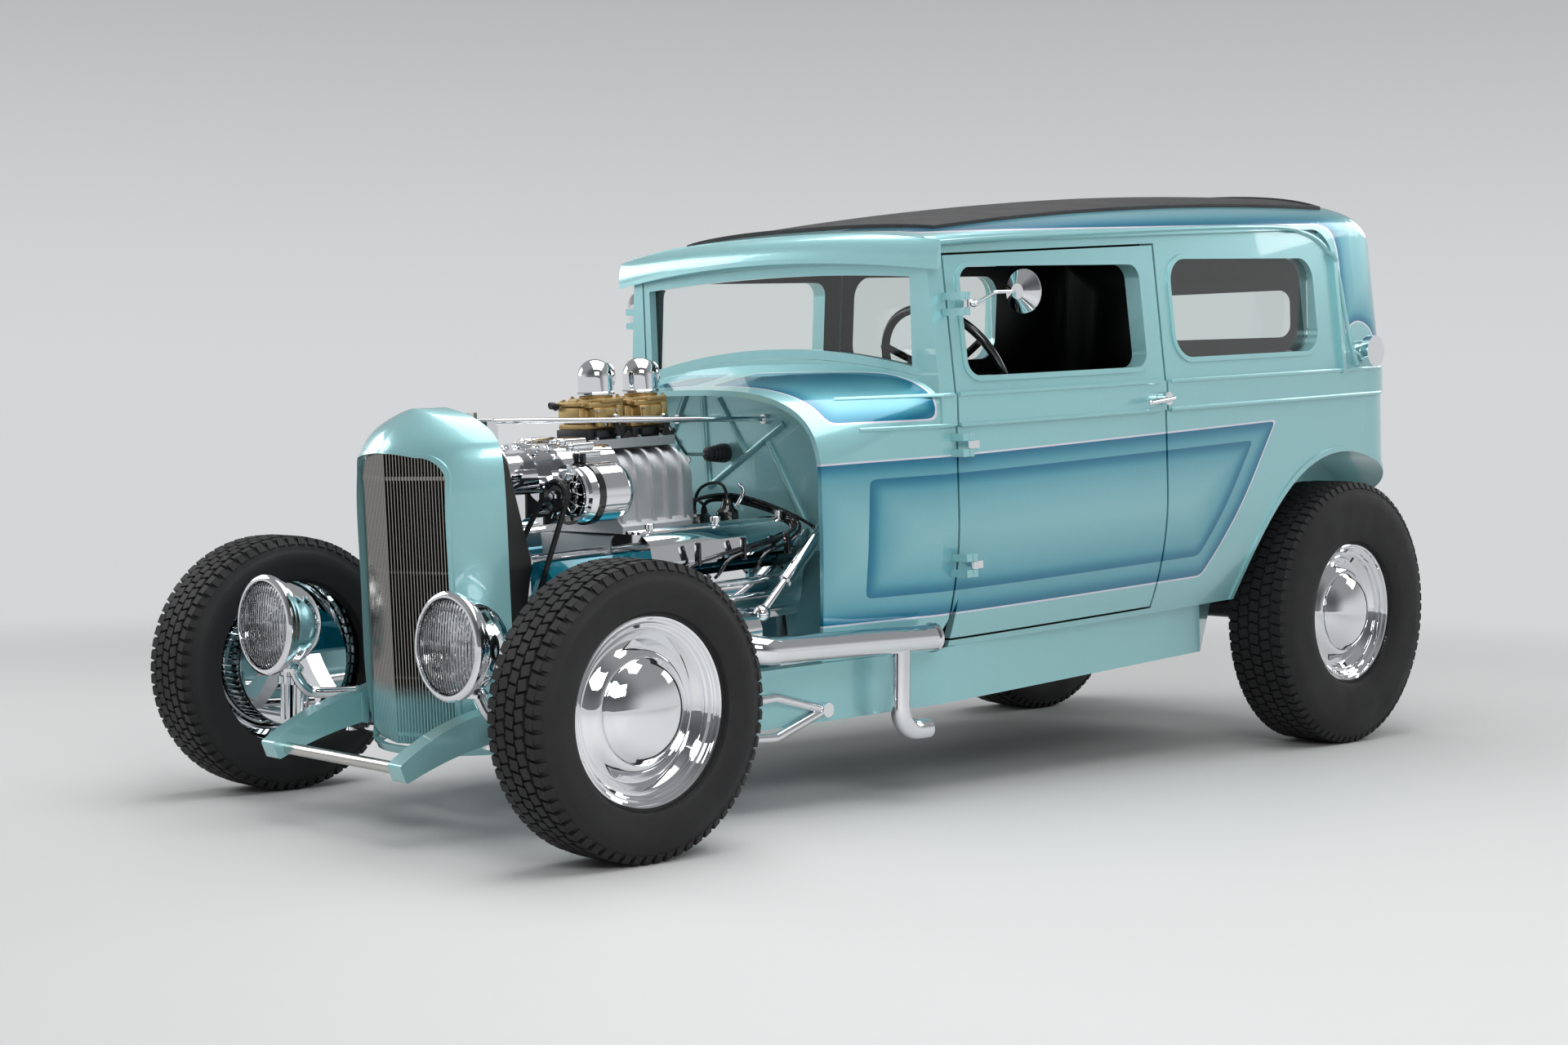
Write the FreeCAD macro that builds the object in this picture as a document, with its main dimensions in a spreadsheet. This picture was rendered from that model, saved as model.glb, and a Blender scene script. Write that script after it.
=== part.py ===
"""A chopped two-door sedan hot rod with an open, blown V8.

Millimetres. +Z is up, the car faces -Y and its left side is +X. The origin is on the ground
under the middle of the car's bounding box. The wheels and axles stand level, and everything
on the frame rails is drawn level too and then raked nose down about the ground point under
the front axle.
"""

import FreeCAD, Part
import math
import os
import Sketcher

Vector = FreeCAD.Vector

LEFT = 1
RIGHT = -1
SIDES = (("left", LEFT), ("right", RIGHT))

SIZES = {
    # Stance
    "wheelbase": 2692,
    "rake": 3.5,
    "overrun": 60,
    "seat_gap": 0.3,
    # Tyres and wheels
    "front_tyre_radius": 305,
    "front_tyre_width": 176,
    "front_tread_width": 146,
    "front_tyre_face": 740,
    "rear_tyre_radius": 370.5,
    "rear_tyre_width": 200,
    "rear_tread_width": 168,
    "rear_tyre_face": 657,
    "tread_crown": 5,
    "shoulder_drop": 14,
    "sidewall_bulge": 13,
    "bead_radius": 199,
    "tyre_seat_radius": 190,
    "rim_lip_radius": 210,
    "rim_lip_width": 9,
    "rim_inset": 13,
    "rim_wall": 5,
    "ring_step": 9,
    "barrel_radius": 176,
    "disc_edge_radius": 158,
    "disc_depth": 46,
    "disc_crown_radius": 128,
    "disc_crown_depth": 26,
    "cap_radius": 108,
    "cap_dome": 34,
    "cap_crown": 9,
    # Front axle, brakes and steering
    "kingpin_x": 556,
    "kingpin_boss_radius": 19,
    "kingpin_boss_height": 60,
    "kingpin_radius": 9,
    "axle_drop": 98,
    "axle_beam_height": 56,
    "axle_beam_width": 40,
    "axle_web": 14,
    "axle_flat_half": 400,
    "axle_hole_radius": 11,
    "axle_hole_pitch": 52,
    "axle_end_half": 505,
    "yoke_lug": 17,
    "yoke_radius": 26,
    "yoke_gap": 1.2,
    "bearing_gap": 0.5,
    "backing_radius": 146,
    "backing_thickness": 5,
    "backing_x": 583,
    "spindle_radius": 16,
    "drum_radius": 150,
    "drum_width": 52,
    "drum_wall": 8,
    "drum_fin": 5,
    "drum_fin_pitch": 9,
    "hub_radius": 55,
    "steer_arm_length": 135,
    "steer_arm_inset": 34,
    "steer_arm_thickness": 14,
    "tie_rod_z": 155,
    "tie_rod_radius": 11,
    "tie_rod_end_radius": 14,
    "spring_width": 45,
    "spring_leaf": 5.2,
    "spring_half": 395,
    # Hairpin radius rods
    "hairpin_radius": 11,
    "hairpin_front_x": 370,
    "hairpin_rear_x": 440,
    "hairpin_joint_y": 785,
    "hairpin_joint_z": 178,
    "hairpin_split_y": 640,
    "hairpin_spread": 46,
    "hairpin_eye_radius": 17,
    "hairpin_eye_width": 26,
    # Frame rails
    "horn_x": 242,
    "horn_width": 48,
    "horn_root_y": 20,
    "horn_tip_y": 262,
    "horn_tip_top": 191,
    "horn_tip_bottom": 152,
    "horn_root_top": 274,
    "horn_root_bottom": 205,
    "horn_bulge": 14,
    "rail_width": 50,
    "rail_top": 285,
    "rail_bottom": 150,
    "rail_axle_x": 292,
    "rail_cowl_x": 452,
    "rail_cowl_y": 860,
    "rail_door_x": 500,
    "rail_door_y": 1130,
    "rail_kick_y": 2170,
    "rail_kick_end_y": 2400,
    "rail_kick_x": 395,
    "rail_kick_bottom": 330,
    "rail_kick_top": 410,
    "rail_end_y": 2950,
    "rail_end_x": 385,
    "axle_notch_front_y": 22,
    "axle_notch_rear_y": 50,
    "axle_notch_top": 257,
    "crossmember_height": 60,
    "crossmember_width": 70,
    "spreader_radius": 13,
    # Grille shell
    "shell_half_width": 243,
    "shell_nose_y": 124,
    "shell_rear_y": 44,
    "shell_bottom": 166,
    "shell_peak": 914,
    "shell_wall": 11,
    "grille_top": 822,
    "grille_bottom": 184,
    "grille_half_width": 166,
    "grille_corner": 60,
    "grille_bead": 7,
    "grille_bar": 3,
    "grille_bar_depth": 12,
    "grille_bar_pitch": 8,
    "grille_inset": 26,
    "grille_rake": 52,
    "cross_wire": 4.5,
    "grille_rail": 8,
    "cross_wire_low": 330,
    "cross_wire_high": 560,
    "radiator_depth": 36,
    "radiator_rear_y": 40,
    "radiator_half_width": 188,
    "radiator_shoulder": 760,
    "radiator_top": 868,
    "radiator_tank_half": 134,
    "radiator_outlet_half": 86,
    "radiator_outlet_rear_y": 150,
    "radiator_outlet_low": 838,
    "radiator_cap_radius": 33,
    "radiator_cap_height": 20,
    "radiator_cap_y": 118,
    "stay_rod_radius": 6,
    "stay_rod_front_x": 70,
    "stay_rod_rear_x": 156,
    "stay_rod_height": 878,
    # Headlights
    "headlight_x": 347,
    "headlight_y": 197,
    "headlight_z": 436,
    "headlight_radius": 103,
    "headlight_ring": 10,
    "headlight_ring_depth": 22,
    "headlight_depth": 128,
    "headlight_wall": 3,
    "lens_crown": 16,
    "lens_thickness": 5,
    "headlight_foot": 26,
    "headlight_bar_radius": 15,
    # Engine
    "engine_front_y": 205,
    "engine_rear_y": 880,
    "timing_cover_depth": 12,
    "crank_height": 380,
    "crankcase_half_width": 135,
    "crankcase_top": 470,
    "sump_half_width": 110,
    "sump_bottom": 185,
    "head_inner_x": 95,
    "head_outer_x": 262,
    "head_top": 560,
    "head_low": 430,
    "cover_front_y": 385,
    "cover_rear_y": 885,
    "cover_inner_x": 178,
    "cover_outer_x": 318,
    "cover_top": 612,
    "cover_step": 26,
    "cover_low": 548,
    "cover_rib": 5,
    "cover_rib_pitch": 20,
    "guard_top": 520,
    "guard_low": 385,
    "guard_depth": 66,
    "guard_fin": 9,
    "manifold_half_width": 128,
    "manifold_top": 600,
    "blower_front_y": 450,
    "blower_rear_y": 664,
    "blower_bottom": 604,
    "blower_top": 790,
    "blower_half_width": 142,
    "blower_round": 66,
    "blower_rib": 8,
    "blower_rib_width": 10,
    "blower_rib_count": 5,
    "gearcase_front_y": 290,
    "gearcase_radius": 92,
    "gearcase_lobe_x": 58,
    "gearcase_neck_radius": 80,
    "snout_radius": 48,
    "snout_front_y": 199,
    "top_pulley_radius": 66,
    "top_pulley_height": 752,
    "crank_pulley_radius": 84,
    "idler_radius": 38,
    "idler_x": 92,
    "idler_height": 560,
    "belt_width": 78,
    "belt_front_y": 108,
    "belt_thickness": 8,
    "pulley_flange": 4,
    "pulley_lip": 7,
    "alternator_x": 222,
    "alternator_z": 712,
    "alternator_radius": 66,
    "alternator_front_y": 205,
    "alternator_length": 175,
    "alternator_fan": 14,
    "alternator_pulley_radius": 36,
    "carb_plate_top": 820,
    "carb_plate_front_y": 424,
    "carb_plate_rear_y": 664,
    "carb_plate_half_width": 92,
    "carb_front_y": 505,
    "carb_pitch": 138,
    "carb_offset": 20,
    "carb_length": 118,
    "carb_half_width": 70,
    "carb_body_height": 71,
    "carb_top_height": 30,
    "carb_bowl": 60,
    "scoop_radius": 42,
    "scoop_height": 84,
    "scoop_wall": 4,
    "scoop_mouth": 29,
    "gearbox_rear_y": 1500,
    "gearbox_front_radius": 190,
    "gearbox_radius": 105,
    "gearbox_tail_radius": 58,
    "gearbox_bell_length": 190,
    "gearbox_main_length": 260,
    "propshaft_radius": 38,
    # Exhaust, level with the ground
    "exhaust_radius": 31.5,
    "exhaust_wall": 2,
    "exhaust_x": 545,
    "exhaust_z": 386,
    "exhaust_rear_y": 1020,
    "exhaust_port_x": 310,
    "exhaust_port_y": 440,
    "exhaust_port_z": 428,
    "exhaust_bend": 70,
    "exhaust_lip": 4,
    "downpipe_radius": 23.5,
    "downpipe_y": 915,
    "downpipe_bottom": 150,
    "downpipe_bend": 60,
    # Body shell
    "body_wall": 42,
    "cowl_front_y": 795,
    "cowl_half_width": 445,
    "cowl_side_top": 700,
    "cowl_crown": 920,
    "cowl_rear_crown": 972,
    "cowl_rear_side_top": 862,
    "cowl_wall": 16,
    "pillar_front_y": 1088,
    "pillar_depth": 44,
    "door_front_y": 1132,
    "door_rear_y": 1900,
    "tail_y": 3020,
    "tail_corner": 150,
    "roof_tail_drop": 210,
    "front_half_width": 574,
    "belt_half_width": 616,
    "swell_end_y": 2500,
    "lower_tuck": 74,
    "tuck_top": 620,
    "body_bottom": 285.3,
    "belt_bottom": 818,
    "belt_top": 893,
    "belt_proud": 6,
    "top_tumblehome": 34,
    "side_top_front": 1246,
    "side_top_rear": 1284,
    "roof_front": 1290,
    "roof_crown": 1398,
    "roof_crown_y": 2550,
    # Openings in the shell
    "windshield_half_width": 492,
    "windshield_bottom": 936,
    "windshield_bow": 50,
    "windshield_top": 1196,
    "door_bottom": 300,
    "door_top_front": 1224,
    "door_top_rear": 1246,
    "door_gap": 5.5,
    "door_rear_gap": 7.5,
    "door_window_front_y": 1178,
    "door_window_rear_y": 1826,
    "window_sill": 932,
    "window_head": 1192,
    "window_corner": 38,
    "quarter_front_y": 1952,
    "quarter_rear_y": 2600,
    "quarter_sill": 950,
    "quarter_head": 1205,
    "quarter_corner": 62,
    "window_bead": 13,
    "bead_proud": 4,
    "drip_height": 16,
    "drip_proud": 13,
    "drip_rear_y": 2700,
    "rear_window_half_width": 270,
    "rear_window_sill": 985,
    "rear_window_head": 1125,
    "arch_y": 2700,
    "arch_z": 222,
    "arch_radius": 440,
    "arch_lip": 15,
    "tub_inner_x": 420,
    "tub_wall": 5,
    # Roof insert and visor
    "insert_front_y": 1176,
    "insert_rear_y": 2800,
    "insert_half_front": 430,
    "insert_half_rear": 505,
    "insert_proud": 5,
    "insert_corner": 90,
    "insert_bow": 40,
    "visor_front_y": 1042,
    "visor_sweep": 34,
    "visor_front_z": 1220,
    "visor_drop": 36,
    "visor_half_width": 572,
    "visor_root_z": 1288,
    "visor_root_drop": 36,
    "visor_thickness": 12,
    # Glass
    "glass_thickness": 5,
    "glass_setback": 14,
    "screen_frame_width": 24,
    "screen_frame_depth": 22,
    "screen_frame_gap": 2,
    # Doors and their fittings
    "hinge_x": 596,
    "hinge_y": 1146,
    "hinge_radius": 8,
    "hinge_length": 56,
    "hinge_pin_radius": 3.5,
    "hinge_leaf": 5,
    "hinge_leaf_length": 26,
    "hinge_top_z": 1103,
    "hinge_mid_z": 772,
    "hinge_low_z": 487,
    "hinge_knuckle_gap": 1,
    "mirror_x": 688,
    "mirror_y": 1224,
    "mirror_z": 1127,
    "mirror_radius": 52,
    "mirror_depth": 22,
    "mirror_arm_radius": 4,
    "handle_y": 1868,
    "handle_z": 848,
    "handle_length": 118,
    "handle_radius": 7,
    "handle_standoff": 34,
    "handle_boss_radius": 17,
    # Cabin
    "floor_thickness": 12,
    "floor_rear_y": 2120,
    "bell_tunnel_half": 215,
    "bell_tunnel_top": 560,
    "box_tunnel_half": 130,
    "box_tunnel_top": 482,
    "box_tunnel_front_y": 1100,
    "box_tunnel_rear_y": 1350,
    "shaft_tunnel_half": 84,
    "shaft_tunnel_top": 428,
    "shaft_tunnel_front_y": 1450,
    "tunnel_wall": 5,
    "rear_floor_top": 460,
    "firewall_y": 905,
    "firewall_thickness": 12,
    "firewall_rib_radius": 9,
    "rib_a_x": -68,
    "rib_a_z": 910,
    "rib_b_x": -57,
    "rib_b_z": 677,
    "rib_c_x": -129,
    "rib_c_z": 907,
    "rib_d_x": -191,
    "rib_d_z": 800,
    "rib_e_x": -9,
    "rib_e_z": 894,
    "rib_f_x": 83,
    "rib_f_z": 760,
    "rib_g_x": 218,
    "rib_g_z": 834,
    "rib_h_x": 162,
    "rib_h_z": 790,
    "rib_i_x": 319,
    "rib_i_z": 531,
    "seat_front_y": 1500,
    "seat_depth": 480,
    "seat_half_width": 188,
    "seat_x": 292,
    "seat_cushion": 140,
    "seat_bottom": 340,
    "seat_back_height": 520,
    "seat_back_thickness": 120,
    "seat_corner": 36,
    "rear_seat_front_y": 2330,
    "rear_seat_depth": 420,
    "rear_seat_half_width": 405,
    "rear_seat_cushion": 130,
    "rear_seat_back_height": 430,
    "dash_y": 1118,
    "dash_depth": 44,
    "dash_bottom": 842,
    "steering_x": 325,
    "steering_wheel_y": 1370,
    "steering_wheel_z": 935,
    "steering_tilt": 28,
    "steering_wheel_radius": 185,
    "steering_rim_radius": 11,
    "steering_hub_radius": 30,
    "steering_hub_depth": 40,
    "steering_spoke": 9,
    "column_radius": 22,
    "column_elbow_y": 1030,
    "column_foot_x": 350,
    "column_foot_z": 600,
    "steering_shaft_radius": 10,
    "steering_sleeve_radius": 17,
    "steering_box_x": 352,
    "steering_box_y": 640,
    "steering_box_z": 375,
    "steering_box_radius": 42,
    "steering_box_length": 120,
    # Rear axle and tail
    "axle_tube_radius": 38,
    "axle_tube_half": 456,
    "rear_backing_radius": 134,
    "diff_radius": 115,
    "diff_length": 170,
    "rear_drum_radius": 140,
    "rear_drum_inner_x": 462,
    "rear_drum_width": 60,
    "coil_radius": 48,
    "coil_x": 285,
    "coil_offset": 95,
    "coil_turns": 6,
    "coil_wire": 7,
    "damper_radius": 29,
    "tank_length": 132,
    "tank_front_y": 2835,
    "tank_half_width": 300,
    "tank_bottom": 140,
    "tank_corner": 40,
    "tail_light_x": 372,
    "tail_light_z": 640,
    "tail_light_radius": 46,
    "tail_light_depth": 34,
    "filler_y": 2815,
    "filler_z": 940,
    "filler_radius": 44,
    "filler_length": 46,
}

doc = FreeCAD.newDocument("HotRod")
sheet = doc.addObject("Spreadsheet::Sheet", "Sizes")
for row, (alias, number) in enumerate(SIZES.items(), start=1):
    sheet.set("A%d" % row, str(number))
    sheet.setAlias("A%d" % row, alias)
doc.recompute()


class Millimetres:
    """Reads a size from the sheet as a plain number."""

    def __getattr__(self, name):
        return float(SIZES[name])


class Size:
    """A size from the sheet, or a sum of such sizes, that keeps its own expression."""

    def __init__(self, value, text):
        self.value = value
        self.text = text

    def __add__(self, other):
        other = as_size(other)
        return Size(self.value + other.value, "(%s + %s)" % (self.text, other.text))

    def __sub__(self, other):
        other = as_size(other)
        return Size(self.value - other.value, "(%s - %s)" % (self.text, other.text))

    def __mul__(self, other):
        other = as_size(other)
        return Size(self.value * other.value, "(%s * %s)" % (self.text, other.text))

    def __truediv__(self, other):
        other = as_size(other)
        return Size(self.value / other.value, "(%s / %s)" % (self.text, other.text))

    def __rmul__(self, other):
        return as_size(other) * self

    def __neg__(self):
        return Size(-self.value, "(-1 * %s)" % self.text)


class Cells:
    """Reads a size from the sheet together with the expression that binds to it."""

    def __getattr__(self, name):
        return Size(float(SIZES[name]), "Sizes.%s" % name)


mm = Millimetres()
cell = Cells()
nodes = []


def as_size(item):
    """A plain zero, count or share becomes a size that needs no cell."""
    if isinstance(item, Size):
        return item
    return Size(float(item), repr(float(item)))


def cosine(angle):
    return Size(math.cos(math.radians(angle.value)), "cos(%s)" % angle.text)


def sine(angle):
    return Size(math.sin(math.radians(angle.value)), "sin(%s)" % angle.text)


FRONT_AXLE_Y = (cell.wheelbase + cell.rear_tyre_radius - cell.front_tyre_radius) * -0.5
REAR_AXLE_Y = FRONT_AXLE_Y + cell.wheelbase


# Sketches

def draw_outline(sketch, corners):
    """Draws a closed outline whose corners are bound to the sheet.

    A corner is (across, up), or (across, up, bulge) where the side that leaves it is an arc
    standing that far out to the right of the way round.
    """
    places = []
    bulges = []
    for corner in corners:
        places.append((as_size(corner[0]), as_size(corner[1])))
        bulges.append(as_size(corner[2]) if len(corner) > 2 else None)
    count = len(places)
    starts = []
    ends = []
    geometry = []
    for index, (across, up) in enumerate(places):
        start = Vector(across.value, up.value, 0)
        far_across, far_up = places[(index + 1) % count]
        end = Vector(far_across.value, far_up.value, 0)
        bulge = bulges[index]
        if bulge is None:
            geometry.append(Part.LineSegment(start, end))
            starts.append((index, 1))
            ends.append((index, 2))
            continue
        chord = end - start
        outward = Vector(chord.y, -chord.x, 0).normalize()
        middle = (start + end) * 0.5 + outward * bulge.value
        curve = Part.Arc(start, middle, end).toShape().Curve
        circle = Part.Circle(curve.Center, Vector(0, 0, 1), curve.Radius)
        first, last = (start, end) if bulge.value > 0 else (end, start)
        geometry.append(Part.ArcOfCircle(circle, circle.parameter(first), circle.parameter(last)))
        starts.append((index, 1 if bulge.value > 0 else 2))
        ends.append((index, 2 if bulge.value > 0 else 1))
    sketch.addGeometry(geometry, False)
    for index in range(count):
        following = starts[(index + 1) % count]
        sketch.addConstraint(Sketcher.Constraint("Coincident", *ends[index], *following))
    for index, (across, up) in enumerate(places):
        pin_point(sketch, starts[index], across, up)
    for index, bulge in enumerate(bulges):
        if bulge is not None:
            pin_radius(sketch, index, places[index], places[(index + 1) % count], bulge)


def pin_point(sketch, point, across, up):
    """Binds a sketch point to its distances from the sketch's origin."""
    for kind, axis, distance in (("DistanceX", -2, across), ("DistanceY", -1, up)):
        if distance.value == 0:
            sketch.addConstraint(Sketcher.Constraint("PointOnObject", *point, axis))
            continue
        constraint = Sketcher.Constraint(kind, -1, 1, *point, distance.value)
        number = sketch.addConstraint(constraint)
        sketch.setExpression("Constraints[%d]" % number, distance.text)


def pin_radius(sketch, index, start, end, bulge):
    """Binds an arc's radius, worked out from its chord and how far it stands out."""
    across = end[0] - start[0]
    up = end[1] - start[1]
    height = bulge if bulge.value > 0 else -bulge
    radius = (across * across + up * up) / (height * 8) + height / 2
    number = sketch.addConstraint(Sketcher.Constraint("Radius", index, radius.value))
    sketch.setExpression("Constraints[%d]" % number, radius.text)


def new_sketch(body, role):
    """An empty sketch on one of the body's own origin planes."""
    sketch = body.newObject("Sketcher::SketchObject", body.Name + "_sketch")
    plane = [feature for feature in body.Origin.OriginFeatures if feature.Role == role][0]
    sketch.AttachmentSupport = (plane, [""])
    sketch.MapMode = "FlatFace"
    return sketch


def outline_sketch(body, role, corners, lift=None):
    sketch = new_sketch(body, role)
    if lift is not None:
        sketch.setExpression("AttachmentOffset.Base.z", lift.text)
    draw_outline(sketch, corners)
    return sketch


def circle_sketch(body, role, circles, lift=None):
    """A sketch of circles, each (across, up, radius), bound to the sheet."""
    sketch = new_sketch(body, role)
    if lift is not None:
        sketch.setExpression("AttachmentOffset.Base.z", lift.text)
    for across, up, radius in circles:
        across, up = as_size(across), as_size(up)
        centre = Vector(across.value, up.value, 0)
        index = sketch.addGeometry(Part.Circle(centre, Vector(0, 0, 1), radius.value), False)
        pin_point(sketch, (index, 3), across, up)
        number = sketch.addConstraint(Sketcher.Constraint("Radius", index, radius.value))
        sketch.setExpression("Constraints[%d]" % number, radius.text)
    return sketch


# Features

def new_body(name):
    return doc.addObject("PartDesign::Body", name)


def pad(body, sketch, length, both_ways=False, backwards=False):
    feature = body.newObject("PartDesign::Pad", body.Name + "_pad")
    feature.Profile = sketch
    feature.setExpression("Length", length.text)
    feature.SideType = "Symmetric" if both_ways else "One side"
    feature.Reversed = backwards
    return feature


def pocket(body, sketch, length, both_ways=False, backwards=False):
    """Cuts the sketch out of the body, and makes sure that it did cut."""
    doc.recompute()
    before = body.Shape.Volume
    feature = body.newObject("PartDesign::Pocket", body.Name + "_pocket")
    feature.Profile = sketch
    feature.setExpression("Length", length.text)
    feature.SideType = "Symmetric" if both_ways else "One side"
    feature.Reversed = backwards
    doc.recompute()
    if body.Shape.Volume >= before:
        raise RuntimeError("a pocket missed %s" % body.Name)
    return feature


def revolve(body, sketch, axis):
    feature = body.newObject("PartDesign::Revolution", body.Name + "_turn")
    feature.Profile = sketch
    feature.ReferenceAxis = (sketch, [axis])
    return feature


def repeat_along(body, feature, sketch, axis, length, count, backwards=False):
    pattern = body.newObject("PartDesign::LinearPattern", body.Name + "_row")
    pattern.Originals = [feature]
    pattern.Direction = (sketch, [axis])
    pattern.setExpression("Length", length.text)
    pattern.Occurrences = count
    pattern.Reversed = backwards
    body.Tip = pattern
    return pattern


def round_edges(body, feature, radius, wanted):
    """Rounds the edges of a feature that the test picks."""
    doc.recompute()
    names = []
    for number, edge in enumerate(feature.Shape.Edges, start=1):
        if wanted(edge):
            names.append("Edge%d" % number)
    fillet = body.newObject("PartDesign::Fillet", body.Name + "_round")
    fillet.Base = (feature, names)
    fillet.setExpression("Radius", radius.text)
    return fillet


def runs_along(axis):
    """A test for straight edges along one of the axes."""
    def test(edge):
        if not isinstance(edge.Curve, (Part.Line, Part.LineSegment)):
            return False
        direction = (edge.Vertexes[-1].Point - edge.Vertexes[0].Point).normalize()
        return abs(direction.dot(axis)) > 0.999
    return test


# Primitives

def put(thing, across, along, up):
    """Binds where an object stands."""
    for letter, distance in (("x", across), ("y", along), ("z", up)):
        distance = as_size(distance)
        thing.setExpression("Placement.Base.%s" % letter, distance.text)
    return thing


HALF_TURN = FreeCAD.Rotation(Vector(0, 0, 1), 180)
AXIS_TURNS = {
    "x": FreeCAD.Rotation(Vector(0, 1, 0), 90),
    "y": FreeCAD.Rotation(Vector(1, 0, 0), -90),
    "z": FreeCAD.Rotation(),
}


def cylinder(name, axis, centre, radius, length, both_ways=False):
    """A cylinder along an axis, from its centre or half each way."""
    thing = doc.addObject("Part::Cylinder", name)
    thing.setExpression("Radius", radius.text)
    thing.setExpression("Height", length.text)
    thing.Placement = FreeCAD.Placement(Vector(), AXIS_TURNS[axis])
    start = [as_size(distance) for distance in centre]
    if both_ways:
        number = "xyz".index(axis)
        start[number] = start[number] - length / 2
    return put(thing, *start)


def box(name, low, high):
    """A box between two corners."""
    thing = doc.addObject("Part::Box", name)
    low = [as_size(distance) for distance in low]
    high = [as_size(distance) for distance in high]
    for side, start, end in zip(("Length", "Width", "Height"), low, high):
        thing.setExpression(side, (end - start).text)
    return put(thing, *low)


def fuse(name, things):
    thing = doc.addObject("Part::MultiFuse", name)
    thing.Shapes = things
    return thing


def cut(name, base, tool):
    thing = doc.addObject("Part::Cut", name)
    thing.Base = base
    thing.Tool = tool
    return thing


def mirrored(name, source):
    """The same thing on the car's other side."""
    thing = doc.addObject("Part::Mirroring", name)
    thing.Source = source
    thing.Base = Vector(0, 0, 0)
    thing.Normal = Vector(1, 0, 0)
    return thing


def both_sides(name, source):
    return [source, mirrored(name, source)]


def group(name, things):
    thing = doc.addObject("Part::Compound", name)
    thing.Links = things
    return thing


# Placing whole nodes

def level_node(thing, label, across=0, along=FRONT_AXLE_Y, up=0):
    """A node that stands level with the ground."""
    thing.Label = label
    put(thing, across, along, up)
    nodes.append(thing)
    return thing


def raked_node(thing, label):
    """A node drawn level on the frame and then raked with it."""
    thing.Label = label
    thing.Placement = FreeCAD.Placement(Vector(), FreeCAD.Rotation(Vector(1, 0, 0), mm.rake))
    put(thing, 0, FRONT_AXLE_Y, 0)
    thing.setExpression("Placement.Rotation.Angle", cell.rake.text)
    nodes.append(thing)
    return thing


def shape_feature(name, shape):
    """Holds a shape that curves too freely for sketches and primitives."""
    thing = doc.addObject("Part::Feature", name)
    thing.Shape = shape
    return thing


def raked_shape(label, shape):
    return raked_node(shape_feature(label, shape), label)


def level_shape(label, shape):
    return level_node(shape_feature(label, shape), label)


def raked_point(along, up):
    """Where a point of the raked frame stands, seen level from under the front axle."""
    angle = math.radians(mm.rake)
    return (along * math.cos(angle) - up * math.sin(angle),
            along * math.sin(angle) + up * math.cos(angle))


def on_frame(along, up):
    """Where a level point lies in the raked frame."""
    angle = math.radians(mm.rake)
    return (along * math.cos(angle) + up * math.sin(angle),
            up * math.cos(angle) - along * math.sin(angle))


# Free shapes

def bent_tube(points, radius, bend, bore=0):
    """A round tube along straight runs with rounded bends, solid unless a bore is given."""
    places = [Vector(*point) for point in points]
    edges = []
    start = places[0]
    for index in range(1, len(places) - 1):
        corner = places[index]
        back = (places[index - 1] - corner).normalize()
        ahead = (places[index + 1] - corner).normalize()
        half = back.getAngle(ahead) / 2
        reach = bend / math.tan(half)
        entry = corner + back * reach
        leaving = corner + ahead * reach
        inward = (back + ahead).normalize()
        middle = corner + inward * (bend / math.sin(half) - bend)
        edges.append(Part.LineSegment(start, entry).toShape())
        edges.append(Part.Arc(entry, middle, leaving).toShape())
        start = leaving
    edges.append(Part.LineSegment(start, places[-1]).toShape())
    path = Part.Wire(edges)
    direction = places[1] - places[0]
    tube = sweep_circle(path, places[0], direction, radius)
    if bore > 0:
        tube = tube.cut(sweep_circle(path, places[0], direction, bore))
    return tube


def sweep_circle(path, start, direction, radius):
    circle = Part.Wire(Part.Circle(start, direction, radius).toShape())
    return path.makePipeShell([circle], True, False)


def straight_rod(start, end, radius):
    run = Vector(*end) - Vector(*start)
    return Part.makeCylinder(radius, run.Length, Vector(*start), run)


def rounded_panel(front, rear, low, high, corner):
    """A face in the side view: a rectangle with rounded corners."""
    edges = []
    centres = ((rear - corner, low + corner, -90), (rear - corner, high - corner, 0),
               (front + corner, high - corner, 90), (front + corner, low + corner, 180))
    for along, up, start in centres:
        edges.append(Part.makeCircle(corner, Vector(0, along, up), Vector(1, 0, 0),
                                     start, start + 90))
    joined = []
    for index, arc in enumerate(edges):
        following = edges[(index + 1) % len(edges)]
        joined.append(arc)
        joined.append(Part.makeLine(arc.Vertexes[-1].Point, following.Vertexes[0].Point))
    return Part.Face(Part.Wire(Part.__sortEdges__(joined)))


def side_prism(face, side, low=0):
    """Pushes a side-view face out through one side of the body."""
    reach = mm.belt_half_width + mm.overrun
    face = face.copy()
    face.translate(Vector(side * low, 0, 0))
    return face.extrude(Vector(side * (reach - low), 0, 0))


# Wheels

def tyre(name, radius, width, tread, face):
    """A tubeless tyre: crowned tread, round shoulders, bulged sidewalls and a bead seat."""
    body = new_body(name)
    half = width / 2
    half_tread = tread / 2
    shoulder = radius - cell.tread_crown
    cheek = shoulder - cell.shoulder_drop
    bead = half - cell.rim_inset
    corners = [
        (-bead, cell.tyre_seat_radius),
        (-bead, cell.bead_radius, -cell.sidewall_bulge),
        (-half + cell.tread_crown, cheek, -cell.tread_crown),
        (-half_tread, shoulder, -cell.tread_crown),
        (half_tread, shoulder, -cell.tread_crown),
        (half - cell.tread_crown, cheek, -cell.sidewall_bulge),
        (bead, cell.bead_radius),
        (bead, cell.tyre_seat_radius),
    ]
    revolve(body, outline_sketch(body, "XY_Plane", corners), "H_Axis")
    return put(body, face - half, 0, 0)


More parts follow.
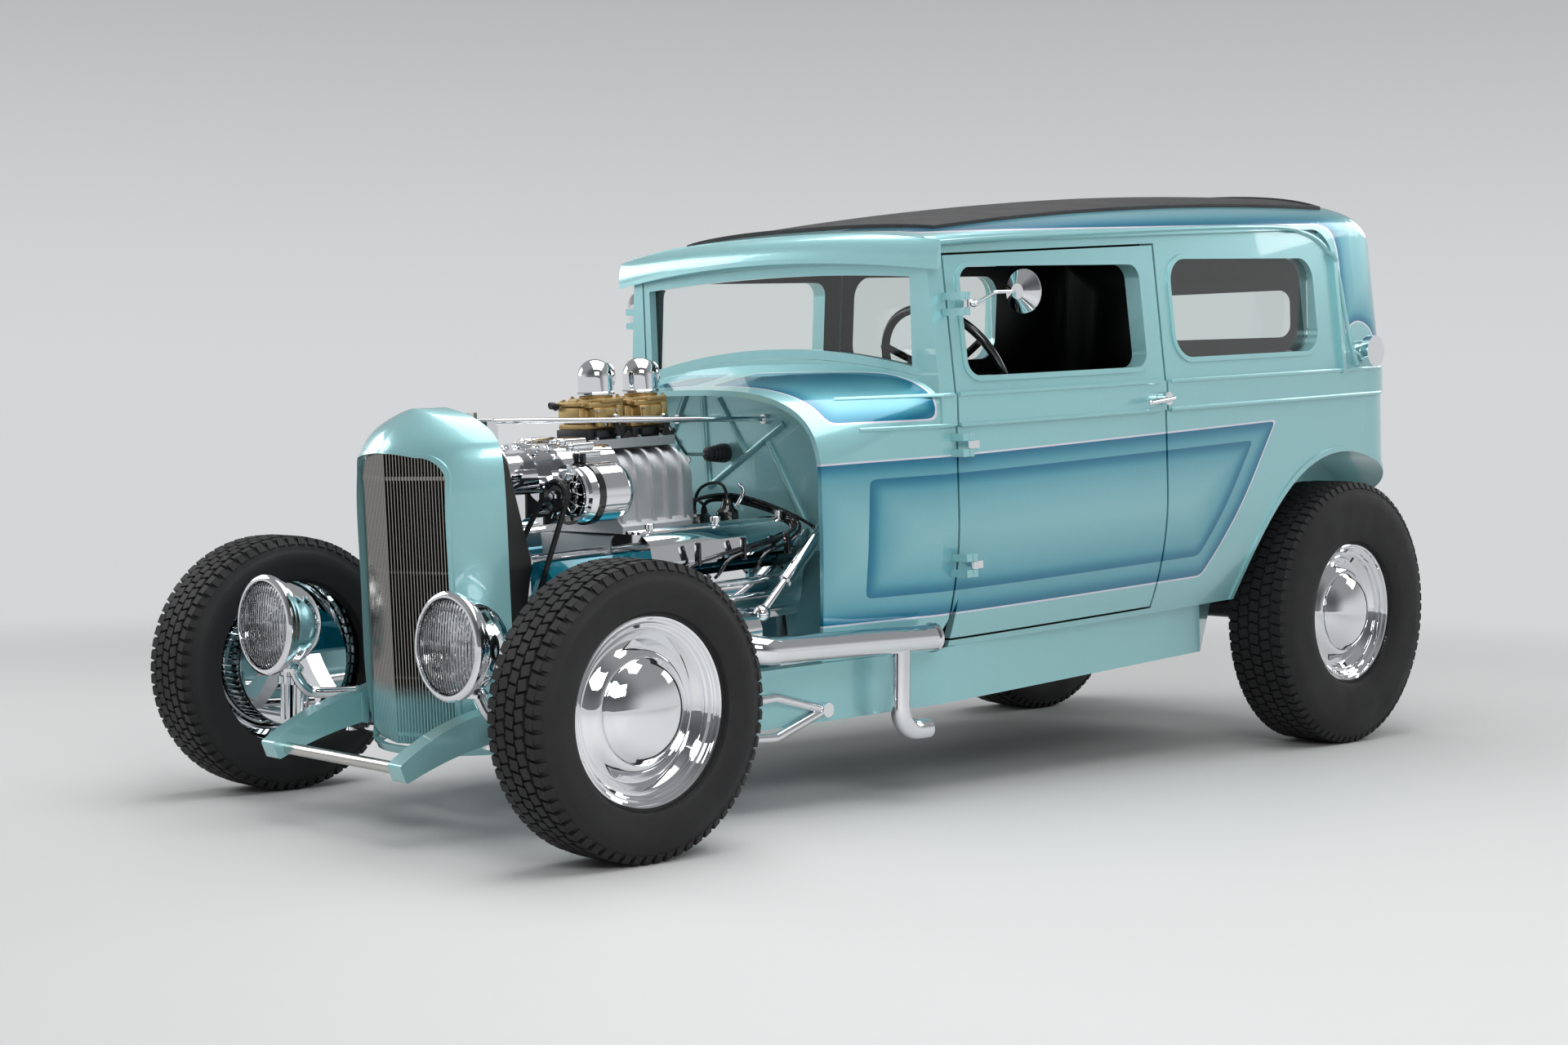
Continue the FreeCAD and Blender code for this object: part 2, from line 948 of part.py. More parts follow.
def wheel(name, width, face):
    """A steel wheel with a stepped beauty ring, a smooth disc and a small domed cap."""
    body = new_body(name)
    lip = width / 2 - cell.rim_inset
    lip_face = lip + cell.rim_lip_width
    wall = cell.rim_wall
    seat = cell.tyre_seat_radius - cell.seat_gap
    step = cell.ring_step
    flange = lip + cell.rim_lip_width / 2
    roll = wall / 2
    disc = lip - cell.disc_depth
    crown = lip - cell.disc_crown_depth
    corners = [
        (-lip - cell.seat_gap, cell.rim_lip_radius, roll),
        (-lip_face, cell.rim_lip_radius - wall),
        (-flange, seat),
        (-lip + wall, seat - step),
        (-crown, cell.barrel_radius - wall),
        (disc - wall, cell.barrel_radius - wall),
        (disc - wall, cell.cap_radius),
        (disc - wall, 0),
        (crown + cell.cap_dome, 0, cell.cap_crown),
        (crown, cell.cap_radius),
        (crown - wall, cell.cap_radius),
        (crown, cell.disc_crown_radius, -roll),
        (disc, cell.disc_edge_radius),
        (disc + wall, cell.disc_edge_radius + wall),
        (lip - step * 2, cell.barrel_radius),
        (lip - step * 2, cell.barrel_radius + wall),
        (lip - wall, seat - wall),
        (flange, seat),
        (lip_face, cell.rim_lip_radius - wall, roll),
        (lip + cell.seat_gap, cell.rim_lip_radius),
        (lip + cell.seat_gap, seat),
        (-lip - cell.seat_gap, seat),
    ]
    revolve(body, outline_sketch(body, "XY_Plane", corners), "H_Axis")
    return put(body, face - width / 2, 0, 0)


def wheel_back(face):
    """The plane where a wheel's disc bears on its hub."""
    return face - cell.rim_inset - cell.disc_depth - cell.rim_wall - cell.seat_gap


def drum(name, start, width, radius, face):
    """A finned brake drum, open on the side of the backing plate, with a hub for the wheel."""
    body = new_body(name)
    end = start + width
    fin = cell.drum_fin
    bore = cell.spindle_radius + cell.bearing_gap
    back = wheel_back(face)
    corners = [
        (start, radius - cell.drum_wall),
        (end - cell.drum_wall, radius - cell.drum_wall),
        (end - cell.drum_wall, bore),
        (back, bore),
        (back, cell.hub_radius),
        (end, cell.hub_radius),
        (end, radius + fin),
    ]
    pitch = cell.drum_fin_pitch
    for number in range(1, int(width.value // pitch.value)):
        groove = end - pitch * number
        corners.append((groove + pitch * 0.5, radius + fin))
        corners.append((groove + pitch * 0.5, radius))
        corners.append((groove, radius))
        corners.append((groove, radius + fin))
    corners.append((start, radius + fin))
    revolve(body, outline_sketch(body, "XY_Plane", corners), "H_Axis")
    return body


def make_wheels():
    """Tyres, and the wheels with the drums that turn with them, front and rear."""
    front_start = cell.backing_x + cell.backing_thickness + cell.yoke_gap
    sets = (
        ("front", FRONT_AXLE_Y, cell.front_tyre_radius, cell.front_tyre_width,
         cell.front_tread_width, cell.front_tyre_face,
         (front_start, cell.drum_width, cell.drum_radius)),
        ("rear", REAR_AXLE_Y, cell.rear_tyre_radius, cell.rear_tyre_width,
         cell.rear_tread_width, cell.rear_tyre_face,
         (cell.rear_drum_inner_x, cell.rear_drum_width, cell.rear_drum_radius)),
    )
    for place, along, radius, width, tread, face, brake in sets:
        rubber = tyre("tyre_body_" + place, radius, width, tread, face)
        turning = [wheel("rim_" + place, width, face), drum("drum_" + place, *brake, face)]
        for word, side in SIDES:
            for kind, things in (("tyre", [rubber]), ("wheel", turning)):
                label = "%s_%s_%s" % (kind, place, word)
                node = group(label + "_group", things)
                if side == RIGHT:
                    node.Placement = FreeCAD.Placement(Vector(), HALF_TURN)
                level_node(node, label, 0, along, radius)


# Front axle, brakes and steering

def make_front_axle():
    """A dropped, drilled I-beam that turns up to a kingpin boss at each end."""
    beam = new_body("axle_beam")
    half_beam = cell.axle_beam_height / 2
    centre = cell.front_tyre_radius - cell.axle_drop
    flat = cell.axle_flat_half
    end = cell.axle_end_half
    boss = cell.kingpin_x - cell.kingpin_boss_radius / 2
    upper = cell.front_tyre_radius + half_beam
    lower = cell.front_tyre_radius - half_beam
    corners = [
        (-flat, centre - half_beam),
        (flat, centre - half_beam, half_beam / 4),
        (end, lower),
        (boss, lower),
        (boss, upper),
        (end, upper, -half_beam / 4),
        (flat, centre + half_beam),
        (-flat, centre + half_beam, -half_beam / 4),
        (-end, upper),
        (-boss, upper),
        (-boss, lower),
        (-end, lower, half_beam / 4),
    ]
    pad(beam, outline_sketch(beam, "XZ_Plane", corners), cell.axle_beam_width, both_ways=True)
    web_height = half_beam * 0.55
    for backwards in (False, True):
        flute = [
            (-flat, centre - web_height),
            (flat, centre - web_height),
            (flat, centre + web_height),
            (-flat, centre + web_height),
        ]
        lift = cell.axle_web / 2 * (-1 if backwards else 1)
        sketch = outline_sketch(beam, "XZ_Plane", flute, lift)
        pocket(beam, sketch, cell.axle_beam_width, backwards=not backwards)
    hole = circle_sketch(beam, "XZ_Plane", [(-flat + cell.axle_hole_pitch, centre,
                                             cell.axle_hole_radius)])
    drilled = pocket(beam, hole, cell.axle_beam_width * 2, both_ways=True)
    count = int((mm.axle_flat_half * 2) // mm.axle_hole_pitch) - 1
    repeat_along(beam, drilled, hole, "H_Axis", cell.axle_hole_pitch * (count - 1), count)
    parts = [beam]
    for word, side in SIDES:
        centre_x = cell.kingpin_x * side
        parts.append(cylinder("axle_boss_" + word, "z",
                              (centre_x, 0, cell.front_tyre_radius - cell.kingpin_boss_height / 2),
                              cell.kingpin_boss_radius, cell.kingpin_boss_height))
    bores = []
    for word, side in SIDES:
        bores.append(cylinder("axle_bore_" + word, "z",
                              (cell.kingpin_x * side, 0,
                               cell.front_tyre_radius - cell.kingpin_boss_height),
                              cell.kingpin_radius + cell.bearing_gap,
                              cell.kingpin_boss_height * 2))
    solid = fuse("front_axle_fuse", parts)
    level_node(cut("front_axle_bored", solid, group("axle_bores", bores)), "front_axle")


def make_front_spring():
    """A buggy spring of three leaves over the axle, hung at its ends."""
    spring = new_body("spring_leaves")
    base = cell.front_tyre_radius - cell.axle_drop + cell.axle_beam_height / 2
    base = base + cell.spring_leaf
    leaf = cell.spring_leaf
    shares = (1, 0.7, 0.4)
    low = []
    for count, share in enumerate(shares):
        low.append((cell.spring_half * share, base + leaf * count))
    outline = []
    for index, (reach, height) in enumerate(low):
        outline.append((reach, height))
        outline.append((reach, height + leaf))
    corners = outline + [(-reach, height) for reach, height in outline[::-1]]
    pad(spring, outline_sketch(spring, "XZ_Plane", corners), cell.spring_width, both_ways=True)
    parts = [spring]
    for word, side in SIDES:
        parts.append(cylinder("spring_shackle_" + word, "y",
                              (cell.spring_half * side, 0, base + leaf / 2), leaf,
                              cell.spring_width, both_ways=True))
    return fuse("front_spring_fuse", parts)


def make_knuckle(word, side):
    """A steering knuckle: yoke lugs round the axle boss, spindle, backing plate and arm."""
    centre = cell.front_tyre_radius
    half_boss = cell.kingpin_boss_height / 2 + cell.yoke_gap
    kingpin = cell.kingpin_x * side
    parts = []
    for level, start in (("top", centre + half_boss), ("low", centre - half_boss - cell.yoke_lug)):
        parts.append(cylinder("yoke_%s_%s" % (level, word), "z", (kingpin, 0, start),
                              cell.yoke_radius, cell.yoke_lug))
    spine_start = cell.kingpin_x + cell.kingpin_boss_radius + cell.yoke_gap * 2
    spine_end = cell.backing_x
    height = half_boss + cell.yoke_lug
    low_x, high_x = (spine_start, spine_end) if side == LEFT else (-spine_end, -spine_start)
    parts.append(box("yoke_spine_" + word, (low_x, -cell.yoke_radius, centre - height),
                     (high_x, cell.yoke_radius, centre + height)))
    plate_x = cell.backing_x if side == LEFT else -cell.backing_x - cell.backing_thickness
    parts.append(cylinder("backing_plate_" + word, "x", (plate_x, 0, centre),
                          cell.backing_radius, cell.backing_thickness))
    spindle = wheel_back(cell.front_tyre_face) - cell.backing_x - cell.yoke_gap
    spindle_x = cell.backing_x if side == LEFT else -cell.backing_x - spindle
    parts.append(cylinder("spindle_" + word, "x", (spindle_x, 0, centre),
                          cell.spindle_radius, spindle))
    arm = new_body("steering_arm_" + word)
    thick = cell.steer_arm_thickness
    reach = cell.steer_arm_length
    inset = cell.steer_arm_inset
    lug = cell.yoke_radius * 0.8
    corners = [
        ((cell.kingpin_x - lug) * side, 0),
        ((cell.kingpin_x - inset - thick) * side, reach),
        ((cell.kingpin_x - inset + thick) * side, reach),
        ((cell.kingpin_x + lug) * side, 0),
    ]
    if side == LEFT:
        corners = corners[::-1]
    arm_low = cell.tie_rod_z + cell.tie_rod_end_radius + cell.seat_gap
    pad(arm, outline_sketch(arm, "XY_Plane", corners, arm_low), thick)
    parts.append(arm)
    parts.append(cylinder("steering_post_" + word, "z", (kingpin, 0, arm_low),
                          cell.kingpin_boss_radius, centre - half_boss - arm_low))
    parts.append(cylinder("kingpin_" + word, "z", (kingpin, 0, centre - half_boss),
                          cell.kingpin_radius, half_boss * 2))
    level_node(fuse("knuckle_fuse_" + word, parts), "knuckle_" + word)


def make_tie_rod():
    """The rod behind the axle that joins the two steering arms."""
    centre = cell.tie_rod_z
    half = cell.kingpin_x - cell.steer_arm_inset
    along = cell.steer_arm_length - cell.steer_arm_thickness
    parts = [cylinder("tie_rod_tube", "x", (0, along, centre), cell.tie_rod_radius,
                      half * 2, both_ways=True)]
    for word, side in SIDES:
        parts.append(cylinder("tie_rod_end_" + word, "z",
                              (half * side, along, centre - cell.tie_rod_end_radius),
                              cell.tie_rod_end_radius, cell.tie_rod_end_radius * 2))
    level_node(fuse("tie_rod_fuse", parts), "tie_rod")


def make_hairpins():
    """Two-legged radius rods from the axle's ends back to a bracket on each rail."""
    eye_y, eye_z = raked_point(mm.hairpin_joint_y, mm.hairpin_joint_z)
    split_y, split_z = raked_point(mm.hairpin_split_y, mm.hairpin_joint_z)
    beam = mm.front_tyre_radius - mm.axle_drop
    reach = mm.axle_beam_height / 2 - mm.hairpin_radius
    front_x = mm.hairpin_front_x
    rear_x = mm.hairpin_rear_x
    share = mm.hairpin_split_y / mm.hairpin_joint_y
    split_x = front_x + (rear_x - front_x) * share
    legs = []
    for sign in (1, -1):
        start = (front_x, mm.axle_beam_width / 2 + mm.seat_gap, beam + sign * reach)
        knee = (split_x, split_y, split_z + sign * mm.hairpin_spread)
        tip = (rear_x, eye_y, eye_z)
        legs.append(bent_tube([start, knee, tip], mm.hairpin_radius, mm.hairpin_spread))
    eye = Part.makeCylinder(mm.hairpin_eye_radius, mm.hairpin_eye_width,
                            Vector(rear_x - mm.hairpin_eye_width / 2, eye_y, eye_z),
                            Vector(1, 0, 0))
    rod = legs[0].multiFuse([legs[1], eye])
    pair = Part.makeCompound([rod, rod.mirror(Vector(0, 0, 0), Vector(1, 0, 0))])
    return shape_feature("hairpin_pair", pair)


def make_front_suspension():
    level_node(group("front_suspension_group", [make_front_spring(), make_hairpins()]),
               "front_suspension")


# Frame

def rail_sections():
    """The left rail's sections from the front: how far along, its outer face, bottom and top."""
    kick = mm.rail_kick_end_y - mm.rail_kick_y
    top, bottom = mm.rail_top, mm.rail_bottom
    middle_x = (mm.rail_door_x + mm.rail_kick_x) / 2
    front = -mm.horn_root_y * 2
    axle_y = 0
    bend_y = mm.rail_cowl_y * 0.42
    bend_x = mm.rail_axle_x + (mm.rail_cowl_x - mm.rail_axle_x) * 0.4
    return [
        (front, mm.horn_x + mm.horn_width / 2, mm.horn_root_bottom, mm.horn_root_top),
        (axle_y + mm.horn_root_y * 2, mm.rail_axle_x, bottom + (mm.horn_root_bottom - bottom) / 2,
         top),
        (bend_y, bend_x, bottom, top),
        (mm.rail_cowl_y, mm.rail_cowl_x, bottom, top),
        (mm.rail_door_y, mm.rail_door_x, bottom, top),
        (mm.rail_kick_y, mm.rail_door_x, bottom, top),
        (mm.rail_kick_y + kick / 2, middle_x, (bottom + mm.rail_kick_bottom) / 2,
         (top + mm.rail_kick_top) / 2),
        (mm.rail_kick_end_y, mm.rail_kick_x, mm.rail_kick_bottom, mm.rail_kick_top),
        (mm.rail_end_y, mm.rail_end_x, mm.rail_kick_bottom, mm.rail_kick_top),
    ]


def rectangle_wire(along, low_x, high_x, low, high):
    return Part.makePolygon([Vector(low_x, along, low), Vector(high_x, along, low),
                             Vector(high_x, along, high), Vector(low_x, along, high),
                             Vector(low_x, along, low)])


def make_rail():
    wires = []
    for along, outer, low, high in rail_sections():
        wires.append(rectangle_wire(along, outer - mm.rail_width, outer, low, high))
    return Part.makeLoft(wires, True, True)


def make_frame():
    """Boxed side rails with a kick-up over the rear axle, curved horns and crossmembers."""
    horn = new_body("frame_horn")
    corners = [
        (-cell.horn_tip_y, cell.horn_tip_bottom, -cell.horn_bulge / 2),
        (cell.horn_root_y * -2, cell.horn_root_bottom),
        (cell.horn_root_y, cell.horn_root_bottom),
        (cell.horn_root_y, cell.horn_root_top),
        (cell.horn_root_y * -2, cell.horn_root_top, cell.horn_bulge),
        (-cell.horn_tip_y - cell.horn_bulge, cell.horn_tip_top),
    ]
    sketch = outline_sketch(horn, "YZ_Plane", corners, cell.horn_x)
    bar = pad(horn, sketch, cell.horn_width, both_ways=True)
    round_edges(horn, bar, cell.horn_bulge / 2, runs_along(Vector(1, 0, 0)))
    rail = shape_feature("frame_rail", make_rail())
    parts = both_sides("frame_horn_right", horn) + both_sides("frame_rail_right", rail)
    parts.append(cross_bar("front_crossmember", cell.horn_root_y, cell.rail_axle_x * 0.95,
                           cell.horn_root_bottom + cell.crossmember_height / 4,
                           cell.crossmember_height * 0.9))
    parts.append(cross_bar("engine_crossmember", cell.rail_cowl_y * 0.5, cell.rail_axle_x * 1.1,
                           cell.rail_bottom, cell.crossmember_height / 2))
    parts.append(cross_bar("middle_crossmember", cell.rail_door_y * 1.25,
                           cell.rail_door_x - cell.rail_width / 2,
                           cell.rail_bottom + cell.crossmember_height / 4,
                           cell.crossmember_height / 2))
    parts.append(cross_bar("rear_crossmember", cell.rail_end_y - cell.crossmember_width / 2,
                           cell.rail_end_x - cell.rail_width / 2,
                           cell.rail_kick_bottom + cell.seat_gap, cell.crossmember_height))
    parts.append(cross_bar("axle_crossmember", cell.wheelbase - cell.crossmember_width * 1.6,
                           cell.rail_end_x - cell.rail_width / 2,
                           cell.rail_kick_bottom + cell.seat_gap, cell.crossmember_height))
    bracket = box("hairpin_bracket",
                  (cell.hairpin_rear_x - cell.hairpin_eye_width / 2 - cell.steer_arm_thickness,
                   cell.hairpin_joint_y - cell.hairpin_eye_radius,
                   cell.hairpin_joint_z - cell.hairpin_eye_radius),
                  (cell.hairpin_rear_x - cell.hairpin_eye_width / 2 - cell.seat_gap,
                   cell.hairpin_joint_y + cell.hairpin_eye_radius,
                   cell.rail_bottom + cell.crossmember_height))
    parts += both_sides("hairpin_bracket_right", bracket)
    notch = box("axle_notch",
                (-cell.axle_end_half, -cell.axle_notch_front_y, 0),
                (cell.axle_end_half, cell.axle_notch_rear_y, cell.axle_notch_top))
    raked_node(cut("frame_notched", fuse("frame_fuse", parts), notch), "frame")
    doc.recompute()
    return horn.Shape.copy()


def cross_bar(name, along, half, bottom, height):
    return box(name, (-half, along - cell.crossmember_width / 2, bottom),
               (half, along + cell.crossmember_width / 2, bottom + height))


def make_spreader_bar():
    """The round bar between the frame horns' tips."""
    along = -cell.horn_tip_y + cell.spreader_radius * 2
    up = (cell.horn_tip_top + cell.horn_tip_bottom) / 2 + cell.spreader_radius / 4
    bar = cylinder("spreader_tube", "x", (0, along, up), cell.spreader_radius,
                   cell.horn_x * 2 - cell.horn_width - cell.seat_gap * 2, both_ways=True)
    raked_node(group("spreader_group", [bar]), "spreader_bar")


# Grille shell and radiator

SHELL_SHARES = (
    # Height, width and nose as shares of the shell's own height, half width and depth
    (0.00, 0.92, 0.86),
    (0.10, 0.97, 0.96),
    (0.35, 1.00, 1.00),
    (0.65, 1.00, 1.00),
    (0.83, 0.985, 0.94),
    (0.91, 0.90, 0.80),
    (0.955, 0.70, 0.62),
    (0.985, 0.42, 0.45),
    (1.00, 0.16, 0.33),
)


def shell_section(height_share, width_share, nose_share, inset):
    """One level section of the grille shell: a prow with a soft crease at its centre."""
    tall = mm.shell_peak - mm.shell_bottom
    up = mm.shell_bottom + tall * height_share
    half = mm.shell_half_width * width_share - inset
    depth = (mm.shell_nose_y + mm.shell_rear_y) * nose_share - inset
    rear = mm.shell_rear_y
    edges = []
    for side in (1, -1):
        points = []
        for share in (0, 0.25, 0.5, 0.72, 0.88, 0.97, 1):
            reach = half * share
            points.append(Vector(side * reach, rear - depth * (1 - share ** 2.4), up))
        curve = Part.BSplineCurve()
        curve.interpolate(points if side == 1 else points[::-1])
        edges.append(curve.toShape())
    back = Part.makeLine(Vector(half, rear, up), Vector(-half, rear, up))
    return Part.Wire([edges[0], back, edges[1]])


def shell_solid(inset):
    wires = []
    for height_share, width_share, nose_share in SHELL_SHARES:
        wires.append(shell_section(height_share, width_share, nose_share, inset))
    return Part.makeLoft(wires, True, False)


def grille_face(grow):
    """The grille opening in the front view, as a face at the car's nose."""
    half = mm.grille_half_width + grow
    top = mm.grille_top + grow
    bottom = mm.grille_bottom - grow
    corner = mm.grille_corner
    shoulder = top - corner * 0.75
    along = -mm.shell_nose_y - mm.overrun
    rise = corner * 0.25
    low = bottom + corner * 0.35
    points = [Vector(half, along, low), Vector(half, along, shoulder - rise)]
    arc = Part.Arc(points[1], Vector(half - corner * 0.22, along, shoulder + rise),
                   Vector(half - corner, along, top - rise * 0.7)).toShape()
    crown = Part.Arc(Vector(half - corner, along, top - rise * 0.7), Vector(0, along, top),
                     Vector(corner - half, along, top - rise * 0.7)).toShape()
    base = Part.Arc(Vector(half - corner * 0.5, along, bottom + rise * 0.3),
                    Vector(0, along, bottom), Vector(corner * 0.5 - half, along,
                                                     bottom + rise * 0.3)).toShape()
    left = [Part.makeLine(points[0], points[1]), arc,
            Part.makeLine(points[0], Vector(half - corner * 0.5, along, bottom + rise * 0.3))]
    right = [edge.mirror(Vector(0, 0, 0), Vector(1, 0, 0)) for edge in left]
    return Part.Face(Part.Wire(Part.__sortEdges__(left + right + [crown, base])))


def make_grille_shell():
    """The painted shell, open behind, with a bead round the grille opening."""
    outer = shell_solid(0)
    inner = shell_solid(mm.shell_wall)
    inner.translate(Vector(0, mm.seat_gap * 4, -mm.shell_wall))
    shell = outer.cut(inner)
    reach = mm.shell_nose_y + mm.overrun + mm.shell_rear_y * 0.4
    opening = grille_face(0).extrude(Vector(0, reach, 0))
    ring = grille_face(mm.grille_bead).extrude(Vector(0, reach, 0)).cut(opening)
    proud = shell_solid(-mm.grille_bead / 2)
    bead = proud.common(ring).cut(inner)
    clear = mm.seat_gap * 6
    passage = Part.makeBox((mm.horn_x + mm.horn_width / 2 + clear) * 2, mm.wheelbase / 2,
                           mm.horn_root_top - mm.horn_root_bottom + clear * 2,
                           Vector(-mm.horn_x - mm.horn_width / 2 - clear,
                                  -mm.horn_root_y * 2, mm.horn_root_bottom - clear))
    middle = Part.makeBox((mm.horn_x - mm.horn_width / 2 - clear) * 2, mm.horn_root_y * 2,
                          mm.horn_root_top,
                          Vector(-mm.horn_x + mm.horn_width / 2 + clear,
                                 -mm.horn_root_y * 2, mm.horn_root_bottom - clear))
    shell = shell.cut(opening).fuse(bead).cut(passage.cut(middle))
    raked_shape("grille_shell", shell)


def make_grille_bars():
    """Upright bars in two banks that meet at the nose, joined by cross wires and end rails."""
    nose = -mm.shell_nose_y + mm.grille_inset
    half = mm.grille_half_width - mm.grille_bar
    count = int(half // mm.grille_bar_pitch)
    shapes = []
    for side in (1, -1):
        for number in range(count + 1):
            across = side * mm.grille_bar_pitch * number
            if side < 0 and number == 0:
                continue
            share = number / count
            along = nose + mm.grille_rake * share
            trim = mm.grille_corner * 0.75 * max(0, share - 0.7) / 0.3
            low = mm.grille_bottom + mm.grille_bar + trim * 0.35
            high = mm.grille_top - mm.grille_bar - trim
            bar = Part.makeBox(mm.grille_bar, mm.grille_bar_depth, high - low,
                               Vector(across - mm.grille_bar / 2, along, low))
            shapes.append(bar)
        inner_y = nose + mm.grille_bar_depth / 2
        slope = mm.grille_rake / half
        for height, size in ((mm.cross_wire_low, mm.cross_wire), (mm.cross_wire_high, mm.cross_wire),
                             (mm.grille_bottom + mm.overrun / 3, mm.grille_rail),
                             (mm.grille_top - mm.overrun, mm.grille_rail)):
            reach = half * side
            corners = [(0, inner_y - size / 2), (reach, inner_y - size / 2 + slope * half),
                       (reach, inner_y + size / 2 + slope * half), (0, inner_y + size / 2)]
            wire = [Vector(across, along, height) for across, along in corners]
            strip = Part.Face(Part.makePolygon(wire + wire[:1]))
            shapes.append(strip.extrude(Vector(0, 0, size)))
    raked_shape("grille_bars", shapes[0].multiFuse(shapes[1:]))


def make_radiator():
    """The core on the front crossmember, its top tank, the filler cap and the stay rods."""
    rear = cell.radiator_rear_y
    front = rear - cell.radiator_depth
    base = cell.horn_root_bottom + cell.crossmember_height * 1.15 + cell.seat_gap
    core = box("radiator_core", (-cell.radiator_half_width, front, base),
               (cell.radiator_half_width, rear, cell.radiator_shoulder))
    tank = box("radiator_tank", (-cell.radiator_tank_half, front, cell.radiator_shoulder),
               (cell.radiator_tank_half, rear, cell.radiator_top))
    outlet = box("radiator_outlet",
                 (-cell.radiator_outlet_half, rear, cell.radiator_outlet_low),
                 (cell.radiator_outlet_half, cell.radiator_outlet_rear_y, cell.radiator_top))
    neck = cylinder("radiator_neck", "z", (0, cell.radiator_cap_y, cell.radiator_top),
                    cell.radiator_cap_radius * 0.6,
                    cell.stay_rod_height - cell.radiator_top + cell.radiator_cap_height / 4)
    cap = cylinder("radiator_cap", "z", (0, cell.radiator_cap_y, cell.stay_rod_height),
                   cell.radiator_cap_radius, cell.radiator_cap_height)
    rods = shape_feature("stay_rods", stay_rods())
    raked_node(fuse("radiator_fuse", [core, tank, outlet, neck, cap, rods]), "radiator")


def stay_rods():
    """Two slim rods from the radiator's top back to the firewall."""
    shapes = []
    for side in (1, -1):
        front = (side * mm.stay_rod_front_x, mm.radiator_outlet_rear_y, mm.stay_rod_height)
        rear = (side * mm.stay_rod_rear_x, mm.firewall_y - mm.seat_gap, mm.stay_rod_height
                - mm.radiator_cap_radius)
        rod = straight_rod(front, rear, mm.stay_rod_radius)
        end = Part.makeCylinder(mm.stay_rod_radius * 2, mm.stay_rod_radius * 2,
                                Vector(rear[0], rear[1] - mm.stay_rod_radius * 2, rear[2]),
                                Vector(0, 1, 0))
        tab = Part.makeBox(mm.stay_rod_radius * 3, mm.stay_rod_radius * 4,
                           mm.stay_rod_height - mm.radiator_outlet_low,
                           Vector(front[0] - mm.stay_rod_radius * 1.5,
                                  front[1] - mm.stay_rod_radius * 4,
                                  mm.radiator_outlet_low))
        shapes.append(rod.multiFuse([end, tab]))
    over = slab(mm.firewall_y - mm.seat_gap, mm.tail_y, 0, mm.roof_crown)
    return Part.makeCompound([shape.cut(over) for shape in shapes])


# Headlights

def make_headlights(horn):
    """Round buckets on stands from the horns, each with its ring and ribbed lens."""
    bucket = new_body("headlight_bucket")
    radius = cell.headlight_radius
    wall = cell.headlight_wall
    ring = radius + cell.headlight_ring
    depth = cell.headlight_depth
    shoulder = cell.headlight_ring_depth
    corners = [
        (radius, 0),
        (ring, cell.headlight_ring * 0.5),
        (ring, shoulder),
        (radius, shoulder, depth / 7),
        (0, depth),
        (0, depth - wall, -depth / 7),
        (radius - wall, shoulder),
        (radius - wall, 0),
    ]
    cavity = new_body("headlight_cavity")
    inner = [
        (radius - wall, 0),
        (radius - wall, shoulder, depth / 7),
        (0, depth - wall),
        (0, 0),
    ]
    for body, outline in ((bucket, corners), (cavity, inner)):
        revolve(body, outline_sketch(body, "XY_Plane", outline), "V_Axis")
        put(body, cell.headlight_x, -cell.headlight_y, cell.headlight_z)
    stand = cut("headlight_stand", shape_feature("headlight_bar", headlight_stand(horn)), cavity)
    lamp = fuse("headlight_fuse", [bucket, stand])
    raked_node(group("headlight_group", both_sides("headlight_right", lamp)), "headlights")
    lens = new_body("headlight_lens")
    edge = radius - wall - cell.seat_gap
    corners = [
        (edge, cell.lens_thickness),
        (0, cell.lens_thickness),
        (0, -cell.lens_crown, cell.lens_crown / 4),
        (edge, 0),
    ]
    revolve(lens, outline_sketch(lens, "XY_Plane", corners), "V_Axis")
    put(lens, cell.headlight_x, -cell.headlight_y, cell.headlight_z)
    raked_node(group("headlight_lens_group", both_sides("headlight_lens_right", lens)),
               "headlight_lenses")


def headlight_stand(horn):
    """The bent bar from a frame horn up to a cup under the bucket."""
    along = -mm.headlight_y + mm.headlight_depth * 0.45
    underside = mm.headlight_z - mm.headlight_radius * 0.7
    knee = underside - mm.headlight_foot * 1.6
    bar = bent_tube([
        (mm.horn_x, along, mm.horn_root_bottom),
        (mm.horn_x, along, knee),
        (mm.headlight_x, along, knee),
        (mm.headlight_x, along, underside)],
        mm.headlight_bar_radius, mm.headlight_foot * 0.9)
    cup = Part.makeCylinder(mm.headlight_foot, mm.headlight_bar_radius * 1.6,
                            Vector(mm.headlight_x, along,
                                   underside - mm.headlight_bar_radius * 1.6))
    below = Part.makeBox(mm.horn_x, mm.horn_x, mm.horn_root_bottom,
                         Vector(mm.horn_x / 2, -mm.horn_x, mm.seat_gap + mm.horn_bulge))
    seat = horn.copy()
    seat.translate(Vector(0, 0, mm.seat_gap))
    return bar.fuse(cup).cut(seat).cut(below)


# Engine

